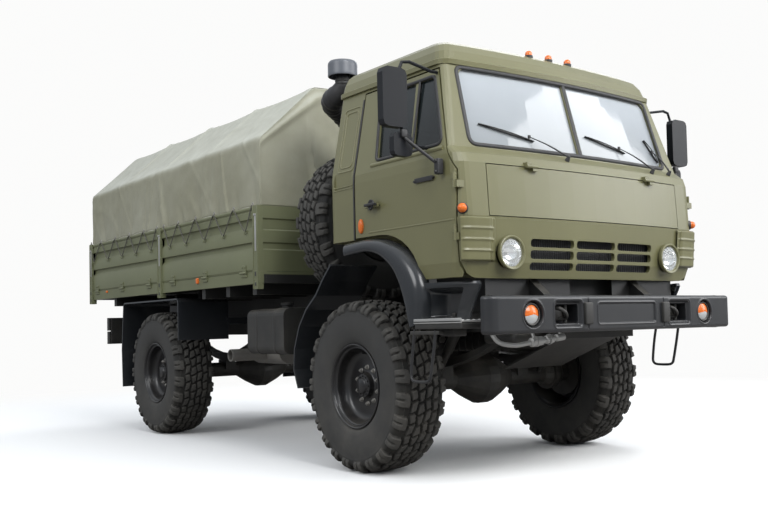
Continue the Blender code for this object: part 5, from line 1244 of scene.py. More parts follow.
def makeQuarterTrim(side, s):
    sign = sides[side]
    shell = surfaceOf("cab_shell")

    def skin(points):
        starts = [(sign * 2.0, y + rearward, z) for y, z in points]
        return landOn(shell, starts, (-sign, 0, 0))

    corners = np.array(s["frame"])
    away = np.sign(corners - corners.mean(axis=0))
    pressings = []
    for inset in (0, s["inset"]):
        path, normals = skin(roundedLoop(corners - away * inset, s["corner"]))
        pressings.append(sweepOnSurface("quarterFrame", path, normals, bead(0.013, 0.0045), closed=True))
    front, back, height = s["strip"]
    for z in (height, height - s["stripGap"]):
        path, normals = skin([(y, z) for y in np.linspace(front, back, 16)])
        pressings.append(sweepOnSurface("quarterStrip", path, normals, bead(0.009, 0.0045)))
    showPiece("quarterPressings_" + side, joined("quarterPressings", pressings), "olivePaint", "cab")
    y, low, high = s["seal"]
    path, normals = skin([(y, z) for z in np.linspace(low, high, 40)])
    seal = sweepOnSurface("doorSeal", path, normals, bead(0.014, 0.005))
    showPiece("doorSeal_" + side, seal, "blackTrim", "cab")


# The thick stay from the lower mirror forwards to its hinged bracket on the door.
staySettings = {
    "path": (
        (-1.388, -0.915, 2.250), (-1.372, -0.930, 2.225), (-1.300, -0.985, 2.150), (-1.228, -1.040, 2.075),
    ),
    "radius": 0.011, "hub": (-1.386, -0.918, 2.262), "clampHalf": (0.022, 0.018, 0.026),
    "bracket": ((-1.214, -1.052, 2.048), (0.022, 0.022, 0.050)), "boltRise": 0.034,
}


def makeMirrorStay(side, s):
    sign = sides[side]
    path = smoothPath([at(-sign * x, y, z) for x, y, z in s["path"]], 24)
    (bx, by, bz), half = s["bracket"]
    meshes = [
        sweepTube("mirrorStay", path, s["radius"], 12),
        softBox("stayBracket", at(-sign * bx, by, bz), half, 0.006),
        softBox("stayClamp", at(-sign * s["hub"][0], *s["hub"][1:]), s["clampHalf"], 0.008),
    ]
    for dz in (-s["boltRise"], s["boltRise"]):
        meshes.append(fitting("stayBolt", at(-sign * (bx - half[0]), by, bz + dz), (sign, 0, 0)))
    showPiece("mirrorStay_" + side, joined("mirrorStay", meshes), "blackTrim", doorBody[side])


for side in sides:
    makeQuarterTrim(side, quarterSettings)
    makeMirrorStay(side, staySettings)


def makeDoorTrim(side, s):
    sign = sides[side]
    body = doorBody[side]
    inward = (-sign, 0, 0)

    def skin(points, lift=0.0):
        return landOn(doorSkin[side], [(sign * 2.0, y + rearward, z) for y, z in points], inward, lift)

    loop = roundedLoop(s["window"], s["windowCorner"])
    path, normals = skin(loop)
    normals = unit(softened(normals, 4, closed=True))
    meshes = [sweepOnSurface("windowGasket", path, normals, bead(*s["gasket"]), closed=True)]
    y, low, high = s["bar"]
    path, normals = skin([(y, z) for z in np.linspace(low, high, 12)])
    if len(path) > 4:
        meshes.append(sweepOnSurface("windowBar", path, normals, bead(*s["barBead"])))
    # the two catches of the quarter light
    for spot in s["catches"]:
        path, normals = skin([spot])
        if len(path):
            meshes.append(fitting("catch", path[0], normals[0]))
    showPiece("windowTrim_" + side, joined("windowTrim", meshes), "blackTrim", body)
    # a pressed seam across the lower door, and the ledge under the window
    front, back, z = s["seam"]
    path, normals = skin([(y, z) for y in np.linspace(front, back, 30)])
    seam = sweepOnSurface("doorSeam", path, normals, bead(*s["seamBead"]))
    front, back, z = s["ledge"]
    path, normals = skin([(y, z) for y in np.linspace(front, back, 30)])
    ledge = sweepOnSurface("doorLedge", softened(path, 2), normals, bead(*s["ledgeBead"]))
    showPiece("doorPressings_" + side, joined("doorPressings", [seam, ledge]), "olivePaint", body)
    # handle: a dished cup, a bar on two feet and a lock
    y, z = s["handle"]
    (cup,), (normal,) = skin([(y + 0.01, z + 0.004)])
    bowl = fitting("handleCup", cup, normal)
    x = sign * (abs(cup[0]) + s["gripOut"])
    grip = softBox("handleGrip", (x, y + rearward - 0.002, z), (0.0065, 0.062, 0.010), 0.006)
    x = sign * (abs(cup[0]) + s["footOut"])
    feetHalf = (0.014, 0.009, 0.008)
    feet = [softBox("handleFoot", (x, y + rearward + dy, z), feetHalf, 0.004) for dy in s["feet"]]
    lock = fitting("handleLock", cup + (0, 0.004, -0.030), normal)
    showPiece("doorHandle_" + side, joined("doorHandle", [bowl, grip, *feet, lock]), "blackTrim", body)
    # orange marker: a domed oval in a rim
    (centre,), (normal,) = skin([s["marker"]])
    angle = np.linspace(0, 2 * np.pi, 32, endpoint=False)
    halfY, halfZ = s["markerHalf"]
    rings = []
    for share, height in s["markerRings"]:
        oval = [(0, halfY * share * np.cos(a), halfZ * share * np.sin(a)) for a in angle]
        rings.append([centre + (normal * height) + spot for spot in oval])
    lens = tidyMesh(gridMesh("markerLens", np.array(rings), closeV=True))
    showPiece("doorMarker_" + side, lens, "orangeLens", body)
    # the bare bracket plate below the mirror arm, on two standoffs
    (a, b), normals = skin([s["plateLow"], s["plateHigh"]], s["plateOut"])
    plate = softBox("armPlate", (a + b) / 2, (0.003, abs(a[1] - b[1]) / 2, 0.016), 0.0025)
    standoffs = [fitting("standoff", spot, normals[0]) for spot in (a, b)]
    showPiece("mirrorArmPlate_" + side, joined("armPlate", [plate, *standoffs]), "blackTrim", body)


for side in sides:
    makeDoorTrim(side, doorSettings)
print("door and screen trim")


# Cab front: deflectors, side lamps, headlamps, wipers and roof lamps

deflectorSettings = {
    "lowZ": 1.440, "topZ": 1.716, "standOff": 0.017, "ribs": (1.506, 1.574, 1.645), "ribHeight": 0.006,
    "pivot": (0.80, -0.90), "first": 38.5, "last": 69.5, "sheet": 0.003,
    "rays": (1.50, 1.66),  # the two heights at which the cab's skin is found
}


# Round the cab's corner by the angle a, upward by z: the cab's own skin there, plus a stand-off, plus a bump
# for each rib that fades out at both ends.
def makeDeflector(side, s):
    sign = sides[side]
    angles = np.radians(np.linspace(s["first"], s["last"], 44))
    heights = np.linspace(s["lowZ"], s["topZ"], 60)
    rows = []
    lowZ, highZ = s["rays"]
    for z in (lowZ, highZ):
        row = []
        for a in angles:
            start = (sign * (s["pivot"][0] + np.cos(a)), s["pivot"][1] + rearward - np.sin(a), z)
            direction = (-sign * np.cos(a), np.sin(a), 0)
            hit, _, _, _ = cabFront.ray_cast(Vector(start), Vector(direction))
            row.append(np.array(hit)[:2])
        rows.append(softened(np.array(row), 2))
    slope = (rows[1] - rows[0]) / (highZ - lowZ)
    plan = rows[0][None] + slope[None] * (heights - lowZ)[:, None, None]
    run = np.gradient(rows[0], axis=0)
    out = unit(np.column_stack([run[:, 1], -run[:, 0]]))
    out *= np.sign(out[0, 0]) * sign
    part = np.linspace(0, 1, len(angles))
    ends = smoothStep(0.03, 0.07, part) * (1 - smoothStep(0.90, 0.95, part))
    ribs = np.zeros(len(heights))
    for z in s["ribs"]:
        ribs += np.exp(-(((heights - z) / 0.007) ** 2))
    lip = smoothStep(0.010, 0.0, heights - s["lowZ"]) + smoothStep(0.010, 0.0, s["topZ"] - heights)
    lift = s["standOff"] + s["ribHeight"] * ribs[:, None] * ends[None, :] - 0.010 * lip[:, None]
    xy = plan + out[None] * lift[..., None]
    points = np.concatenate([xy, np.broadcast_to(heights[:, None, None], xy.shape[:2] + (1,))], axis=-1)
    mesh = tidyMesh(gridMesh("deflector", points))
    piece = showPiece("cornerDeflector_" + side, mesh, "olivePaint", "cab")
    thicken(piece, "sheetThickness", s["sheet"])


for side in sides:
    makeDeflector(side, deflectorSettings)

lampSettings = {
    "sideLamp": (-1.151, -1.201, 1.770), "sideLampAxis": (-0.75, -0.66, 0.03),
    "headlamp": (0.806, -1.25, 1.496), "bezelRadius": 0.112, "glassRadius": 0.092, "socketRadius": 0.018,
    "roofLamps": (-0.20, 0.0, 0.20), "roofLampY": -0.86,
}


def makeSideLamp(side, s):
    sign = sides[side]
    x, y, z = s["sideLamp"]
    ax, ay, az = s["sideLampAxis"]
    centre, axis = at(-sign * x, y, z), (-sign * ax, ay, az)
    showPiece("sideLampBase_" + side, fitting("lampBase", centre, axis), "blackTrim", "cab")
    showPiece("sideLampLens_" + side, fitting("lampLens", centre, axis), "orangeLens", "cab")


for side in sides:
    makeSideLamp(side, lampSettings)


# Reflector: bright metal, a little dulled in patches.
def makeHeadlampFinish():
    mat = bpy.data.materials.new("lampReflector")
    mat.use_nodes = True
    tree = mat.node_tree
    shader = tree.nodes["Principled BSDF"]
    shader.inputs["Metallic"].default_value = 1.0
    dull = ramp(tree, noiseFactor(tree, coordsOf(tree), 60, 3), 0.3, 0.8)
    rough = mathNode(tree, "ADD", mathNode(tree, "MULTIPLY", dull, 0.10), 0.10)
    tree.links.new(rough, shader.inputs["Roughness"])
    tint = mixColour(tree, dull, (0.86, 0.86, 0.85, 1), (0.72, 0.73, 0.74, 1))
    tree.links.new(tint, shader.inputs["Base Color"])
    return mat


paints["lampReflector"] = makeHeadlampFinish()


# A round lens: height = dome x (1 - r squared) + flutes x cos(x), upright flutes that fade out at its rim.
def lensMesh(name, centre, axis, radius, dome, flutes=0.0007, pitch=0.0095, rings=26, around=72):
    axis = np.asarray(axis, dtype=float) / np.linalg.norm(axis)
    side = np.cross(axis, (0, 0, 1))
    side /= np.linalg.norm(side)
    up = np.cross(side, axis)
    r = np.linspace(0, 1, rings) ** 0.8
    a = np.linspace(0, 2 * np.pi, around, endpoint=False)
    x, z = r[:, None] * np.cos(a) * radius, r[:, None] * np.sin(a) * radius
    fluted = flutes * np.cos(x * 2 * np.pi / pitch) * smoothStep(1.0, 0.9, r)[:, None]
    y = dome * (1 - (r[:, None] ** 2)) + fluted
    points = np.asarray(centre) + x[..., None] * side + z[..., None] * up + y[..., None] * axis
    back = np.asarray(centre) + x[::-1][..., None] * side + z[::-1][..., None] * up - 0.003 * axis
    return tidyMesh(gridMesh(name, np.concatenate([points, back]), closeV=True))


def makeHeadlamp(side, s):
    sign = sides[side]
    x, y, z = s["headlamp"]
    centre = np.array(at(sign * x, y, z))
    axis = np.array([0, -1.0, 0.0])
    face = np.array([centre[0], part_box("headlamp_" + side)[0].y, centre[2]])
    br, gr = s["bezelRadius"], s["glassRadius"]
    bezel = turned(
        "headlampBezel",
        [(br - 0.004, -0.030), (br, -0.010), (br - 0.001, -0.003), (br - 0.006, 0.0), (gr + 0.006, -0.002),
         (gr + 0.002, -0.008), (gr + 0.001, -0.012), (gr - 0.003, -0.013), (gr - 0.003, -0.03),
         (br - 0.004, -0.030)],
        face, axis, 56,
    )
    showPiece("headlampBezel_" + side, bezel, "olivePaint", "cab")
    # the bowl: a parabola from the bulb's socket out to the glass, and back behind
    socket = s["socketRadius"]
    bowl = [(socket + (gr - socket) * v, -0.095 + 0.080 * v**2) for v in np.linspace(0, 1, 14)]
    bowl = [(0.0, -0.095)] + bowl + [(gr, -0.018), (gr * 0.6, -0.075), (0.0, -0.105)]
    reflector = turned("headlampBowl", bowl, face, axis, 48)
    showPiece("headlampBowl_" + side, reflector, "lampReflector", "cab")
    showPiece("headlampBulb_" + side, fitting("headlampBulb", face, axis), "bareSteel", "cab")
    lens = lensMesh("headlampLens", face + axis * -0.014, axis, gr - 0.001, 0.012)
    lensPiece = showPiece("headlampLens_" + side, lens, "lampGlass", "cab")
    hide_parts("headlamp_" + side)


for side in sides:
    makeHeadlamp(side, lampSettings)

wiperSettings = {
    # pivot, arm end on the blade, and the blade's two ends, by where they show on the glass: (x, z)
    "wipers": (
        ((-0.204, 2.149), (-0.470, 2.298), (-0.894, 2.358), (-0.411, 2.270)),
        ((0.720, 2.140), (0.455, 2.312), (0.093, 2.371), (0.540, 2.280)),
        ((0.960, 2.150), (0.885, 2.330), (0.821, 2.429), (0.947, 2.247)),
    ),
    "armRadius": 0.005,
    # (across, out) of the blade's rubber
    "rubber": (
        (0.0045, 0.005), (-0.0045, 0.005), (-0.0035, -0.001), (-0.001, -0.008), (0.001, -0.008),
        (0.0035, -0.001),
    ),
    "bladeOut": 0.009, "jointOut": 0.022, "knuckleOut": 0.030,
}


def makeWiper(index, wiper, s):
    pivot, onBlade, tip, heel = wiper
    glass = surfaceOf("windscreen", "cab_shell", "cab_roof")

    def land(x, z, lift):
        path, normals = landOn(glass, [(x, -2.0 + rearward, z)], (0, 1, 0), lift)
        return path[0], normals[0]

    base, up = land(*pivot, 0.0)
    spots = [[a + (b - a) * t for a, b in zip(tip, heel)] for t in np.linspace(0, 1, 14)]
    blade = softened(np.array([land(*spot, s["bladeOut"])[0] for spot in spots]), 2)
    _, glassNormal = land(*onBlade, 0.0)
    rubber = sweepOnSurface("wiperBlade", blade, np.repeat(glassNormal[None], len(blade), 0), s["rubber"])
    t = np.linspace(0, 1, 12)[:, None]
    spine = blade[0] * (1 - t) + blade[-1] * t + glassNormal * (0.006 + 0.012 * np.sin(np.pi * t))
    frameBar = sweepTube("wiperFrame", spine, 0.0035, 6)
    joint = np.array(land(*onBlade, s["jointOut"])[0])
    knuckle = base + up * s["knuckleOut"]
    middle = (knuckle * 0.45 + joint * 0.55) + glassNormal * 0.012
    tapered = np.linspace(s["armRadius"] + 0.002, s["armRadius"] - 0.0015, 16)
    arm = sweepTube("wiperArm", smoothPath([knuckle, middle, joint], 16), tapered, 8)
    hub = fitting("wiperHub", base, up)
    clip = softBox("wiperClip", joint, (0.010, 0.007, 0.012), 0.003)
    showPiece(f"wiper_{index}", joined("wiper", [rubber, frameBar, arm, hub, clip]), "blackTrim", "cab")


for index, wiper in enumerate(wiperSettings["wipers"]):
    makeWiper(index, wiper, wiperSettings)


def makeRoofLamps(s):
    roof = surfaceOf("cab_roof")
    for index, x in enumerate(s["roofLamps"]):
        (centre,), _ = landOn(roof, [at(x, s["roofLampY"], 4.0)], (0, 0, -1))
        showPiece(f"roofLampBase_{index}", fitting("roofLampBase", centre, (0, 0, 1)), "blackTrim", "cab")
        showPiece(f"roofLampLens_{index}", fitting("roofLampLens", centre, (0, 0, 1)), "orangeLens", "cab")


makeRoofLamps(lampSettings)
print("cab lamps and wipers")


# Bumper: lamps, hook boxes, the blank plate's rim and seams

bumperSettings = {
    "middleZ": 1.096, "lampX": 0.87, "lampRadius": 0.058, "holeRadius": 0.084, "lampDepth": 0.030,
    "hookX": 0.565, "panHalf": (0.124, 0.086), "hookHalf": (0.098, 0.060),
    "panDepth": 0.020, "hookDepth": 0.130,
    "plateHalf": (0.29, 0.067), "plateDepth": 0.007, "seamX": 0.385, "seamDepth": 0.007,
    "lowZ": 0.979, "topZ": 1.213, "frontY": -1.530, "rearY": -1.428, "endX": 1.224, "cornerRadius": 0.075,
    "edgeRadius": 0.022, "armX": 0.395, "bow": 0.022, "plate": 0.004, "wall": 0.006,
    "reach": 0.16,  # how far its top and foot reach back
    "corners": {"pan": 0.026, "hook": 0.014, "plate": 0.018},
}


# Signed distance from a rounded rectangle's edge, less than zero inside.
def roundedDistance(x, z, half, corner):
    qx, qz = np.abs(x) - half[0] + corner, np.abs(z) - half[1] + corner
    return np.hypot(np.maximum(qx, 0), np.maximum(qz, 0)) + np.minimum(np.maximum(qx, qz), 0) - corner


# Samples from low to high, crowded by weight near each mark.
def crowded(low, high, count, marks, reach, weight):
    dense = np.linspace(low, high, 6000)
    density = np.ones_like(dense)
    for mark in marks:
        density += weight * np.exp(-(((dense - mark) / reach) ** 2))
    run = np.cumsum(density)
    return np.interp(np.linspace(run[0], run[-1], count), run, dense)


# The bumper: rows along its plan, end to end, and columns round its section. Face points sink by the depths
# of the lamp holes, hook pans, plate recess and seams, each a smooth step of the distance from its edge.
def makeBumperShell(s):
    flat, radius = s["endX"] - s["cornerRadius"], s["cornerRadius"]
    marks = [0.0]
    edges = (
        (s["lampX"], s["holeRadius"]), (s["hookX"], s["panHalf"][0]), (s["hookX"], s["hookHalf"][0]),
        (s["seamX"], 0.0),
    )
    for x, half in edges:
        marks += [sign * (x + side * half) for sign in (-1, 1) for side in (-1, 1)]
    marks += [-s["plateHalf"][0], s["plateHalf"][0]]
    x = crowded(-flat, flat, 430, marks, 0.010, 5)
    turn = np.linspace(0, np.pi / 2, 12)[1:]
    bow = s["bow"] * (x / flat) ** 2
    endBow = bow[-1]
    cornerX = flat + radius * np.sin(turn)
    cornerY = s["frontY"] + endBow + radius * (1 - np.cos(turn))
    returnY = np.linspace(cornerY[-1], s["rearY"], 6)[1:]
    returnX = np.full(len(returnY), s["endX"])
    half = np.column_stack([np.concatenate([cornerX, returnX]), np.concatenate([cornerY, returnY])])
    plan = np.vstack([half[::-1] * (-1, 1), np.column_stack([x, s["frontY"] + bow]), half])
    run = np.gradient(plan, axis=0)
    out = unit(np.column_stack([run[:, 1], -run[:, 0]]))
    z0, z1, r = s["lowZ"], s["topZ"], s["edgeRadius"]
    mz = s["middleZ"]
    rises = (s["holeRadius"], s["panHalf"][1], s["hookHalf"][1], s["plateHalf"][1])
    zMarks = [mz + sign * rise for sign in (-1, 1) for rise in rises]
    faceZ = crowded(z0 + r, z1 - r, 74, zMarks, 0.006, 3)
    edge = np.linspace(0, np.pi / 2, 6)[1:]
    wall, back = s["wall"], -s["reach"]
    outline = np.vstack(
        [
            [(back, z0 + wall), (back, z0)], [(-0.10, z0), (-r, z0)],
            np.column_stack([-r + r * np.sin(edge), z0 + r - r * np.cos(edge)])[:-1],
            np.column_stack([np.zeros(len(faceZ)), faceZ]),
            np.column_stack([-r + r * np.cos(edge), z1 - r + r * np.sin(edge)]),
            [(-0.10, z1), (back, z1), (back, z1 - wall)],
        ]
    )
    points = np.empty((len(plan), len(outline), 3))
    points[..., :2] = plan[:, None, :] + out[:, None, :] * outline[None, :, 0, None]
    points[..., 2] = outline[None, :, 1]
    px, pz = points[..., 0], points[..., 2] - mz
    onFace = (np.abs(plan[:, 0]) <= flat)[:, None] & (np.abs(outline[:, 0]) < 1e-9)[None, :]
    ax = np.abs(px)
    lamp = np.hypot(ax - s["lampX"], pz) - s["holeRadius"]
    corners = s["corners"]
    pan = roundedDistance(ax - s["hookX"], pz, s["panHalf"], corners["pan"])
    hook = roundedDistance(ax - s["hookX"], pz, s["hookHalf"], corners["hook"])
    plate = roundedDistance(px, pz, s["plateHalf"], corners["plate"])

    def ridge(distance, middle, width=0.005):
        return np.exp(-(((distance - middle) / width) ** 2))

    depth = s["lampDepth"] * (1 - smoothStep(-0.006, 0.0, lamp)) - 0.0035 * ridge(lamp, 0.007)
    depth = depth + s["panDepth"] * (1 - smoothStep(-0.022, 0.0, pan)) - 0.003 * ridge(pan, 0.006)
    depth = depth + (s["hookDepth"] - s["panDepth"]) * (1 - smoothStep(-0.004, 0.002, hook))
    depth = depth + s["plateDepth"] * (1 - smoothStep(-0.006, 0.0, plate)) - 0.0035 * ridge(plate, 0.006)
    depth = depth + s["seamDepth"] * ridge(ax, s["seamX"], 0.0035)
    depth = np.where(onFace, depth, 0)
    points[..., :2] -= out[:, None, :] * depth[..., None]
    points[..., 1] += rearward
    shell = tidyMesh(gridMesh("bumperShell", points))
    bm = bmesh.new()
    bm.from_mesh(shell)
    # the outer skin faces away from the truck's middle
    if sum((face.normal.y * face.calc_area()) for face in bm.faces) > 0:
        bmesh.ops.reverse_faces(bm, faces=bm.faces)
    bm.to_mesh(shell)
    bm.free()
    piece = showPiece("bumperShell", shell, "darkPaint", "chassis")
    thicken(piece, "plateThickness", s["plate"], -1)
    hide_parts("front_bumper")
    half = (0.035, 0.15, 0.07)
    arms = [softBox("arm", at(sign * s["armX"], -1.40, s["middleZ"]), half, 0.008) for sign in (-1, 1)]
    showPiece("bumperArms", joined("bumperArms", arms), "chassisPaint", "chassis")


makeBumperShell(bumperSettings)


# Half of a domed lens: angle from first to last, radius share r, height = dome x (1 - r squared), closed
# below.
def halfLens(name, centre, radius, dome, first, last):
    r = np.concatenate([np.linspace(0, 1, 12), np.linspace(1, 0, 12)])
    a = np.linspace(first, last, 28)
    height = np.concatenate([dome * (1 - np.linspace(0, 1, 12) ** 2) + 0.006, np.full(12, -0.010)])
    x, z = r[:, None] * np.cos(a) * radius, r[:, None] * np.sin(a) * radius
    y = np.broadcast_to(-height[:, None], x.shape)
    points = np.stack([x, y, z], axis=-1) + np.asarray(centre, dtype=float)
    return tidyMesh(gridMesh(name, points))


def makeBumperTrim(s):
    bolts, hooks = [], []
    hx, hz = s["panHalf"]
    for label, sign in sides.items():
        x, y = sign * s["hookX"], -1.455 + rearward
        for dx in (-1, 1):
            for dz in (-1, 1):
                spot = at(x + dx * (hx - 0.012), s["frontY"] + 0.017, s["middleZ"] + dz * (hz - 0.012))
                bolts.append(fitting("bolt", spot, (0, -1, 0)))
        pin = [(x + 0.035, y, z) for z in np.linspace(1.040, 1.152, 6)]
        hooks.append(sweepTube("hookPin", pin, 0.015, 12))
        hooks.append(softBox("hookBody", (x - 0.02, y + 0.035, s["middleZ"]), (0.055, 0.026, 0.042), 0.014))
        curve = [
            (x - 0.06, y + 0.02, 1.135), (x - 0.045, y - 0.030, 1.130), (x, y - 0.042, 1.10),
            (x + 0.02, y - 0.02, 1.07), (x - 0.01, y + 0.02, 1.06),
        ]
        hooks.append(sweepTube("hookClaw", smoothPath(curve, 22), 0.013, 10))
        # round lamp in its cup
        bow = s["bow"] * (s["lampX"] / (s["endX"] - s["cornerRadius"])) ** 2
        centre = (sign * s["lampX"], s["frontY"] + bow + 0.024 + rearward, s["middleZ"])
        r = s["lampRadius"]
        cup = turned(
            "lampCup",
            [(r + 0.012, 0.008), (r + 0.012, -0.010), (r + 0.008, -0.014), (r + 0.003, -0.012),
             (r + 0.001, -0.004), (0, 0.002), (0, 0.008)],
            centre, (0, 1, 0), 40,
        )
        showPiece("bumperLampCup_" + label, cup, "blackTrim", "chassis")
        orange = halfLens("lens", centre, r, 0.020, -0.22, np.pi + 0.22)
        showPiece("bumperLampOrange_" + label, orange, "orangeLens", "chassis")
        clear = halfLens("lens", centre, r, 0.0195, np.pi + 0.22, 2 * np.pi - 0.22)
        showPiece("bumperLampClear_" + label, clear, "clearLens", "chassis")
    showPiece("bumperBolts", joined("bumperBolts", bolts), "blackTrim", "chassis")
    showPiece("towHooks", joined("towHooks", hooks), "chassisPaint", "chassis")


makeBumperTrim(bumperSettings)


# Fenders: the rounded flare over the wheel, the moulded well ahead of it, and the step's stirrup

fenderSettings = {
    # (y, z) of the flare's upper edge by the cab and of its lip, from the rear forwards and down to the step
    "outer": (
        (0.036, 1.650), (-0.065, 1.655), (-0.215, 1.660), (-0.359, 1.648), (-0.480, 1.620), (-0.629, 1.555),
        (-0.741, 1.468), (-0.802, 1.395), (-0.838, 1.320), (-0.850, 1.24), (-0.850, 1.15), (-0.846, 1.056),
    ),
    "inner": (
        (0.018, 1.552), (-0.110, 1.562), (-0.250, 1.566), (-0.370, 1.543), (-0.470, 1.497), (-0.560, 1.425),
        (-0.625, 1.335), (-0.668, 1.245), (-0.697, 1.165), (-0.712, 1.110), (-0.724, 1.075), (-0.738, 1.030),
    ),
    # share of the way from the upper edge to the lip, and x there
    "section": (
        (0.0, 1.150), (0.03, 1.182), (0.09, 1.212), (0.20, 1.232), (0.38, 1.244), (0.60, 1.249),
        (0.82, 1.249), (0.93, 1.246), (1.0, 1.238), (1.015, 1.228), (1.0, 1.218), (0.90, 1.212),
        (0.55, 1.205), (0.25, 1.18), (0.02, 1.14),
    ),
    "wellX": 1.195, "taper": 0.165, "wellLow": 1.052, "wellHigh": 1.318, "wellRearY": -0.800, "wall": 0.022,
    "wellFrontY": ((0.0, -1.080), (0.25, -1.100), (0.80, -1.185), (0.93, -1.200), (1.0, -1.190)),
    "pocket": {"a": (0.10, 0.74), "b": (0.10, 0.86), "depth": 0.13},
    "stirrup": (
        (-1.236, -0.795, 1.020), (-1.236, -0.765, 0.88), (-1.236, -0.745, 0.735), (-1.236, -0.752, 0.697),
        (-1.236, -0.785, 0.682), (-1.236, -0.900, 0.682), (-1.236, -0.938, 0.697), (-1.236, -0.952, 0.735),
        (-1.236, -0.985, 0.88), (-1.236, -1.010, 1.010),
    ),
    "stirrupRadius": 0.0105,
    # middle, half size and edge radius of the pieces under the step
    "support": (
        ("stepFrame", (1.122, -1.040, 1.036), (0.124, 0.236, 0.018), 0.006),
        ("stepArm", (0.70, -0.90, 1.090), (0.31, 0.030, 0.030), 0.008),
        ("stepAngle", (1.225, -0.90, 0.995), (0.020, 0.150, 0.012), 0.004),
        ("stepBox", (1.10, -1.02, 0.995), (0.055, 0.070, 0.025), 0.008),
    ),
}


def makeFender(side, s):
    sign = sides[side]
    # flare: u along the arch, v round the section, points between the two edge curves
    outer = smoothPath([(0, y, z) for y, z in s["outer"]], 90)[:, 1:]
    inner = smoothPath([(0, y, z) for y, z in s["inner"]], 90)[:, 1:]
    section = np.array(s["section"])
    share, x = section[:, 0], section[:, 1]
    plane = outer[:, None, :] + (inner - outer)[:, None, :] * share[None, :, None]
    points = np.empty((len(outer), len(section), 3))
    points[..., 0] = sign * x[None, :]
    points[..., 1:] = plane
    points[..., 1] += rearward
    mesh = tidyMesh(gridMesh("fenderFlare", withEnds(points), closeV=True))
    flare = showPiece("fenderFlare_" + side, mesh, "fenderPaint", "chassis")
    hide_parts("fender_" + side)
    # well: b up the panel, a forwards over its face, then round the post and back inside
    b = crowded(0, 1, 54, (s["pocket"]["b"][0], s["pocket"]["b"][1]), 0.05, 2)
    a = crowded(0, 1, 70, (s["pocket"]["a"][0], s["pocket"]["a"][1]), 0.04, 2)
    z = s["wellLow"] + (s["wellHigh"] - s["wellLow"]) * b
    frontShares = np.array(s["wellFrontY"])
    frontY = np.interp(b, frontShares[:, 0], frontShares[:, 1])
    y = s["wellRearY"] + (frontY[:, None] - s["wellRearY"]) * a[None, :]
    a0, a1 = s["pocket"]["a"]
    b0, b1 = s["pocket"]["b"]
    inside = smoothStep(a0 - 0.05, a0 + 0.20, a)[None, :] * (1 - smoothStep(a1 - 0.05, a1 + 0.02, a))[None, :]
    inside = inside * smoothStep(b0 - 0.02, b0 + 0.10, b)[:, None]
    inside = inside * (1 - smoothStep(b1 - 0.14, b1 + 0.02, b))[:, None]
    soft = 0.012 * (1 - np.sqrt(1 - np.clip((a - 0.90) / 0.10, 0, 0.999) ** 2))[None, :]
    x = s["wellX"] - s["taper"] * a[None, :] - s["pocket"]["depth"] * inside - soft
    # back along the inside, one wall in; the upper end keeps a foot under the cab
    x = np.hstack([x, x[:, ::-1] - s["wall"]])
    y = np.hstack([y, y[:, ::-1] + np.linspace(s["wall"], 0, y.shape[1])[None, :] * 0.5])
    z = np.repeat(z[:, None], x.shape[1], 1)
    points = np.stack([sign * x, y + rearward, z], axis=-1)
    mesh = tidyMesh(gridMesh("fenderWell", withEnds(points), closeV=True))
    showPiece("fenderWell_" + side, mesh, "fenderPaint", "chassis")
    # step frame, its arm to the frame and the stirrup below
    loop = smoothPath([at(-sign * x, y, z) for x, y, z in s["stirrup"]], 60)
    stirrup = sweepTube("stirrup", loop, s["stirrupRadius"], 10)
    support = [
        softBox(name, at(sign * x, y, z), half, radius) for name, (x, y, z), half, radius in s["support"]
    ]
    showPiece("stepStirrup_" + side, joined("stepStirrup", [stirrup]), "darkPaint", "chassis")
    showPiece("stepFrame_" + side, joined("stepFrame", support), "chassisPaint", "chassis")


for side in sides:
    makeFender(side, fenderSettings)


# Front step: a galvanised tread with an upturned lip and rows of raised dots, and the brake air line

stepSettings = {
    "low": (-1.252, -1.278, 1.058), "high": (-1.000, -0.800, 1.072),
    "dots": (9, 5), "dotInset": 0.03,  # rows and columns, and how far in they start
}


def makeStep(side, s):
    sign = sides[side]
    low, high = np.array(s["low"]), np.array(s["high"])
    middle, half = (low + high) / 2, (high - low) / 2
    centre = (-sign * middle[0], middle[1] + rearward, middle[2])
    meshes = [softBox("tread", centre, half, 0.004)]
    edge = (-sign * (low[0] + 0.004), middle[1] + rearward, middle[2] + 0.004)
    meshes.append(softBox("treadLip", edge, (0.004, half[1], 0.016), 0.003))
    (rows, columns), inset = s["dots"], s["dotInset"]
    for i in range(rows):
        for j in range(columns):
            x = -sign * (low[0] + inset + j * (high[0] - low[0] - 2 * inset) / (columns - 1))
            y = low[1] + inset + i * (high[1] - low[1] - 2 * inset) / (rows - 1) + rearward
            meshes.append(fitting("dot", (x, y, high[2]), (0, 0, 1)))
    showPiece("stepTread_" + side, joined("stepTread", meshes), "galvanised", "chassis")


for side in sides:
    makeStep(side, stepSettings)

airLineSettings = {
    "line": (
        (-0.99, -1.20, 1.05), (-1.00, -1.27, 0.985), (-0.97, -1.31, 0.925), (-0.86, -1.33, 0.905),
        (-0.74, -1.33, 0.915), (-0.62, -1.33, 0.93),
    ),
    "radius": 0.015,
    "couplingFrom": (-0.72, -1.33, 0.918), "couplingTo": (-0.40, -1.33, 0.95), "couplingRadius": 0.030,
    "bands": (0.05, 0.17), "armInset": 0.04, "armRadius": 0.012,
}


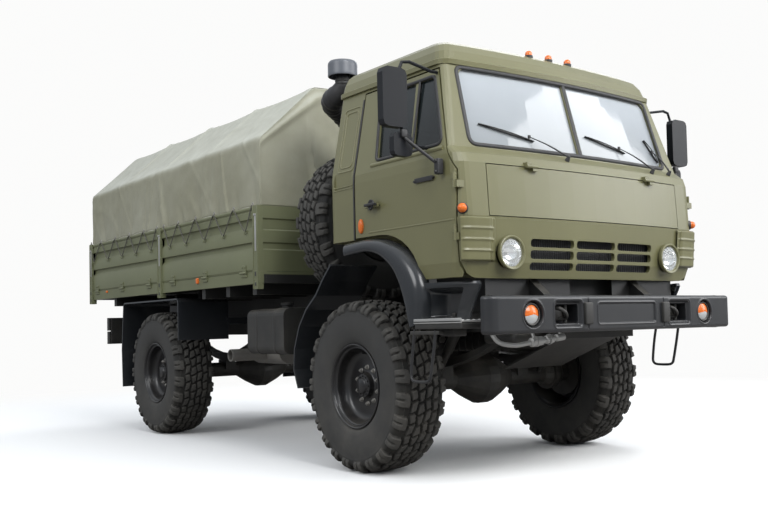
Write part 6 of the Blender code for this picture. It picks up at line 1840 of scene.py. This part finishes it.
def makeAirLine(s):
    line = smoothPath([at(*p) for p in s["line"]], 48)
    meshes = [sweepTube("airLine", line, s["radius"], 14)]
    a, b = np.array(at(*s["couplingFrom"])), np.array(at(*s["couplingTo"]))
    axis = (b - a) / np.linalg.norm(b - a)
    length = np.linalg.norm(b - a)
    r = s["couplingRadius"]
    profile = [
        (0, 0), (r * 0.7, 0), (r, 0.008), (r, 0.10), (r * 0.62, 0.105), (r * 0.62, 0.135), (r * 0.9, 0.14),
        (r * 0.9, 0.20), (r * 0.5, 0.205), (r * 0.5, 0.23), (r * 0.8, 0.235), (r * 0.8, length - 0.02),
        (r * 0.4, length - 0.01), (0, length),
    ]
    meshes.append(turned("coupling", profile, a, axis, 20))
    band = [(r, -0.008), (r + 0.004, -0.008), (r + 0.004, 0.008), (r, 0.008), (r, -0.008)]
    for t in s["bands"]:
        meshes.append(turned("couplingBand", band, a + axis * t, axis, 20))
    # two arms hold the coupling to the bumper's bracket
    for t in (s["armInset"], length - s["armInset"]):
        p = a + axis * t
        path = [p, p + (0, 0.02, 0.06), (p[0] + 0.02, p[1] + 0.05, 1.02), at(-0.40, -1.30, 1.06)]
        meshes.append(sweepTube("couplingArm", smoothPath(path, 12), s["armRadius"], 8))
    showPiece("frontAirLine", joined("frontAirLine", meshes), "galvanised", "chassis")


makeAirLine(airLineSettings)
print("bumper, steps and air line")


# Load bed: hooks, lacing rope, hinges, post strips and markers

bedSettings = {
    "hookY": (1.505, 1.924, 2.310, 2.719, 3.097, 3.579, 3.989, 4.397, 4.833, 5.299),
    "hookZ": 1.858, "hemZ": 2.086, "faceX": 1.250,
    "ropeRadius": 0.0045,
    # (out, up) of a hook's rod from the middle of its plate
    "hookCurve": ((0, 0.008), (0.016, 0.008), (0.024, -0.004), (0.018, -0.016), (0.006, -0.014)),
    "hingeY": (1.554, 2.323, 3.046, 3.655, 4.422, 5.205), "hingeZ": 1.516,
    "postY": (1.326, 3.360, 5.394), "postX": 1.265,
    "slots": ((1.50, 0.018), (1.415, 0.014)),  # middle and half height
    "rivets": (1.985, 1.90, 1.80, 1.66, 1.45),
    "markers": ((2.485, 1.498, 0.020, 0.026), (4.891, 1.498, 0.012, 0.012)),  # y, z, half width, half height
}


# Side boards: a pressed section, by how far out from the bed's face and by height, carried along y.
boardSettings = {
    "section": (
        (-0.004, 1.534), (0.0, 1.538), (0.0, 1.690), (-0.022, 1.722), (-0.024, 1.727), (-0.024, 1.758),
        (-0.021, 1.763), (0.0, 1.769), (0.0, 1.858), (-0.022, 1.892), (-0.024, 1.897), (-0.024, 1.955),
        (-0.021, 1.960), (0.0, 1.967), (0.0, 2.020), (-0.006, 2.026), (-0.006, 2.034), (0.004, 2.042),
        (0.006, 2.052), (0.004, 2.062), (-0.004, 2.068), (-0.026, 2.068), (-0.030, 2.060), (-0.030, 1.540),
        (-0.028, 1.5235), (-0.006, 1.5235),
    ),
    "ends": 0.004,
}


def makeBoard(name, s, faceX):
    low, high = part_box(name)
    sign = 1 if low.x + high.x > 0 else -1
    section = np.array(s["section"])
    span = np.linspace(low.y + 0.02, high.y - 0.02, 24)
    front, rear = [low.y, low.y, low.y + s["ends"]], [high.y - s["ends"], high.y, high.y]
    y = np.concatenate([front, span, rear])
    middle = section.mean(axis=0)
    grow = np.ones(len(y))
    grow[[0, -1]] = 0
    shrink = np.ones(len(y))
    shrink[[1, -2]] = 0.97
    points = np.empty((len(y), len(section), 3))
    points[..., 0] = sign * (faceX + middle[0] + (section[:, 0] - middle[0])[None, :] * grow[:, None])
    points[..., 2] = middle[1] + (section[:, 1] - middle[1])[None, :] * (grow * shrink)[:, None]
    points[..., 1] = y[:, None]
    mesh = tidyMesh(gridMesh("board", points, closeV=True))
    board = showPiece("pressedBoard_" + name.replace("sideboard_", ""), mesh, "bedPaint", "chassis")
    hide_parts(name)


for name in ("sideboard_R_front", "sideboard_R_rear", "sideboard_L_front", "sideboard_L_rear"):
    makeBoard(name, boardSettings, bedSettings["faceX"])


# a cord sewn into the tilt's hem, along both sides
hemCords = []
for column, sign in ((0, -1), (-1, 1)):
    path = (tiltPoints[:, column] + (sign * 0.004, 0, 0.004))[::3]
    hemCords.append(sweepTube("hemCord", path, 0.006, 7))
showPiece("tiltHemCord", joined("tiltHemCord", hemCords), "canvasCloth", "chassis")


def makeRopeAndHooks(side, s):
    sign = sides[side]
    x = sign * (s["faceX"] + 0.014)
    hooks, rings = [], []
    for y in s["hookY"]:
        spot = np.array(at(sign * s["faceX"], y, s["hookZ"]))
        hooks.append(softBox("hookPlate", spot + (sign * 0.001, 0, 0.004), (0.003, 0.020, 0.014), 0.002))
        curve = [spot + (sign * out, 0, up) for out, up in s["hookCurve"]]
        hooks.append(sweepTube("hook", smoothPath(curve, 12), 0.0045, 8))
    for label, hemY in zip(("front", "rear"), laceY):
        hookY = [y for y in s["hookY"] if hemY[0] < y < hemY[-1]]
        path = []
        for i, y in enumerate(hemY):
            path.append(at(x - sign * 0.004, y, s["hemZ"]))
            rings.append(np.array(at(sign * (s["faceX"] - 0.008), y, s["hemZ"])))
            if i < len(hookY):
                path.append(at(x, hookY[i], s["hookZ"] - 0.010))
        dense = evenPath(path, 0.05)
        rope = sweepTube("rope", softened(dense, 1), s["ropeRadius"], 7)
        showPiece(f"lacingRope_{side}_{label}", rope, "ropeFibre", "chassis")
    a = np.linspace(0, 2 * np.pi, 20, endpoint=False)
    ringMeshes = []
    for spot in rings:
        path = spot + np.stack([np.full(20, sign * 0.010), 0.012 * np.cos(a), 0.012 * np.sin(a)], axis=-1)
        ringMeshes.append(sweepTube("eyelet", path, 0.0035, 6, closed=True))
    showPiece("ropeHooks_" + side, joined("ropeHooks", hooks), "bedPaint", "chassis")
    showPiece("tiltEyelets_" + side, joined("tiltEyelets", ringMeshes), "bareSteel", "chassis")


def makeBedFittings(side, s):
    sign = sides[side]
    x = sign * s["faceX"]
    out = np.array([sign, 0, 0], dtype=float)
    meshes = []
    for y in s["hingeY"]:
        spot = np.array(at(x, y, s["hingeZ"]))
        meshes.append(softBox("hingeLeaf", spot + (sign * 0.003, 0, 0.034), (0.004, 0.034, 0.034), 0.003))
        meshes.append(softBox("hingeFoot", spot + (sign * 0.004, 0, -0.020), (0.006, 0.050, 0.016), 0.004))
        pin = [spot + (sign * 0.012, dy, 0.0) for dy in np.linspace(-0.055, 0.055, 5)]
        meshes.append(sweepTube("hingePin", pin, 0.010, 10))
        for dy in (-0.018, 0.018):
            meshes.append(fitting("hingeBolt", spot + (sign * 0.007, dy, 0.048), out))
    for y in s["postY"]:
        spot = np.array(at(sign * s["postX"], y, 0))
        for z, half in s["slots"]:
            rim = (0.004, 0.020, half + 0.008)
            meshes.append(softBox("postSlot", spot + (sign * -0.0015, 0, z), rim, 0.003))
        for dy in (-0.037, 0.037):
            meshes.append(softBox("postEdge", spot + (sign * 0.001, dy, 1.72), (0.004, 0.005, 0.345), 0.0025))
        for z in s["rivets"]:
            meshes.append(fitting("rivet", spot + (0, 0.024, z), out))
    showPiece("bedFittings_" + side, joined("bedFittings", meshes), "bedPaint", "chassis")
    strips, slots = [], []
    for y in s["postY"]:
        spot = np.array(at(sign * s["postX"], y, 0))
        middle = spot + (sign * 0.001, -0.006, 1.845)
        strips.append(softBox("latchStrip", middle, (0.0035, 0.011, 0.155), 0.002))
        strips.append(fitting("latchKnob", spot + (0, -0.006, 1.99), out))
        # each slot's opening is a black patch on the post: painted shade
        for z, half in s["slots"]:
            slots.append(softBox("slot", spot + (sign * 0.0012, 0, z), (0.002, 0.012, half), 0.0015))
    showPiece("latchStrips_" + side, joined("latchStrips", strips), "galvanised", "chassis")
    showPiece("slotShadePatches_" + side, joined("slotShadePatches", slots), "blackTrim", "chassis")
    lenses = [
        softBox("bedMarker", np.array(at(x, y, z)) + out * 0.006, (0.010, wide, high), 0.006)
        for y, z, wide, high in s["markers"]
    ]
    showPiece("bedMarkers_" + side, joined("bedMarkers", lenses), "orangeLens", "chassis")


for side in sides:
    makeRopeAndHooks(side, bedSettings)
    makeBedFittings(side, bedSettings)
print("load bed fittings")


# Mirrors, intake pipe, tank, under parts, seats and tail lamps

mirrorSettings = {
    # (x, z) of each glass's middle, and half its width and height
    "big": ((-1.450, 2.490), (0.078, 0.175)),
    "small": ((-1.388, 2.195), (0.058, 0.060)),
}


def makeMirrorGlass(side, s):
    sign = sides[side]
    heads = surfaceOf("mirrors_" + side)
    meshes, rims = [], []
    for (x, z), (hx, hz) in s.values():
        (spot,), _ = landOn(heads, [(-sign * x, 0.5 + rearward, z)], (0, -1, 0))
        meshes.append(softBox("mirrorGlass", spot + (0, 0.0005, 0), (hx, 0.002, hz), 0.0015))
        loop = roundedLoop([(-hx, -hz), (hx, -hz), (hx, hz), (-hx, hz)], 0.025, step=0.03)
        path = np.array([spot + (a, 0.001, b) for a, b in loop])
        rims.append(sweepTube("mirrorRim", path, 0.004, 6, closed=True))
    showPiece("mirrorGlass_" + side, joined("mirrorGlass", meshes), "mirrorGlass", doorBody[side])
    showPiece("mirrorRims_" + side, joined("mirrorRims", rims), "blackTrim", doorBody[side])


for side in sides:
    makeMirrorGlass(side, mirrorSettings)

intakeSettings = {
    "pipe": (-0.87, 0.56), "pipeRadius": 0.055, "clampZ": (2.975, 3.000),
    "capZ": (3.03, 3.158), "capRadius": 0.118,
    # the rubber duct's middle line and its radius there, from the pipe in behind the cab and down
    "duct": (
        (-0.87, 0.56, 2.985, 0.058), (-0.87, 0.572, 2.955, 0.066), (-0.87, 0.620, 2.910, 0.084),
        (-0.865, 0.710, 2.880, 0.090), (-0.815, 0.800, 2.860, 0.088), (-0.710, 0.870, 2.820, 0.078),
        (-0.550, 0.945, 2.710, 0.064), (-0.420, 1.010, 2.520, 0.058),
    ),
    "pleats": 15, "pleatDepth": 0.004,
    "down": ((-0.430, 1.005, 2.540), (-0.375, 1.040, 2.40), (-0.360, 1.050, 2.20), (-0.360, 1.050, 1.62)),
    "cleaner": (-0.36, 1.09), "cleanerZ": (1.36, 1.64), "cleanerRadius": 0.13,
}


def makeIntake(s):
    x, y = s["pipe"]
    centre = at(x, y, 0)
    r = s["pipeRadius"]
    low, high = s["capZ"]
    cr = s["capRadius"]
    cap = turned(
        "rainCap",
        [(0, high), (cr * 0.6, high - 0.002), (cr * 0.9, high - 0.008), (cr * 0.985, high - 0.022),
         (cr, high - 0.04), (cr, low + 0.02), (cr * 1.01, low + 0.008), (cr * 0.99, low), (cr * 0.93, low),
         (cr * 0.93, low + 0.06), (r, low + 0.07), (0, low + 0.07)],
        (centre[0], centre[1], 0), (0, 0, 1), 48,
    )
    showPiece("rainCap", cap, "capGrey", "chassis")
    upper = sweepTube("intakePipe", [at(x, y, z) for z in np.linspace(2.96, 3.10, 8)], r, 28)
    lower = sweepTube("intakePipe", smoothPath([at(*p) for p in s["down"]], 60), r, 28)
    cx, cy = s["cleaner"]
    z0, z1 = s["cleanerZ"]
    body = s["cleanerRadius"]
    profile = [(0, z0), (body * 0.94, z0), (body, z0 + 0.012)]
    for z in np.linspace(z0 + 0.05, z1 - 0.05, 4):
        profile += [(body, z - 0.010), (body * 1.02, z - 0.006), (body * 1.02, z + 0.006), (body, z + 0.010)]
    profile += [(body, z1 - 0.02), (body * 0.90, z1), (r * 1.2, z1 + 0.03), (0, z1 + 0.03)]
    cleaner = turned("airCleaner", profile, at(cx, cy, 0), (0, 0, 1), 40)
    pipe = showPiece("intakePipe", joined("intakePipe", [upper, lower, cleaner]), "darkPaint", "chassis")
    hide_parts("snorkel")
    duct = np.array(s["duct"])
    path = smoothPath(duct[:, :3], 120)
    share = np.linspace(0, 1, 120)
    reach = runLength(duct[:, :3])
    wide = np.interp(share * reach[-1], reach, duct[:, 3])
    pleated = smoothStep(0.12, 0.2, share) * smoothStep(0.95, 0.85, share)
    wide = softened(wide, 12) + s["pleatDepth"] * np.sin(share * 2 * np.pi * s["pleats"]) * pleated
    path[:, 1] += rearward
    showPiece("rubberDuct", sweepTube("rubberDuct", path, wide, 36), "blackTrim", "chassis")
    clamp = [
        (r - 0.003, -0.012), (r + 0.006, -0.012), (r + 0.008, -0.008), (r + 0.008, 0.008), (r + 0.006, 0.012),
        (r - 0.003, 0.012), (r - 0.003, -0.012),
    ]
    rings = [turned("pipeClamp", clamp, (centre[0], centre[1], z), (0, 0, 1), 32) for z in s["clampZ"]]
    bracket = softBox("intakeBracket", at(-0.62, 0.975, 1.47), (0.25, 0.022, 0.028), 0.006)
    showPiece("pipeClamps", joined("pipeClamps", rings + [bracket]), "chassisPaint", "chassis")


makeIntake(intakeSettings)

tankSettings = {
    "strapY": (1.24, 1.55), "strapBead": (0.035, 0.005, 0.002, 5), "neck": (-0.93, 1.40),
    # (x, z) of the tank's lower outer and upper inner corners
    "low": (-1.15, 0.83), "high": (-0.68, 1.21),
}


def makeTankTrim(s):
    tank = surfaceOf("fuel_tank")
    straps = []
    middle = np.array([(s["low"][0] + s["high"][0]) / 2, 0, (s["low"][1] + s["high"][1]) / 2])
    for y in s["strapY"]:
        angles = np.linspace(0, 2 * np.pi, 96, endpoint=False)
        path, normals = [], []
        for a in angles:
            away = np.array([np.cos(a), 0, np.sin(a)])
            start = middle + (0, y + rearward, 0) + away * 1.0
            hit, _, _, _ = tank.ray_cast(Vector(start), Vector(-away))
            if hit is not None:
                path.append(np.array(hit) + away * 0.0005)
                normals.append(away)
        straps.append(sweepOnSurface("tankStrap", path, normals, bead(*s["strapBead"]), closed=True))
    straps.append(fitting("fillerCap", np.array(at(*s["neck"], s["high"][1])), (0, 0, 1)))
    showPiece("tankStraps", joined("tankStraps", straps), "chassisPaint", "chassis")


makeTankTrim(tankSettings)


underSettings = {
    "sump": {"centre": (0.0, -0.28, 0.915), "half": (0.235, 0.40, 0.075), "ribs": 9},
    # middle and half size of the gearbox, the transfer case and the box ahead of the axle
    "cases": (
        ((0.0, 0.48, 0.860), (0.34, 0.36, 0.115)), ((0.0, 1.00, 0.905), (0.22, 0.20, 0.10)),
        ((-0.48, -0.98, 0.945), (0.20, 0.16, 0.035)),
    ),
    "dampers": ((0.535, -0.42, 1.05), (0.545, -0.13, 0.66)), "damperRadius": 0.034,
    "screen": {"x": 0.655, "low": 1.372, "high": 1.612, "y": -1.187, "fins": 62},
}


def makeUnderParts(s):
    # the engine's ribbed sump over the front axle
    sump = s["sump"]
    centre, half = at(*sump["centre"]), sump["half"]
    meshes = [softBox("sump", centre, half, 0.03, k=4)]
    rib = (half[0] + 0.007, 0.005, half[2] + 0.006)
    for i in range(sump["ribs"]):
        y = centre[1] + half[1] * (2 * (i + 0.5) / sump["ribs"] - 1) * 0.9
        meshes.append(softBox("sumpRib", (centre[0], y, centre[2]), rib, 0.003))
    for centre, half in s["cases"]:
        meshes.append(softBox("gearCase", at(*centre), half, 0.03, k=4))
    showPiece("engineSump", joined("engineSump", meshes), "chassisPaint", "chassis")
    # telescopic dampers from the frame down to the front axle
    dampers = []
    for sign in (-1, 1):
        a, b = (np.array(at(sign * x, y, z)) for x, y, z in s["dampers"])
        axis = (b - a) / np.linalg.norm(b - a)
        length, r = np.linalg.norm(b - a), s["damperRadius"]
        profile = [
            (0, -0.02), (r * 0.6, -0.02), (r * 0.6, 0.012), (r * 1.15, 0.014), (r * 1.15, length * 0.52),
            (r * 1.08, length * 0.53), (r * 0.92, length * 0.53), (r * 0.92, length - 0.02),
            (r * 0.6, length), (r * 0.6, length + 0.02), (0, length + 0.02),
        ]
        dampers.append(turned("damper", profile, a, axis, 20))
    showPiece("frontDampers", joined("frontDampers", dampers), "chassisPaint", "chassis")
    # the fine dark screen behind the grille, its fins a wave across x
    screen = s["screen"]
    x = np.linspace(-screen["x"], screen["x"], screen["fins"] * 6)
    low, high = screen["low"], screen["high"]
    z = np.concatenate([[low] * 2, np.linspace(low, high, 8), [high] * 2])
    back = np.zeros(len(z))
    back[[0, -1]] = 0.008
    wave = 0.003 * np.cos(np.linspace(0, 2 * np.pi * screen["fins"], len(x)))
    y = (screen["y"] + rearward + wave)[:, None] + back[None, :]
    points = np.stack(np.broadcast_arrays(x[:, None], y, z[None, :]), axis=-1).copy()
    showPiece("grilleScreen", tidyMesh(gridMesh("grilleScreen", points, closeV=True)), "blackTrim", "cab")


makeUnderParts(underSettings)


seatSettings = {
    # (y, z) of each pad's middle from the front axle and the seat's foot, its half size and its lean, radians
    "cushion": {"place": (-0.285, 0.190), "half": (0.232, 0.250, 0.058), "lean": 0.05},
    "back": {"place": (0.035, 0.560), "half": (0.222, 0.050, 0.300), "lean": -0.16},
    "channels": (0.10, -0.10),
    "corner": 0.045, "voxel": 0.009, "pressure": 4.0, "cap": 0.022, "frames": 20, "channelDepth": 0.008,
    "base": {"half": (0.20, 0.19, 0.052), "y": -0.29},
}


# A pad is remeshed evenly, filled by cloth pressure with no gravity, held to a largest swelling and sewn.
def makePad(name, s, pad, middle, floorZ):
    mesh = softBox(name, (0, 0, 0), pad["half"], s["corner"], k=5)
    worker = bpy.data.objects.new(name + "Worker", mesh)
    bpy.context.scene.collection.objects.link(worker)
    remesh = worker.modifiers.new("even", "REMESH")
    remesh.mode = "VOXEL"
    remesh.voxel_size = s["voxel"]
    even = bpy.data.meshes.new_from_object(worker.evaluated_get(bpy.context.evaluated_depsgraph_get()))
    worker.modifiers.clear()
    worker.data = even
    start = np.empty(len(even.vertices) * 3)
    even.vertices.foreach_get("co", start)
    start = start.reshape(-1, 3)
    points = start.copy()
    cloth = worker.modifiers.new("fill", "CLOTH")
    cloth.settings.use_pressure = True
    cloth.settings.uniform_pressure_force = s["pressure"]
    cloth.settings.effector_weights.gravity = 0
    for frameNumber in range(1, s["frames"] + 1):
        bpy.context.scene.frame_set(frameNumber)
    filled = bpy.data.meshes.new_from_object(worker.evaluated_get(bpy.context.evaluated_depsgraph_get()))
    filled.vertices.foreach_get("co", points.reshape(-1))
    move = points - start
    far = np.linalg.norm(move, axis=1, keepdims=True)
    points = start + move * np.minimum(1, s["cap"] / np.maximum(far, 0.0001))
    bpy.context.scene.frame_set(1)
    worker.modifiers.clear()
    # sewn channels across the pad, and a seam round its edge where the two panels meet
    half = np.array(pad["half"])
    thin, long = int(np.argmin(half)), 3 - int(np.argmin(half))
    sink = np.zeros(len(points))
    for channel in s["channels"]:
        sink += np.exp(-(((points[:, 0] - channel) / 0.007) ** 2))
    rim = np.maximum(np.abs(points[:, 0]) / half[0], np.abs(points[:, long]) / half[long])
    sink += 0.5 * np.exp(-((points[:, thin] / 0.006) ** 2)) * smoothStep(0.92, 0.98, rim)
    points[:, thin] -= np.sign(points[:, thin]) * np.minimum(sink, 1) * s["channelDepth"]
    turn, lift = np.cos(pad["lean"]), np.sin(pad["lean"])
    y, z = points[:, 1].copy(), points[:, 2].copy()
    points[:, 0] += middle[0]
    points[:, 1] = y * turn - z * lift + pad["place"][0] + rearward
    points[:, 2] = y * lift + z * turn + floorZ + pad["place"][1]
    even.vertices.foreach_set("co", points.reshape(-1))
    even.update()
    bpy.data.objects.remove(worker)
    piece = showPiece(name, even, "seatCloth", "cab")
    smooth = piece.modifiers.new("smooth", "SUBSURF")
    smooth.levels = smooth.render_levels = 1
    return piece


def makeSeat(node, s):
    low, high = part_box(node)
    middle = ((low.x + high.x) / 2, 0, 0)
    label = node.replace("seat_", "")
    half = s["base"]["half"]
    base = softBox("seatBase", (middle[0], s["base"]["y"] + rearward, low.z + half[2]), half, 0.012)
    basePiece = showPiece("seatBase_" + label, base, "blackTrim", "cab")
    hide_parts(node)
    makePad("seatCushion_" + label, s, s["cushion"], middle, low.z)
    makePad("seatBack_" + label, s, s["back"], middle, low.z)


for node in ("seat_driver", "seat_passenger"):
    makeSeat(node, seatSettings)
print("seats made")


tailLampSettings = {
    "x": 0.965, "half": (0.105, 0.010, 0.052), "corner": 0.008,
    # name, height, how far it lies behind the other, paint
    "lenses": (
        ("tailLensRed_", 0.977, 0.002, "redLens"),
        ("tailLensOrange_", 1.134, 0.0, "orangeLens"),
    ),
}


def makeTailLamps(s):
    for side, sign in sides.items():
        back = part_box("tail_lamp_" + side)[1].y
        for name, z, out, paint in s["lenses"]:
            lens = softBox("tailLens", (sign * s["x"], back - out + 0.004, z), s["half"], s["corner"])
            showPiece(name + side, lens, paint, "chassis")


makeTailLamps(tailLampSettings)
print("mirrors, intake, tank and tail lamps")
